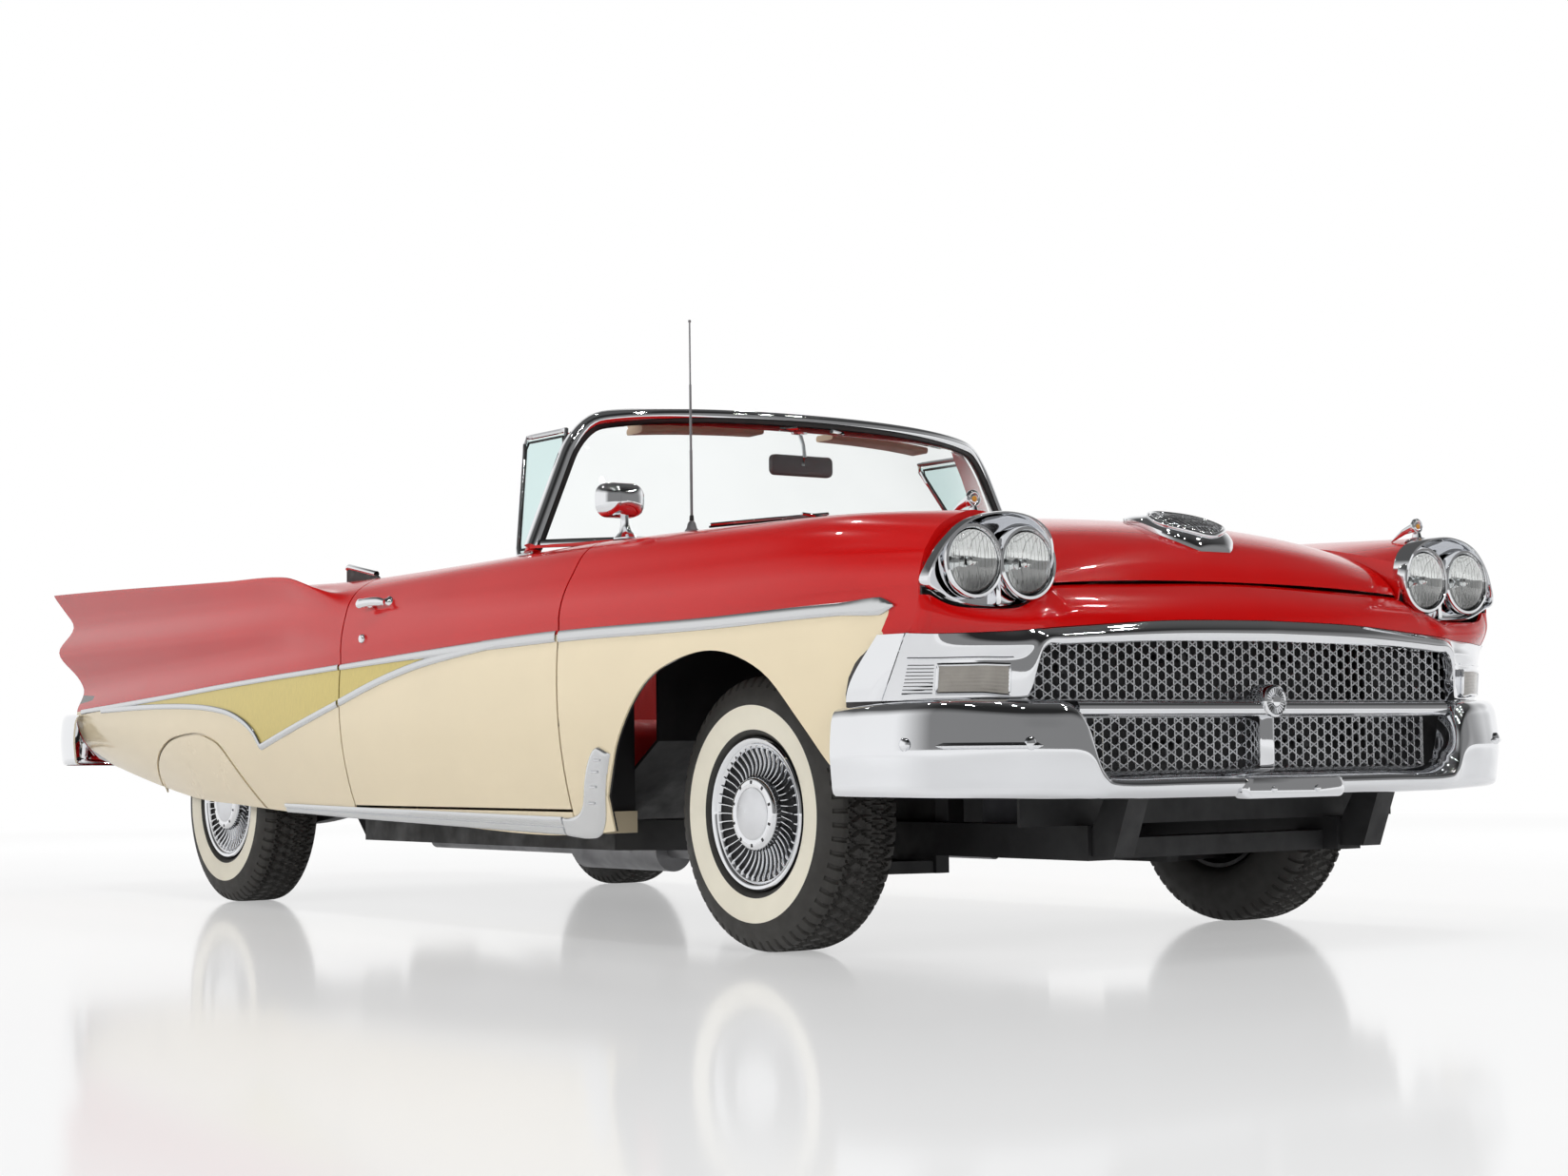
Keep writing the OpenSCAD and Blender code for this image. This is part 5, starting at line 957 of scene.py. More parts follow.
rb.v = [(-WHEELBASE - x, y, z) for x, y, z in rb.v]
rb.make("rear_bumper_bar", "shell", [M_CHROME], "chrome", ("rear_bumper",), 40)

# Grille
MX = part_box("grille_mesh")[0].x * 1000 - AXLE
CELL = 28.0
STRAND_W, STRAND_D = 3.3, 6.0
FIELDS = ((690.0, 566.0, 702.0), (600.0, 400.0, 528.0))


def clip_line(point, way, half, z0, z1):
    """The stretch of a line in the (y, z) plane that lies inside a field, as two distances along it."""
    t0, t1 = -1e9, 1e9
    for k, lo, hi in ((0, -half, half), (1, z0, z1)):
        if abs(way[k]) < 1e-9:
            if not lo <= point[k] <= hi:
                return None
            continue
        a, b = sorted(((lo - point[k]) / way[k], (hi - point[k]) / way[k]))
        t0, t1 = max(t0, a), min(t1, b)
    return (t0, t1) if t1 - t0 > STRAND_W else None


def strand(shape, x, a, b):
    """A flat bar with softened front edges between two points of the (y, z) plane."""
    a, b = np.asarray(a, float), np.asarray(b, float)
    d = (b - a) / np.linalg.norm(b - a)
    w = np.array([-d[1], d[0]]) * STRAND_W / 2
    section = ((-1, -STRAND_D), (-1, -1.4), (-0.45, 0), (0.45, 0), (1, -1.4), (1, -STRAND_D))
    shape.loft([[(x + dx, *(q + w * k)) for k, dx in section] for q in (a, b)])


def lattice(shape, x, half, z0, z1):
    """Three families of bars: they leave large six-sided holes with small triangles between them."""
    pitch = CELL * math.sqrt(3) / 2
    reach = int((half + z1 - z0) / pitch) + 2
    centre = np.array([0.0, (z0 + z1) / 2])
    for turn in (90, 30, 150):
        d = np.array([math.cos(math.radians(turn)), math.sin(math.radians(turn))])
        n = np.array([-d[1], d[0]])
        for k in range(-reach, reach):
            p = centre + n * (k + 0.5) * pitch
            span = clip_line(p, d, half, z0, z1)
            if span:
                strand(shape, x, p + d * span[0], p + d * span[1])
    corners = [(-half, z0), (half, z0), (half, z1), (-half, z1)]
    for a, b in zip(corners, corners[1:] + corners[:1]):
        strand(shape, x, a, b)


grille = Shape()
for half, z0, z1 in FIELDS:
    lattice(grille, MX + 5, half, z0, z1)
# Dark sheets of painted shade close the ends of the air opening
shade_sheets = Shape().block((MX - 22, -790, 400), (MX - 18, -430, 712), soft=1)
shade_sheets.both().make("grille_shade_sheets", "shell", [M_DARK_AND_SHADE], "black_metal", (), 40)
grille.make("grille_lattice", "shell", [M_ALU], "bright_mesh", ("grille_mesh",), 30)

# Bar, bullet and post
bar = Shape()
BAR_X, BAR_Z, BAR_H = 815.0, 545.0, 592.0
ring = rounded_rect(34, 34, 15, 5)
bar.loft([[(BAR_X + a + 4, y, BAR_Z + b) for a, b in ring] for y in steps(-BAR_H, BAR_H, 24)])
bar.block((753.5, -24, 412), (812, 24, 545), 0, soft=7)
place = facing(BAR_X - 38, 0, BAR_Z + 17)
BULLET = [(0, 0), (30, 0), (36, 8), (38, 20), (38, 56), (36, 62), (31, 65), (29, 62), (14, 62), (12, 66),
          (0, 67)]
bar.lathe(BULLET, place, 48)
for k in range(24):
    a = 2 * math.pi * k / 24
    bar.tube([place(r * math.cos(a), r * math.sin(a), 62.5) for r in (15, 22, 29)], 1.2, 6)
bar.make("grille_bar_trim", "shell", [M_CHROME], "chrome", ("grille_bar",), 40)

# Headlamps
BZ_Y, BZ_Z = (571.0, 913.0), (760.0, 966.0)
BZ = [(0.0, 0.64), (0.01, 0.42), (0.07, 0.21), (0.18, 0.07), (0.33, 0.01), (0.54, 0.0), (0.74, 0.04),
      (0.89, 0.14), (1.0, 0.24), (0.965, 0.44), (0.88, 0.66), (0.75, 0.85), (0.60, 0.955), (0.40, 1.0),
      (0.20, 0.955), (0.06, 0.83)]
BX0 = NOSE_X + 0.3
LAMP_Y, LAMP_Z, LAMP_X, LAMP_R = (643.0, 794.0), 858.0, 734.0, 73.0


def closed_curve(p, per):
    n = len(p)
    out = []
    for i in range(n):
        a, b, c, d = (np.asarray(p[k % n], float) for k in (i - 1, i, i + 1, i + 2))
        out += [hermite(b, c, (c - a) / 2, (d - b) / 2, k / per) for k in range(per)]
    return out


outline = [(mix(*BZ_Y, a), mix(*BZ_Z, b)) for a, b in closed_curve(BZ, 5)]
bc = np.mean(outline, axis=0)


def bez_front(y, z):
    """The face leans: its top and inner edge stand further forward, like an eyebrow."""
    rise = limit01((z - BZ_Z[0]) / (BZ_Z[1] - BZ_Z[0])) ** 1.3
    return BX0 + 22 + 30 * rise + 6 * limit01((BZ_Y[1] - y) / 330)


def bez_ring(k, dx, use_front=True):
    out = []
    for y, z in outline:
        yy, zz = mix(bc[0], y, k), mix(bc[1], z, k)
        out.append(((bez_front(yy, zz) if use_front else BX0) + dx, -yy, zz))
    return out


# Each ring: share of the outline, offset, and whether it follows the leaning face or the flat back
BEZEL_RINGS = ((0.97, 0, False), (1.0, 0, False), (1.0, -10), (0.985, -2), (0.955, -1), (0.93, -8),
               (0.93, -12), (0.90, -20), (0.6, 6, False), (0.3, 6, False), (0.02, 6, False),
               (0.02, 1, False), (0.97, 1, False))
bezel = Shape().loft([bez_ring(*ring) for ring in BEZEL_RINGS])
seat = [(LAMP_R + 6, -18), (LAMP_R + 8, 2), (LAMP_R + 5, 7), (LAMP_R - 1, 8), (LAMP_R - 4, 3),
        (LAMP_R - 4, -18)]
for ly in LAMP_Y:
    bezel.lathe(seat, facing(LAMP_X, -ly, LAMP_Z), 56)
bezel.block((BX0 + 2, -720, 768), (BX0 + 22, -706, 860), 0, soft=3)
bezel.both().make("lamp_bezels", "shell", [M_CHROME], "chrome", ("headlamp_bezels",), 40, weld=0.02)

lens, bowls = Shape(), Shape()
LENS_R, LENS_HIGH = LAMP_R - 4.5, 18
dome = [(LENS_R * math.sin(a), LENS_HIGH * math.cos(a)) for a in (math.radians(9 * i) for i in range(11))]
for ly in LAMP_Y:
    at = facing(LAMP_X, -ly, LAMP_Z)
    lens.lathe([(r, h - 1) for r, h in dome] + [(r, h - 6) for r, h in reversed(dome)], at, 56)
    for i in range(-5, 6):
        yy = i * 11.0
        w = math.sqrt(max(0, 62 ** 2 - yy ** 2))
        pts = []
        for zz in steps(-w, w, 12):
            rr = math.hypot(yy, zz)
            pts.append(at(yy, zz, LENS_HIGH * math.cos(math.asin(min(1, rr / LENS_R))) - 6.2))
        lens.tube(pts, 0.9, 6)
    bowls.lathe([(0, -15), (20, -14), (45, -10), (66, 0), (68, 1), (68, -17), (0, -17.5)], at, 48)
    bowls.lathe([(0, -10), (9, -10), (10, -2), (6, 3), (0, 4)], at, 20)
lens.both().make("lamp_lenses", "shell", [M_LENS], "lamp_clear", ("front_lamps",), 40)
bowls.both().make("lamp_bowls", "shell", [M_PLATE], "lamp_clear", (), 40)
park = Shape()
PARK_S, PARK_T = steps(4.43, 5.88, 24), steps(0.49, 0.88, 24)
pk = [[surr_pt(-s, t, -6) for t in PARK_T] for s in PARK_S]
pk = [[(x + 0.9 * math.sin(j * 1.9) * 0.6, y, z) for j, (x, y, z) in enumerate(r)] for r in pk]
park.skin(pk, [[surr_pt(-s, t, -0.4) for t in PARK_T] for s in PARK_S])
park.both().make("park_lenses", "shell", [M_PARK], "lamp_clear", (), 25)
prim = Shape()
P0, P1, P_LOW, P_TOP = 4.40, 5.92, 0.47, 0.90
edge = ([surr_pt(-s, P_LOW, -3.5) for s in steps(P0, P1, 12)]
        + [surr_pt(-P1, t, -3.5) for t in steps(P_LOW, P_TOP, 8)][1:]
        + [surr_pt(-s, P_TOP, -3.5) for s in steps(P1, P0, 12)][1:]
        + [surr_pt(-P0, t, -3.5) for t in steps(P_TOP, P_LOW, 8)][1:-1])
prim.tube(edge, 4.0, 8, 0, True)
prim.both().make("park_rims", "shell", [M_CHROME], "chrome", (), 40)

# Side trim: sections of (share of the half height, share of how far it stands out, or an inset below zero)
STRIP = ((-1, -2), (-1, 0.45), (-0.72, 0.85), (-0.25, 1.0), (0.25, 1.0), (0.72, 0.85), (1, 0.45), (1, -2))
ROCKER = ((-1, -2), (-1, 0.5), (-0.75, 0.9), (-0.2, 1), (-0.1, 0.6), (0.1, 0.6), (0.2, 1), (0.75, 0.9),
          (1, 0.5), (1, -2))
PROUD = 7


def strip(path, half):
    """Rings of a rounded strip on the right side; path is (x, z), half its half height there."""
    rings = []
    n = len(path)
    for i, (x, z) in enumerate(path):
        a, b = path[max(i - 1, 0)], path[min(i + 1, n - 1)]
        d = np.array([b[0] - a[0], b[1] - a[1]], float)
        d /= np.linalg.norm(d)
        nrm = np.array([-d[1], d[0]])
        h = half[i] if isinstance(half, list) else half
        ring = []
        for u, o in STRIP:
            px, pz = x + nrm[0] * h * u, z + nrm[1] * h * u
            ring.append((px, -side_y(px, pz) - (PROUD * o if o > 0 else o), pz))
        rings.append(ring)
    return rings


def line_path(x0, x1, n, down):
    return [(x, line_row(x)[5] - down) for x in steps(x0, x1, n)]


def up_half(x):
    return mix(14.0, 8.5, ease((-657 - x) / 1300))


def trim_piece(name, body, path, half, tail=False):
    rings = strip(path, half)
    if tail:
        rings = [[tail_shift(p) for p in r] for r in rings]
    pair(name, body, Shape().loft(rings), [M_STAIN], "chrome", None, 50)


p = line_path(DOOR_FRONT + GAP + 3, 634, 60, 13)
half = [14.0 + 5 * ease((x - 465) / 120) - 17 * ease((x - 596) / 40) for x, z in p]
trim_piece("fender_strip", "shell", p, half)
p = line_path(DOOR_REAR + 4, DOOR_FRONT - 4, 60, 12)
trim_piece("door_strip", "door_unit_SIDE", p, [up_half(x) for x, z in p])
p = line_path(TAIL_X + 60, DOOR_REAR - GAP - 3, 90, 11)
trim_piece("quarter_strip", "shell", p, [up_half(x) for x, z in p], True)
p = [(x, row_at(SPEAR, x)[1]) for x in steps(-745, DOOR_REAR + 4, 60)]
trim_piece("door_spear", "door_unit_SIDE", p, [mix(5, 11, ease((-745 - x) / 500)) for x, z in p])
p = [(x, row_at(SPEAR, x)[1]) for x in steps(DOOR_REAR - GAP - 3, TIP, 40)]
trim_piece("quarter_spear", "shell", p, 10.0)
p = [tuple(row_at(TAIL_TRIM, x)) for x in steps(TIP, -2520, 24) + steps(-2540, -3740, 60)]
trim_piece("quarter_tail_trim", "shell", p, 9.0, True)


# Rocker moulding
def rock_share(x):
    return limit01((-640 - x) / 1690)


rock = [(x, mix(283, 312, rock_share(x))) for x in steps(-690, -2330, 50)]
hh = [mix(23, 14, rock_share(x)) for x, z in rock]


def rock_y(x, z):
    r = line_row(x)
    return lower_y(r, max(z, r[2]))


rr = []
for (x, z), h in zip(rock, hh):
    rr.append([(x, -rock_y(x, z + h * u) - (8 * o if o > 0 else o), z + h * u) for u, o in ROCKER])
Shape().loft(rr).both().make("rocker_strip", "shell", [M_STAIN], "chrome", (), 50)

# Stone shields ahead of the doors, which turn up along the arch's rear edge
SHIELD_TOP = [(-690, 306), (-640, 306), (-600, 318), (-572, 345), (-548, 395), (-520, 440), (-490, 470),
              (-462, 480)]
SHIELD_LOW = [(-690, 260), (-640, 256), (-585, 254), (-535, 262), (-492, 300), (-462, 370), (-436, 425),
              (-414, 462)]
SHIELD_END = len(SHIELD_TOP) - 1


def shield_xz(s, t):
    q = mix(curve_at(SHIELD_TOP, s), curve_at(SHIELD_LOW, s), t)
    return float(q[0]), float(q[1])


so, si = [], []
for s in steps(0, SHIELD_END, 42):
    ro, ri = [], []
    for t in steps(0, 1, 10):
        x, z = shield_xz(s, t)
        y = rock_y(x, z)
        o = 9 * min(1, 6 * min(t + 0.05, 1.05 - t)) * min(1, 0.4 + s * 2, 0.4 + (SHIELD_END - s) * 2)
        ro.append((x, -y - o, z))
        ri.append((x, -y + 2, z))
    so.append(ro)
    si.append(ri)
slots = Shape()
for s in (3.9, 4.6, 5.3, 6.0):
    cx, cz = shield_xz(s, 0.5)
    slots.tube([(x, -rock_y(x, cz) - 8.8, cz) for x in (cx + dx for dx in steps(-13, 13, 4))], 3.4, 8)
Shape().skin(so, si).both().make("stone_shields", "shell", [M_STAIN], "chrome", (), 50)
slots.both().make("shield_ribs", "shell", [M_SATIN], "chrome", (), 50)

# Rocker panels under the doors
ROCKER_X, ROCKER_IN, SETBACK = (-590, -2100), 780.3, 12
# Ahead of and behind the door the panel stands back under the fender and the quarter
rx = [ROCKER_X[0], DOOR_FRONT + 0.75 * GAP, DOOR_FRONT, -1250, DOOR_REAR, DOOR_REAR - 0.75 * GAP, ROCKER_X[1]]
rin = [1, 1, 0, 0, 0, 1, 1]
ro, ri = [], []
for x in sorted(set(steps(*ROCKER_X, 40) + rx), reverse=True):
    r = line_row(x)
    zs = steps(r[2], DOOR_LOW - GAP, 6)
    ins = float(np.interp(-x, [-v for v in rx], rin))
    ro.append([(x, -lower_y(r, z) + ins * SETBACK, z) for z in zs])
    ri.append([(x, -ROCKER_IN, z) for z in zs])
Shape().skin(ro, ri).both().make("rockers", "shell", [M_CREAM], "cream_paint", ("rocker_panels",))

# Door handles and lock buttons
HANDLE_X, HANDLE_Z, LOCK_X, LOCK_Z = -1640.0, 893.0, -1695.0, 795
GRIP_R = [6, 9, 11, 12, 12, 12, 12, 12, 12, 12, 12, 12, 13, 14, 10]
handle = Shape()
grip = []
for t, x in zip(steps(0, 1, 14), steps(HANDLE_X + 62, HANDLE_X - 75, 14)):
    y = -side_y(HANDLE_X, HANDLE_Z) - 30 + 6 * math.cos(math.pi * t)
    grip.append((x, y, HANDLE_Z + 4 * math.sin(math.pi * t)))
handle.tube(grip, GRIP_R, 12, 0, flat=0.62)
for x in (HANDLE_X + 48, HANDLE_X - 62):
    foot = sideways(x, -side_y(x, HANDLE_Z) + 2, HANDLE_Z, -1)
    handle.lathe([(0, 0), (17, 0), (17, 4), (12, 10), (9, 24), (0, 30)], foot, 24)
lock = sideways(LOCK_X, -side_y(LOCK_X, LOCK_Z) + 2, LOCK_Z, -1)
handle.lathe([(0, 0), (13, 0), (13, 7), (10, 11), (0, 12)], lock, 28)
pair("door_handle", "door_unit_SIDE", handle, [M_CHROME], "chrome", None, 40)

# Scoop, ornaments, antenna, mirror
SCOOP_WIDE, SCOOP_HIGH = 135, 30


def scoop_pt(a, b, lift):
    w = math.sin(math.pi * mix(0.08, 0.92, a)) ** 0.6
    q = hood_pt(mix(1.45, 3.5, a), b * w * SCOOP_WIDE / HOOD_W)
    bulge = math.sqrt(max(0, 1 - b * b)) * math.sin(math.pi * mix(0.08, 0.92, a ** 0.8)) ** 0.8
    return (q[0], q[1], q[2] + lift * bulge)


def scoop_at(a, b, up, lift=SCOOP_HIGH):
    return tuple(np.add(scoop_pt(a, b, lift), (0, 0, up)))


scoop_a, scoop_b = steps(0, 1, 36), steps(-0.98, 0.98, 32)
scoop = Shape().skin([[scoop_at(a, b, 5) for b in scoop_b] for a in scoop_a],
                     [[scoop_at(a, b, 0.3, 0) for b in scoop_b] for a in scoop_a])
MOUTH_A, MOUTH_LONG, MOUTH_WIDE = 0.46, 0.36, 0.84


def mouth_wide(a):
    return MOUTH_WIDE * math.sqrt(max(0, 1 - ((a - MOUTH_A) / MOUTH_LONG) ** 2))


for i in range(13):
    b0 = -0.72 + 0.12 * i
    reach = MOUTH_LONG * math.sqrt(1 - (b0 / MOUTH_WIDE) ** 2)
    scoop.tube([scoop_at(a, b0, 7) for a in steps(MOUTH_A - reach, MOUTH_A + reach, 14)], 1.7, 6, 1)
for i in range(7):
    a0 = MOUTH_A + MOUTH_LONG * (i - 3) / 3.6
    wide = mouth_wide(a0)
    scoop.tube([scoop_at(a0, b, 7.5) for b in steps(-wide, wide, 14)], 2.0, 6, 1)
rim = [scoop_at(MOUTH_A + MOUTH_LONG * math.cos(t), MOUTH_WIDE * math.sin(t), 7) for t in full_turn(64)]
scoop.tube(rim, 6.5, 10, 0, True)
# A near-black sheet in the scoop's mouth, painted as the shade inside it
mouth = [(a, mouth_wide(a)) for a in steps(MOUTH_A - 0.97 * MOUTH_LONG, MOUTH_A + 0.97 * MOUTH_LONG, 20)]
dark = Shape().skin([[scoop_at(a, b * w, 5.8) for b in steps(-1, 1, 18)] for a, w in mouth],
                    [[scoop_at(a, b * w, 3) for b in steps(-1, 1, 18)] for a, w in mouth])
scoop.make("scoop_trim", "hood_unit", [M_CHROME, M_ALU], "chrome", ("hood_scoop",), 45)
dark.make("scoop_mouth", "hood_unit", [M_DARK_AND_SHADE], "chrome", (), 45)


def crown_z(x, y):
    k = knots(x, sill(x))
    a, b = k[9], k[10]
    return float(curve_at(k, 9 + limit01((a[0] - y) / (a[0] - b[0])))[1])


orn = Shape()
ox, oy = 650.0, 719.0
oz = crown_z(ox, oy) - 2
orn.lathe([(0, 0), (20, 0), (18, 4), (8, 9), (6, 20), (0, 22)], upright(ox, -oy, oz, 1.8), 24)
hoop = [(ox, -oy + 15 * math.cos(t), oz + 36 + 15 * math.sin(t)) for t in full_turn(32)]
orn.tube(hoop, 5.5, 10, 0, True)
orn.tube([(ox - 4, -oy, oz + 36), (ox - 40, -oy, oz + 26), (ox - 80, -oy, oz + 4)], [12, 8, 2], 12)
face = facing(ox, -oy, oz + 36)
orn.lathe([(0, -3), (13, -3), (13, 2), (10, 4), (6, 4.5), (0, 4.5)], face, 24, 0)
orn.lathe([(0, 3), (6.5, 3), (6.5, 6), (4, 8), (0, 8.5)], face, 24, 1)
orn.both().make("fender_ornaments", "shell", [M_CHROME, M_AMBER], "chrome", (), 40)

an = Shape()
AN_X, AN_Y = -320.0, 790.0
an_low, an_high = (corner.z * 1000 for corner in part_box("antenna"))
foot = upright(AN_X, -AN_Y, an_low)
an.lathe([(0, 0), (17, 0), (17, 4), (13, 8), (10, 20), (6, 26), (0, 27)], foot, 28, 0)
an.lathe([(0, 27), (6, 27), (5, 40), (0, 41)], foot, 16, 1)
joints = (an_low + 40, an_low + 200, an_low + 200.1, an_low + 360, an_low + 360.1, an_high - 6)
an.tube([(AN_X, -AN_Y, z) for z in joints], [3.6, 3.6, 3.0, 3.0, 2.2, 2.0], 10)
an.lathe([(0, 0), (3, 1), (4, 4), (3, 7), (0, 8)], upright(AN_X, -AN_Y, an_high - 8), 12)
an.make("whip_antenna", "shell", [M_STEEL, M_RUBBER], "chrome", ("antenna",), 40)

MIRROR_X, MIRROR_Y = -600.0, 800.0
mirror_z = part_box("door_mirror")[0].z * 1000


def mirror_foot(a, b, h):
    return (MIRROR_X + a * 1.35 - h * 0.12, -MIRROR_Y + b * 0.8, mirror_z + h)


def mirror_ring(dx, k):
    head = rounded_rect(128, 88, 34, 7)
    return [(MIRROR_X + dx, -MIRROR_Y - 6 + a * k, mirror_z + 100 + b * k) for a, b in head]


mir = Shape()
mir.lathe([(0, 0), (34, 0), (34, 3), (27, 9), (16, 19), (11, 40), (11, 70), (0, 72)], mirror_foot, 28)
HEAD = ((28, 0.18), (25, 0.5), (16, 0.80), (2, 0.95), (-18, 1.0), (-34, 1.0), (-34, 0.93), (-30, 0.92))
mir.loft([mirror_ring(dx, k) for dx, k in HEAD])
mir.loft([mirror_ring(dx, 0.9) for dx in (-31, -29)], 1)
mir.make("outside_mirror", "shell", [M_CHROME, M_PLATE], "chrome", ("door_mirror",), 40)

# Windshield
G_LOW, G_HIGH, FACE = 1012.0, 1402, 24.0
# Half the turn of the curved glass, in degrees
BEND = 78
# At the glass's foot and top: half width, x in the middle, x at the ends
G_HALF, G_MID, G_END, G_ROUND = (835, 690), (-540, -893), (-975, -990), 2.6


def glass_high(a):
    return G_HIGH - FACE - 45 * a * a


def glass_pt(a, t, back=0.0):
    half = mix(*G_HALF, t)
    y = half * math.sin(math.radians(BEND * a)) / math.sin(math.radians(BEND))
    x0, x1 = mix(*G_MID, t), mix(*G_END, t)
    x = mix(x0, x1, (abs(y) / half) ** G_ROUND) - back * (1 - 0.75 * abs(a) ** 4)
    inward = math.copysign(1, a) * back * abs(a) ** 4 if a else 0.0
    return (x, y - inward, mix(G_LOW, glass_high(a), t))


def glass_share(y, half):
    """The share of the bend at which the glass, half wide, lies at y."""
    share = max(-1, min(1, y / half * math.sin(math.radians(BEND))))
    return math.degrees(math.asin(share)) / BEND


go = [[glass_pt(a, t) for t in steps(0, 1, 14)] for a in steps(-1, 1, 60)]
gi = [[glass_pt(a, t, 6) for t in steps(0, 1, 14)] for a in steps(-1, 1, 60)]
Shape().skin(go, gi).make("screen", "shell", [M_GLASS], "glass", ("windshield_glass",), 60)
# The frame follows the glass's edge: up one pillar, over the header, down the other
edge = [glass_pt(-1, t) for t in steps(-0.02, 0.86, 26)]
edge += [glass_pt(a, 1) for a in steps(-0.93, 0.93, 60)]
edge += [glass_pt(1, t) for t in steps(0.86, -0.02, 26)]


def smoothed(path):
    p = [np.array(q) for q in path]
    inner = [tuple(0.25 * p[i - 1] + 0.5 * p[i] + 0.25 * p[i + 1]) for i in range(1, len(p) - 1)]
    return [path[0]] + inner + [path[-1]]


for _ in range(6):
    edge = smoothed(edge)
mid_c = np.array([-760.0, 0, 1170.0])


def sweep(path, sect, pillar=1.0):
    """A section of (outward, through) carried along the glass's edge, and wider by pillar beside it."""
    rings = []
    for i, q in enumerate(path):
        q = np.array(q)
        t = np.array(path[min(i + 1, len(path) - 1)]) - np.array(path[max(i - 1, 0)])
        t /= np.linalg.norm(t)
        o = q - mid_c
        o[0] *= 0.2
        o -= t * o.dot(t)
        o /= np.linalg.norm(o)
        n = np.cross(t, o)
        if n[0] < 0:
            n = -n
        wide = mix(1, pillar, abs(t[2]))
        rings.append([tuple(q + o * a + n * b * (wide if b < -12 else 1)) for a, b in sect])
    return Shape().loft(rings)


fr = sweep(edge, [(1, 6), (3, 11), (12, 13), (22, 8), (26, 0), (26, -24), (22, -30), (6, -30), (2, -24)])
fr.make("screen_frame", "shell", [M_CHROME], "chrome", ("windshield_frame",), 40)
SEAL = [(-14, 3), (-14, 7), (-9, 10), (0.5, 10), (2, 6), (2, -12), (-6, -14), (-14, -9)]
GARNISH = [(-22, -14), (-20, -10), (-6, -15), (2, -25), (4, -31), (-4, -46), (-18, -40)]
sweep(edge, SEAL).make("screen_seal", "shell", [M_RUBBER], "black_metal", (), 40)
sweep(edge, GARNISH, 1.9).make("screen_garnish", "shell", [M_RED], "red_paint", (), 40)
base = [glass_pt(a, 0) for a in steps(-0.985, 0.985, 70)]
base_seal = Shape().tube([(x + 6, y, z + 6) for x, y, z in base], 9, 10)
base_seal.make("screen_base_seal", "shell", [M_RUBBER], "black_metal", (), 40)
base_strip = Shape().tube([(x + 17, y * 1.006, z + 2) for x, y, z in base], 8, 10)
base_strip.make("screen_base_strip", "shell", [M_CHROME], "chrome", (), 40)

# Cowl: from the hood's rear edge to behind the glass's foot
COWL_WALL = 8
CE = [(0, 1.0), (0.3, 1.015), (0.42, 1.08), (0.55, 1.12), (0.8, 1.165), (1, 1.24)]


def cowl_pt(v, t):
    h, g = hood_pt(6, v), glass_pt(v, 0, 20)
    e = row_at(CE, t)[1] * HOOD_W
    gy = g[1] / glass_pt(1, 0, 20)[1]
    return (mix(h[0] - GAP, g[0], t), e * mix(v, gy, t), mix(h[2], G_LOW - 0.3, ease(t / 0.5)))


cg = [[cowl_pt(v, t) for v in steps(-1, 1, 60)] for t in steps(0, 1, 28)]
cowl = Shape().skin(cg, shifted(cg, dz=-COWL_WALL))
cowl.make("cowl_panel", "shell", [M_RED], "red_paint", ("cowl",), 40)


# Wipers parked along the glass's foot
def before_glass(y, z, ahead):
    """A point ahead of the windshield at height z."""
    g = glass_pt(glass_share(y, 820), (z - G_LOW) / (glass_high(0) - G_LOW))
    return (g[0] + ahead, y, z)


wp = Shape()
for pivot in (-90, 330):
    wp.lathe([(0, 0), (13, 0), (12, 12), (7, 18), (0, 19)], upright(-505, pivot, 1018), 20)
    hook = before_glass(pivot - 150, 1092, 24)
    arm = [(-505, pivot, 1034), (-520, pivot - 40, 1058), (hook[0] + 6, pivot - 110, 1088), hook]
    wp.tube(arm, [6, 6, 4.5, 4], 8)
    line = zip(steps(pivot - 60, pivot - 400, 20), steps(1096, 1058, 20))
    blade = [before_glass(y, z, 13) for y, z in line]
    wp.tube(blade, 4.0, 8)
    wp.tube([(x - 6, y, z - 6) for x, y, z in blade], 3.2, 6, 1)
wp.make("wipers", "shell", [M_CHROME, M_RUBBER], "chrome", (), 40)

# Inside mirror and sun visors
IM_X, IM_Z = -935, 1262
im = Shape()
ims = rounded_rect(215, 58, 16, 5)
BACK = ((12, 0.9), (9, 0.98), (0, 1.0), (-4, 1.0), (-6, 0.95))
im.loft([[(IM_X + d, a * k, IM_Z + b * k) for a, b in ims] for d, k in BACK])
im.loft([[(-941.6 + d, a * 0.93, IM_Z + b * 0.93) for a, b in ims] for d in (0, 1.2)], 1)
im.tube([(-926, 0, 1264), (-915, 0, 1285), (-918, -4, 1320), (-925, -10, 1352)], [7, 6, 6, 7], 10, 2)
im.lathe([(0, 0), (26, 0), (24, 6), (0, 9)], lambda a, b, h: (-928 + a * 0.8, -10 + b, 1356 - h), 20, 2)
im.make("inside_mirror", "shell", [M_GREY, M_PLATE, M_CHROME], "chrome", (), 40)
vs = Shape()
for sd in (-1, 1):
    rings = []
    for t in steps(0, 1, 20):
        y = sd * mix(120, 500, t)
        header = glass_pt(glass_share(y, G_HALF[1]), 1, 40)
        rings.append([(header[0] + 30 + a, y, header[2] - 22 + b) for a, b in rounded_rect(78, 18, 8, 4)])
    rings = [[(x - 78, y, z + (x - r[0][0]) * 0.02) for x, y, z in r] for r in rings]
    vs.loft(rings)
    x, _, z = rings[0][0]
    vs.tube([(x + 76, sd * 60, z + 2), (x + 60, sd * 110, z - 2)], 6, 8, 1)
vs.make("sun_visors", "shell", [M_BEIGE, M_CHROME], "chrome", (), 40)

# Vent windows on the doors
VENT_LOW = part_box("vent_right")[0].z * 1000


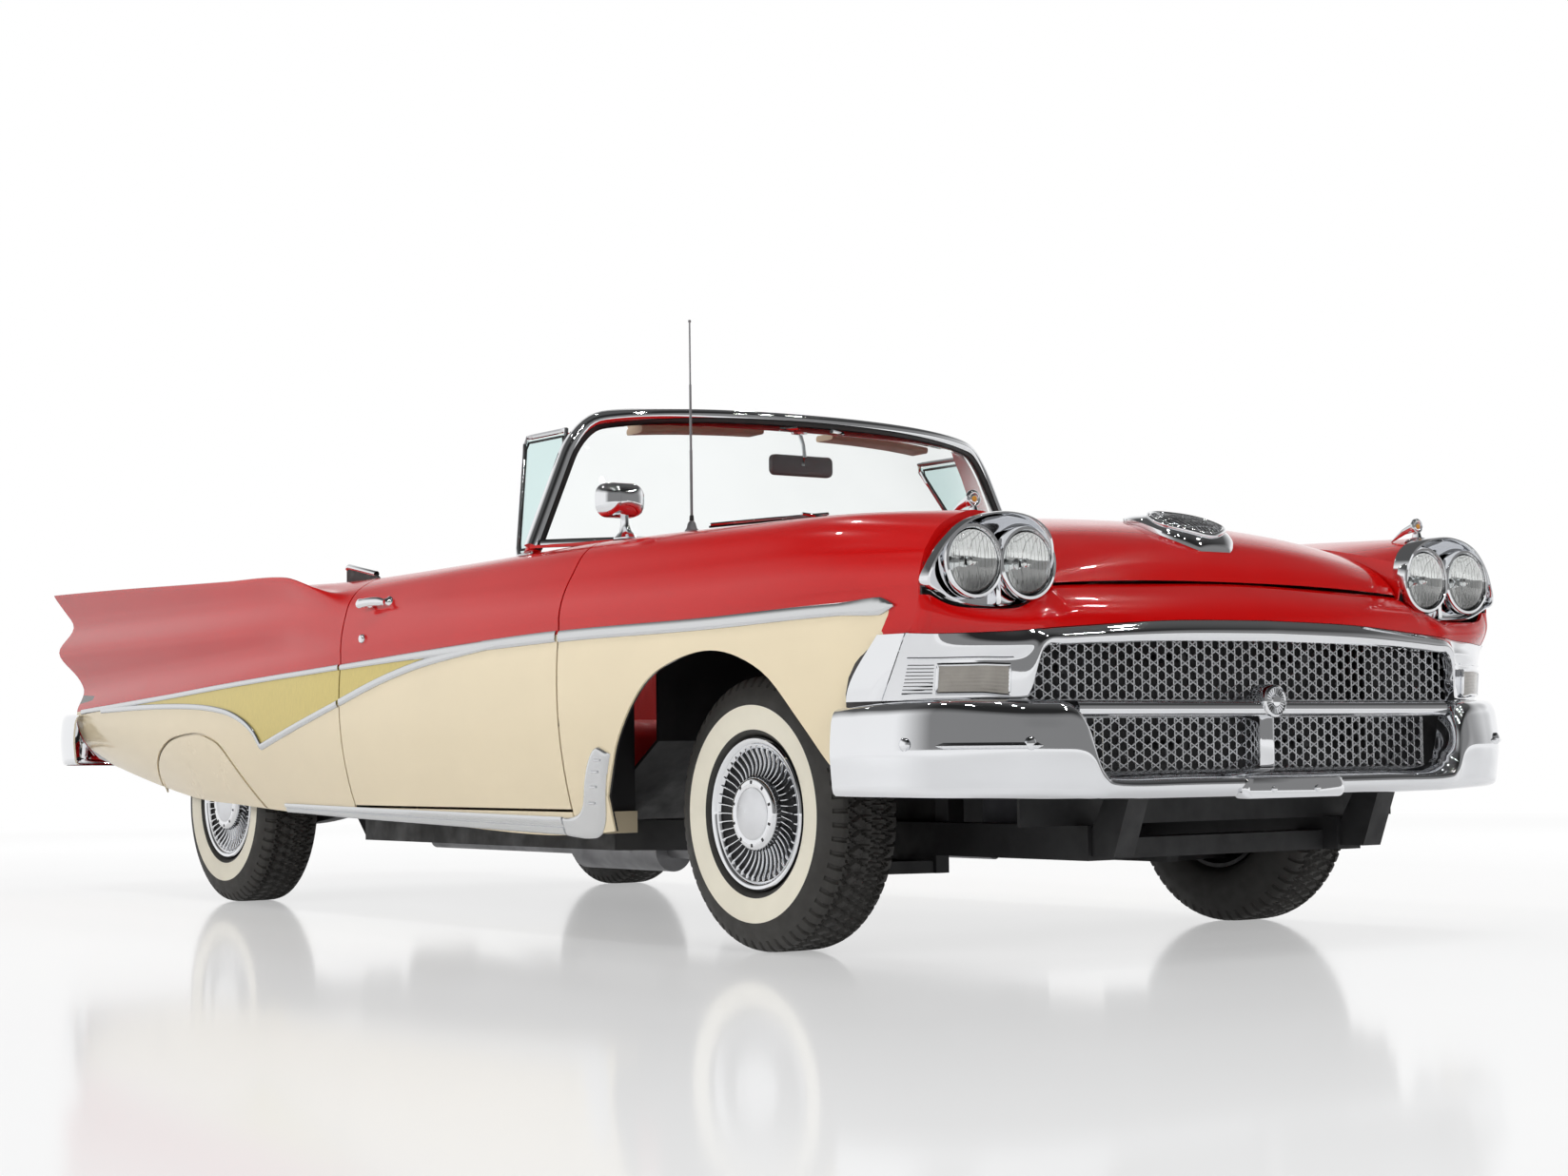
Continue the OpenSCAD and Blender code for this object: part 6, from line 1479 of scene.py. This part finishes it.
def vent_pt(a, t, d=0.0):
    return (mix(mix(-1020, -1100, a), mix(-1045, -1270, a), t), -mix(828, 700, t) + d, mix(VENT_LOW, 1335, t))


vf = Shape()
corners = [vent_pt(0, 0.0, 7), vent_pt(0, 1, 7), vent_pt(1, 1, 7), vent_pt(1, 0.0, 7)]
loop = []
for i in range(4):
    a, b = np.array(corners[i]), np.array(corners[(i + 1) % 4])
    loop += [tuple(mix(a, b, t)) for t in steps(0.06, 0.94, 10)]
vf.tube(loop, 7.5, 8, 0, True)
inner = [tuple(mix(np.array(q), np.mean(corners, axis=0), 0.10)) for q in loop]
vf.tube(inner, 4.0, 6, 1, True)
vf.tube([vent_pt(0.55, 0.06, 14), vent_pt(0.6, 0.12, 22), vent_pt(0.75, 0.12, 22)], 4, 8, 0)
vent_a, vent_t = steps(0.03, 0.97, 4), steps(0.03, 0.97, 6)
pane = Shape().skin([[vent_pt(a, t, 5.5) for t in vent_t] for a in vent_a],
                    [[vent_pt(a, t, 9.5) for t in vent_t] for a in vent_a])
for side, s, q in (("right", vf, pane), ("left", vf.mirrored(), pane.mirrored())):
    s.make("vent_frame_" + side, "door_unit_" + side, [M_CHROME, M_RUBBER], "chrome", ("vent_" + side,), 40)
    q.make("vent_pane_" + side, "door_unit_" + side, [M_TINT], "glass", (), 40)

# Wheels and tyres
R_T, W_T, RIM = 320.0, 204.0, 177.6
PROF = [(0.557, -0.37), (0.60, -0.46), (0.70, -0.50), (0.82, -0.49), (0.91, -0.44), (0.97, -0.385),
        (0.992, -0.33), (1, -0.2), (1, 0.2), (0.992, 0.33), (0.97, 0.385), (0.91, 0.44), (0.82, 0.49),
        (0.70, 0.50), (0.60, 0.46), (0.557, 0.37)]
GROOVES = ((-0.55, 1), (-0.18, -1), (0.18, 1), (0.55, -1))
WHITEWALL = (194, 252)
# Points and tread blocks round a tyre, and how deep its grooves and shoulder slots are
AROUND, BLOCKS, GROOVE_DEEP, SHOULDER_DEEP = 480, 60, 7.0, 3.0


def tyre_mesh():
    pts = []
    for s in steps(0, 15, 150):
        q = curve_at(PROF, s)
        pts.append((float(q[0]) * R_T, float(q[1]) * W_T))
    ring = []
    for k in range(AROUND):
        a = 2 * math.pi * k / AROUND
        row = []
        for r, h in pts:
            u = h / (W_T * 0.40)
            depth = 0.0
            if abs(u) < 1.08 and r > 0.90 * R_T:
                zig = 0.16 * (abs((k * BLOCKS / AROUND) % 1 - 0.5) * 4 - 1)
                groove = any(abs(u - c - zig * w) < 0.07 for c, w in GROOVES)
                band = int((u + 1.1) / 0.37)
                slot = ((k * BLOCKS / AROUND + 0.33 * band + 0.18 * u * (1 if band % 2 else -1)) % 1) < 0.22
                if groove or (slot and abs(u) > 0.1):
                    depth = GROOVE_DEEP
            elif r > 0.93 * R_T and ((k * BLOCKS / AROUND) % 1) < 0.2:
                depth = SHOULDER_DEEP
            rr = r - depth
            row.append((rr * math.cos(a), rr * math.sin(a), h))
        ring.append(row)
    n, m = len(ring), len(pts)
    verts = [p for r in ring for p in r]
    s = Shape()
    faces, fm = [], []
    for i in range(n):
        b = (i + 1) % n
        for j in range(m - 1):
            faces.append((i * m + j, b * m + j, b * m + j + 1, i * m + j + 1))
            r, h = (pts[j][0] + pts[j + 1][0]) / 2, (pts[j][1] + pts[j + 1][1]) / 2
            fm.append(1 if h > 0 and WHITEWALL[0] < r < WHITEWALL[1] else 0)
        faces.append((i * m + m - 1, b * m + m - 1, b * m, i * m))
        fm.append(0)
    s.v, s.f, s.m = verts, faces, fm
    return s.lathe([(251, 99.6), (254, 101.5), (257, 101.0), (258, 98.0)], upright(0, 0, 0), 120, 0)


FINS, FIN_IN, FIN_OUT = 44, 74, 156


def wheel_mesh():
    s = Shape()
    own = upright(0, 0, 0)
    half = 86.0
    sec = [(32, 0.23), (32, -0.68), (0.73 * RIM, -0.68), (0.73 * RIM, -0.14), (0.845 * RIM, -0.14),
           (0.845 * RIM, -0.58), (0.945 * RIM, -0.72), (0.945 * RIM, -1), (RIM, -1), (RIM, -0.66),
           (0.89 * RIM, -0.52), (0.89 * RIM, 0.52), (RIM, 0.66), (RIM, 1), (0.945 * RIM, 1),
           (0.945 * RIM, 0.72), (0.845 * RIM, 0.58), (0.845 * RIM, 0.06), (0.30 * RIM, 0.06),
           (0.30 * RIM, 0.23)]
    s.lathe([(r, h * half) for r, h in sec], own, 72, 1)
    # Dish behind the fins, near black as painted shade between them
    dish = [(40, 80), (62, 74), (90, 62), (120, 62), (150, 74), (164, 84)]
    under = [(164, 78), (150, 68), (120, 56), (90, 56), (62, 66), (40, 72)]
    s.lathe(dish + under, own, 88, 1)
    # Outer ring
    ring = [(160, 82), (163, 87), (168, 90.5), (174, 91.5), (177.2, 88), (177.2, 78), (170, 80)]
    s.lathe(ring, own, 120, 0)
    s.lathe([(152, 80), (155, 84), (160, 86), (162, 82), (158, 78)], own, 120, 0)
    # Fins sweep from the ring down to the hub drum
    for c, q in circle(FINS):
        rings = []
        for r in steps(FIN_IN, FIN_OUT, 10):
            t = (r - FIN_IN) / (FIN_OUT - FIN_IN)
            h = 82 - 13 * math.sin(math.pi * min(1, t * 1.15)) ** 0.8 + 2 * t
            sw = 10 * (1 - t) ** 2.5
            w = mix(1.7, 2.6, t)
            fin = ((-w, 0), (-w * 0.4, 3), (w * 0.4, 3), (w, 0), (w, -9), (-w, -9))
            rings.append([(r * c - (sw + d) * q, r * q + (sw + d) * c, h + e) for d, e in fin])
        s.loft(rings, 0)
    # Hub drum with small slots, near black as painted shade, and a satin centre
    drum = [(50, 64), (86, 64), (86, 90), (83, 97), (78, 100.5), (66, 101.5), (62, 99.5), (50, 99.5)]
    s.lathe(drum, own, 80, 0)
    s.lathe([(0, 98), (61, 98), (61, 100), (57, 101.6), (14, 102.6), (0, 103)], own, 64, 2)
    for k in range(10):
        a = 2 * math.pi * (k + 0.5) / 10
        t = Matrix.Rotation(a, 3, "Z")
        s.block((69, -3, 98), (77, 3, 101.9), 1, t)
        s.block((82, -5, 74), (87, 5, 84), 1, t)
    return s


WHEELS = (("front_right", 0, -749.5), ("front_left", 0, 749.5),
          ("rear_right", -WHEELBASE, -716.5), ("rear_left", -WHEELBASE, 716.5))
DRESS = (("tyre", tyre_mesh(), [M_TYRE, M_WHITE], "tyre", 32),
         ("wheel", wheel_mesh(), [M_CHROME, M_DARK_AND_SHADE, M_SATIN], "bare_steel", 38))
meshes = {}
for place, x, y in WHEELS:
    turn = Matrix.Rotation(math.radians(90 if y < 0 else -90), 4, "X")
    for kind, shape, mats, slot, sharp in DRESS:
        name = "dressed_%s_%s" % (kind, place)
        if kind in meshes:
            ob = bpy.data.objects.new(name, meshes[kind])
            bpy.context.scene.collection.objects.link(ob)
        else:
            ob = shape.make(name, None, mats, None, (), sharp, local=True)
            meshes[kind] = ob.data
        ob.matrix_world = Matrix.Translation(Vector((AXLE + x, y, R_T)) * 0.001) @ turn
        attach(ob, "roll_" + place)
        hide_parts(kind + "_" + place)

# Cabin
PINCH, SEAM_AXIS, SEAM_WIDE = 6.0, 1, 0.13


def pad(lo, hi, r, n, crown, seams, seam_depth, top=2, turn=None, about=None):
    """A crowned cushion: rounded edges, sides that pull in between the corners, sewn channels on one face."""
    lo, hi = np.array(lo, float), np.array(hi, float)
    c, h = (lo + hi) / 2, (hi - lo) / 2
    index, verts, faces = {}, [], []

    def vid(i, j, k):
        key = (i, j, k)
        if key in index:
            return index[key]
        q = np.array([i / n[0], j / n[1], k / n[2]]) * 2 - 1
        p = q * h
        inner = np.clip(p, -(h - r), h - r)
        d = p - inner
        size = np.linalg.norm(d)
        p = inner + d / size * r if size > 1e-9 else p
        u = p / h
        o = [a for a in range(3) if a != top]
        puff = (1 - u[o[0]] ** 2) * (1 - u[o[1]] ** 4)
        if u[top] > 0:
            p[top] += crown * puff * u[top]
            wv = (u[SEAM_AXIS] + 1) / 2 * seams
            near = abs(wv - round(wv))
            if abs(u[o[0]]) < 0.86 and abs(u[o[1]]) < 0.97:
                p[top] -= seam_depth * math.exp(-(near / SEAM_WIDE) ** 2) * u[top]
        for a in o:
            p[a] -= PINCH * math.copysign(1, u[a]) * (1 - u[top] ** 2) * (abs(u[a]) ** 6)
        p = p + c
        index[key] = len(verts)
        verts.append(p)
        return index[key]

    for ax in range(3):
        o = [a for a in range(3) if a != ax]
        for end in (0, n[ax]):
            for i in range(n[o[0]]):
                for j in range(n[o[1]]):
                    quad = []
                    for di, dj in ((0, 0), (1, 0), (1, 1), (0, 1)):
                        k = [0, 0, 0]
                        k[ax], k[o[0]], k[o[1]] = end, i + di, j + dj
                        quad.append(vid(*k))
                    faces.append(quad)
    if turn is not None:
        a0 = np.array(about, float)
        m = np.array(turn)
        verts = [m @ (v - a0) + a0 for v in verts]
    return Shape().add(verts, faces)


def cushion(name, shape, mat, node=None):
    ob = shape.make(name, "shell", [mat], "upholstery", ((node,) if node else ()), 60, subdiv=1)


# Front edge, depth and half width of the benches, and how thick their backs are
SF, SD, SW = -1230.0, 500.0, 690.0
RF, RD, RW = -2140.0, 340.0, 560.0
BT = 130.0
tilt = Matrix.Rotation(math.radians(-12), 3, "Y")
piv = (SF - SD, 0, 400.0)
seat = pad((SF - SD + 6, -SW + 6, 380), (SF - 4, SW - 6, 552), 38, (12, 112, 6), 9, 22, 9)
cushion("front_cushion", seat, M_SEAT, "front_seat")
back_low, back_high = (SF - SD - BT + 6, -SW + 6, 428), (SF - SD - 4, SW - 6, 880)
seat_back = pad(back_low, back_high, 36, (6, 112, 14), 8, 22, 8, 0, tilt, piv)
cushion("front_backrest", seat_back, M_SEAT)
welt = Shape()
roll = [Vector((SF - SD - BT / 2, y, 868)) for y in steps(-SW + 40, SW - 40, 40)]
roll = [tuple(tilt @ (q - Vector(piv)) + Vector(piv)) for q in roll]
welt.tube(roll, [20] + [44] * 39 + [20], 14, 0, flat=1.15)
cushion("front_back_roll", welt, M_SEAT2)
base_s = Shape()
base_s.block((SF - SD + 30, -640, 300.4), (SF - 40, 640, 378), 0, soft=8)
base_s.make("seat_riser", "shell", [M_DARK_AND_SHADE], "black_metal")
seat = pad((RF - RD + 4, -RW + 4, 424), (RF - 4, RW - 4, 536), 34, (10, 96, 5), 8, 18, 8)
cushion("rear_cushion", seat, M_SEAT, "rear_seat")
seat_back = pad((RF - RD - BT + 4, -RW + 4, 428), (RF - RD - 2, RW - 4, 868), 34, (5, 96, 14), 7, 18, 8, 0)
cushion("rear_backrest", seat_back, M_SEAT)

# Folded top under its cover
COVER_HALF = 743
bo = []
for u in steps(0, 1, 34):
    row = []
    for v in steps(-1, 1, 80):
        z = mix(888, 1006, math.sin(math.pi * u) ** 0.7 * 0.72 + 0.28 - 0.28 * abs(v) ** 3)
        z += 2.2 * math.sin(v * 23 + u * 5) * math.sin(math.pi * u) - 4 * math.exp(-((u - 0.52) / 0.03) ** 2)
        row.append((mix(-2442, -2718, u), COVER_HALF * v, z))
    bo.append(row)
boot = Shape().skin(bo, [[(x, y, 881) for x, y, z in r] for r in bo])
boot = boot.make("top_cover", "shell", [M_CLOTH], "cloth", ("top_boot",), 60)


def on_cover(v):
    """Places a snap on the cover's sloping front edge."""
    return lambda a, b, h: (-2448 + a * 0.4 + h * 0.9, COVER_HALF * v + b, 902 + a)


snaps = Shape()
for v in steps(-0.95, 0.95, 16):
    snaps.lathe([(0, 0), (6, 0), (5, 3), (0, 4)], on_cover(v), 12)
snaps.make("cover_snaps", "shell", [M_CHROME], "chrome", (), 40)

# Dashboard
DASH_HALF, DASH_HIGH, DIAL_Z, KNOB_Z = 770, 255, 905, 880
DS = [(0.05, 0.0), (0.75, 0.03), (1, 0.15), (0.92, 0.6), (0.72, 1.0)]
DI = [(0.05, 0.08), (0.70, 0.12), (0.85, 0.22), (0.80, 0.6), (0.64, 0.97)]


def dash_pt(v, c):
    y = v * DASH_HALF
    k = (abs(y) / G_HALF[0]) ** G_ROUND
    x0 = mix(G_MID[0], G_END[0], k)
    x1 = min(mix(-800, -930, v * v), x0 - 60)
    return (mix(x0, x1, c[0]), y, G_LOW - COWL_WALL - 0.5 - DASH_HIGH * c[1])


dg = [[dash_pt(v, curve_at(DS, s)) for s in steps(0, 4, 28)] for v in steps(-1, 1, 48)]
dh = [[dash_pt(v, curve_at(DI, s)) for s in steps(0, 4, 28)] for v in steps(-1, 1, 48)]
Shape().skin(dg, dh).make("dash_panel", "shell", [M_RED], "red_paint", ("dashboard",), 45)
dd = Shape()
for y0, r0 in ((390, 74), (270, 38), (510, 38)):
    xx = -818 - 40 * (y0 / DASH_HALF) ** 2
    dial = facing(xx - 4, y0, DIAL_Z, -1)
    dd.lathe([(0, 0), (r0, 0), (r0, 10), (r0 - 5, 14), (r0 - 9, 10), (r0 - 10, 4), (0, 5)], dial, 40, 0)
    dd.lathe([(0, 5), (r0 - 11, 5), (r0 - 11, 7), (0, 7.5)], dial, 40, 1)
dd.block((-838, -640, 868), (-800, -180, 880), 0, soft=4)
for y0 in (-60, 0, 60, 120):
    dd.lathe([(0, 0), (11, 0), (13, 14), (11, 20), (0, 21)], facing(-796, y0, KNOB_Z, -1), 20, 0)
dd.make("dash_dials", "shell", [M_CHROME, M_DARK_AND_SHADE], "chrome", (), 40)

# Steering wheel and column
tilt_c = math.radians(28)
ux = Vector((-math.cos(tilt_c), 0, math.sin(tilt_c)))
e1 = Vector((0, 1, 0))
e2 = ux.cross(e1)
hub = Vector((-1130, 390, 860))
RIM_R = 203


def on_column(a, b, h):
    return tuple(hub + e1 * a + e2 * b + ux * h)


def on_wheel(r, t, h):
    return on_column(r * math.cos(t), r * math.sin(t), h)


sw = Shape()
sw.tube([on_wheel(RIM_R, t, 50 + 1.2 * math.cos(60 * t)) for t in full_turn(120)], 11, 12, 0, True)
sw.lathe([(0, 0), (36, 0), (40, 8), (40, 40), (30, 50), (0, 54)], on_column, 40, 0)
for t in (0, math.pi):
    spoke = [on_wheel(r, t, 44 + 4 * (r / RIM_R)) for r in steps(30, 200, 10)]
    sw.tube(spoke, [12, 11, 10, 9, 9, 8, 8, 8, 8, 9, 10], 10, 0)
sw.tube([on_wheel(150, t, 38) for t in steps(math.pi, 2 * math.pi, 40)], 4, 8, 1)
sw.lathe([(0, 54), (24, 54), (22, 59), (0, 61)], on_column, 32, 1)
sw.make("steering_rim", "steering_unit", [M_SEAT2, M_CHROME], "cream_paint", ("steering_wheel",), 40)

# Door cards
CARD_Z, PLEAT_Z, PLEAT = (370, 930), (420, 720), 60
for side, way in (("right", -1), ("left", 1)):
    card, back = [], []
    for x in steps(DOOR_FRONT - 60, DOOR_REAR + 60, 60):
        zs = steps(*CARD_Z, 24)
        wave = 3.0 * abs(math.sin((x - DOOR_FRONT) / PLEAT * math.pi))
        pleat = [wave if PLEAT_Z[0] < z < PLEAT_Z[1] else 1.0 for z in zs]
        card.append([(x, way * (CABIN_HALF - 6 - p), z) for z, p in zip(zs, pleat)])
        back.append([(x, way * (CABIN_HALF - 1.0), z) for z in zs])
    body = "door_unit_" + side
    ob = Shape().skin(card, back).make("door_card_" + side, body, [M_SEAT], "upholstery", (), 60)
    tr = Shape()
    for z in (412, 728):
        line = [(x, way * (CABIN_HALF - 10), z) for x in steps(DOOR_FRONT - 70, DOOR_REAR + 70, 4)]
        tr.tube(line, 5, 8, 0, flat=0.6)
    rest = [(x, way * (CABIN_HALF - 8 - 18 * math.sin(math.pi * t)), 690)
            for t, x in zip(steps(0, 1, 20), steps(-1180, -1500, 20))]
    tr.tube(rest, 22, 12, 1, flat=0.8)
    boss = sideways(-900, way * (CABIN_HALF - 8), 640, -way)
    tr.lathe([(0, 0), (22, 0), (20, 8), (9, 12), (0, 14)], boss, 24)
    crank = [(-900, way * (CABIN_HALF - deep), z) for deep, z in ((20, 640), (26, 600), (38, 588))]
    tr.tube(crank, [7, 6, 8], 10)
    tr.make("door_fittings_" + side, body, [M_CHROME, M_SEAT2], "chrome", (), 40)

# Tail
TAIL_LENS = [(0, -60), (50, -60), (51, 0), (48, 6), (40, 12), (24, 16), (23, 13), (12, 16), (0, 17.5)]
tl = Shape()
trm = Shape()
tlo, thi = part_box("tail_lamps")
tz = (tlo.z + thi.z) / 2 * 1000
txf = tlo.x * 1000 - AXLE
for ty in (700.0, 812.0):
    at = facing(txf + 18, -ty, tz, -1)
    tl.lathe(TAIL_LENS, at, 48)
    trm.lathe([(51.5, -20), (57, -20), (58, -2), (55, 5), (51.5, 4)], at, 56)
tl.both().make("tail_lenses", "shell", [M_TAIL], "lamp_red", ("tail_lamps",), 35)
trm.both().make("tail_rims", "shell", [M_CHROME], "chrome", (), 40)
lidt = Shape()
lidt.tube([(LID_X - LID_L - 4, y, 872) for y in steps(-420, 420, 20)], [3] + [8] * 19 + [3], 10)
lidt.lathe([(0, 0), (17, 0), (15, 6), (0, 8)], facing(LID_X - LID_L * 1.005 - 2, 0, 800, -1), 28)
lidt.make("lid_trim", "lid_unit", [M_CHROME], "chrome", (), 40)

# Remaining solids keep their shape and take a finish, most of them black
FINISH = {"body_posts": M_POST, "tail_panel": M_RED, "steering_column": M_RED, "engine": M_IRON,
          "driveline": M_STEEL, "exhaust": M_STEEL, "fuel_tank": M_STEEL}
for name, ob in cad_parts.items():
    if not ob.hide_render:
        ob.data.materials.clear()
        ob.data.materials.append(FINISH.get(name, M_BLACK))

# Stage, light, camera
FLOOR_COLOUR = (0.91, 0.915, 0.92)
FLOOR_SIZE = 60.0
FLOOR_FADE = (3.5, 11.0)
FLOOR_GLOW = 0.4
WALL_TOP = (0.33, 0.58)
WALL_LIGHT = 0.62
CEILING = 0.10
FRONT_SIDE = (-0.05, 0.5)
FRONT_LIGHT = 0.25


def seen_directly(nt):
    """One for rays from the camera, from mirrors and through glass, and zero for the light on matt things."""
    path = nt.nodes.new("ShaderNodeLightPath")
    seen = path.outputs["Is Camera Ray"]
    for kind in ("Is Glossy Ray", "Is Transmission Ray"):
        seen = combine(nt, "MAXIMUM", seen, path.outputs[kind])
    return seen


def floor_gloss():
    """A polished pale floor that turns into the wall's white far from the car."""
    m, nt, b = new_mat("floor_gloss")
    cloud = ramp(nt, noise(nt, coords(nt), 0.6), 0, 1)
    pale = blend_col(nt, cloud, tone(FLOOR_COLOUR, 0.99), tone(FLOOR_COLOUR, 1.01))
    nt.links.new(pale, b.inputs["Base Color"])
    fill(b, {"Roughness": 0.09, "Specular IOR Level": 0.12})
    geo = nt.nodes.new("ShaderNodeNewGeometry")
    dist = nt.nodes.new("ShaderNodeVectorMath")
    dist.operation = "LENGTH"
    nt.links.new(geo.outputs["Position"], dist.inputs[0])
    fade = ramp(nt, dist.outputs["Value"], FLOOR_GLOW, 1, *FLOOR_FADE)
    far = combine(nt, "MULTIPLY", fade, seen_directly(nt))
    glow = nt.nodes.new("ShaderNodeEmission")
    both = nt.nodes.new("ShaderNodeMixShader")
    nt.links.new(far, both.inputs[0])
    nt.links.new(b.outputs[0], both.inputs[1])
    nt.links.new(glow.outputs[0], both.inputs[2])
    nt.links.new(both.outputs[0], nt.nodes["Material Output"].inputs["Surface"])
    return m


def studio_floor():
    me = bpy.data.meshes.new("floor")
    e = FLOOR_SIZE
    me.from_pydata([(-e, -e, 0), (e, -e, 0), (e, e, 0), (-e, e, 0)], [], [(0, 1, 2, 3)])
    me.materials.append(floor_gloss())
    ob = bpy.data.objects.new("floor", me)
    bpy.context.scene.collection.objects.link(ob)


def studio_world():
    """White walls that fade to a dim ceiling; chrome also shows that the room is dimmer ahead of the car."""
    world = bpy.data.worlds.new("studio")
    bpy.context.scene.world = world
    world.use_nodes = True
    nt = world.node_tree
    way = nt.nodes.new("ShaderNodeTexCoord")
    parts = nt.nodes.new("ShaderNodeSeparateXYZ")
    nt.links.new(way.outputs["Generated"], parts.inputs[0])
    room = ramp(nt, parts.outputs["Z"], 1.0, CEILING, *WALL_TOP)
    level = ramp(nt, seen_directly(nt), WALL_LIGHT, 1.0, 0, 1)
    lit = combine(nt, "MULTIPLY", room, level)
    path = nt.nodes.new("ShaderNodeLightPath")
    dimmer = ramp(nt, parts.outputs["X"], 0, 1 - FRONT_LIGHT, *FRONT_SIDE)
    loss = combine(nt, "MULTIPLY", path.outputs["Is Glossy Ray"], dimmer)
    lost = combine(nt, "MULTIPLY", lit, loss)
    nt.links.new(combine(nt, "SUBTRACT", lit, lost), nt.nodes["Background"].inputs["Strength"])
    fill(nt.nodes["Background"], {"Color": (1, 1, 1, 1)})


def lamp(name, loc, target, size, power, mirrored):
    """An area lamp; mirrored says whether chrome and paint show it."""
    d = bpy.data.lights.new(name, "AREA")
    d.energy = power
    d.shape = "RECTANGLE"
    d.size, d.size_y = size
    o = bpy.data.objects.new(name, d)
    o.location = loc
    o.rotation_euler = (Vector(target) - Vector(loc)).to_track_quat("-Z", "Y").to_euler()
    o.visible_glossy = mirrored
    o.visible_transmission = False
    bpy.context.scene.collection.objects.link(o)


studio_floor()
studio_world()
for side in (-1, 1):
    lamp("strip_%d" % (side + 1), (0.4, 1.9 * side, 4.6), (0.4, 0.7 * side, 0.6), (6.0, 0.5), 45, False)
lamp("side_light", (1.0, -7.5, 3.0), (0.3, -0.9, 0.6), (6.0, 2.0), 190, False)
lamp("far_side_light", (0.0, 7.5, 3.0), (0.3, 0.9, 0.6), (6.0, 2.0), 170, False)
lamp("front_light", (8.5, -1.5, 3.0), (2.4, 0, 0.6), (3.0, 1.5), 110, False)
lamp("rear_light", (-8.0, 1.5, 3.0), (-2.4, 0, 0.6), (3.0, 1.5), 110, False)
for i, x in enumerate((-1.8, 2.4, 3.6, 4.8)):
    for j, y in enumerate((-2.4, 0.2, 2.6)):
        lamp("ceiling_spot_%d_%d" % (i, j), (x, y, 4.8), (x, y, 0), (0.15, 0.15), 7, True)

# Camera fitted to the photograph: millimetres from the front axle, degrees, and pixels of its width
EYE = (4869, -4320, 461)
AZIMUTH, PITCH, ROLL_ANGLE = math.radians(53.75), math.radians(2.9), math.radians(-0.73)
PHOTO_W, FOCAL, RAISE, SENSOR = 1648, 2717, 35, 36
cam = bpy.data.cameras.new("camera")
co = bpy.data.objects.new("camera", cam)
bpy.context.scene.collection.objects.link(co)
fwd = Vector((-math.sin(AZIMUTH) * math.cos(PITCH), math.cos(AZIMUTH) * math.cos(PITCH), math.sin(PITCH)))
right = Vector((math.cos(AZIMUTH), math.sin(AZIMUTH), 0))
up = right.cross(fwd)
cam_x = right * math.cos(ROLL_ANGLE) + up * math.sin(ROLL_ANGLE)
cam_y = -right * math.sin(ROLL_ANGLE) + up * math.cos(ROLL_ANGLE)
look = Matrix((cam_x, cam_y, -fwd)).transposed().to_4x4()
look.translation = Vector((EYE[0] + AXLE, EYE[1], EYE[2])) * 0.001
co.matrix_world = look
cam.sensor_width = SENSOR
cam.lens = SENSOR * FOCAL / PHOTO_W
cam.shift_y = RAISE / PHOTO_W
bpy.context.scene.camera = co
bpy.context.scene.view_settings.view_transform = "Standard"
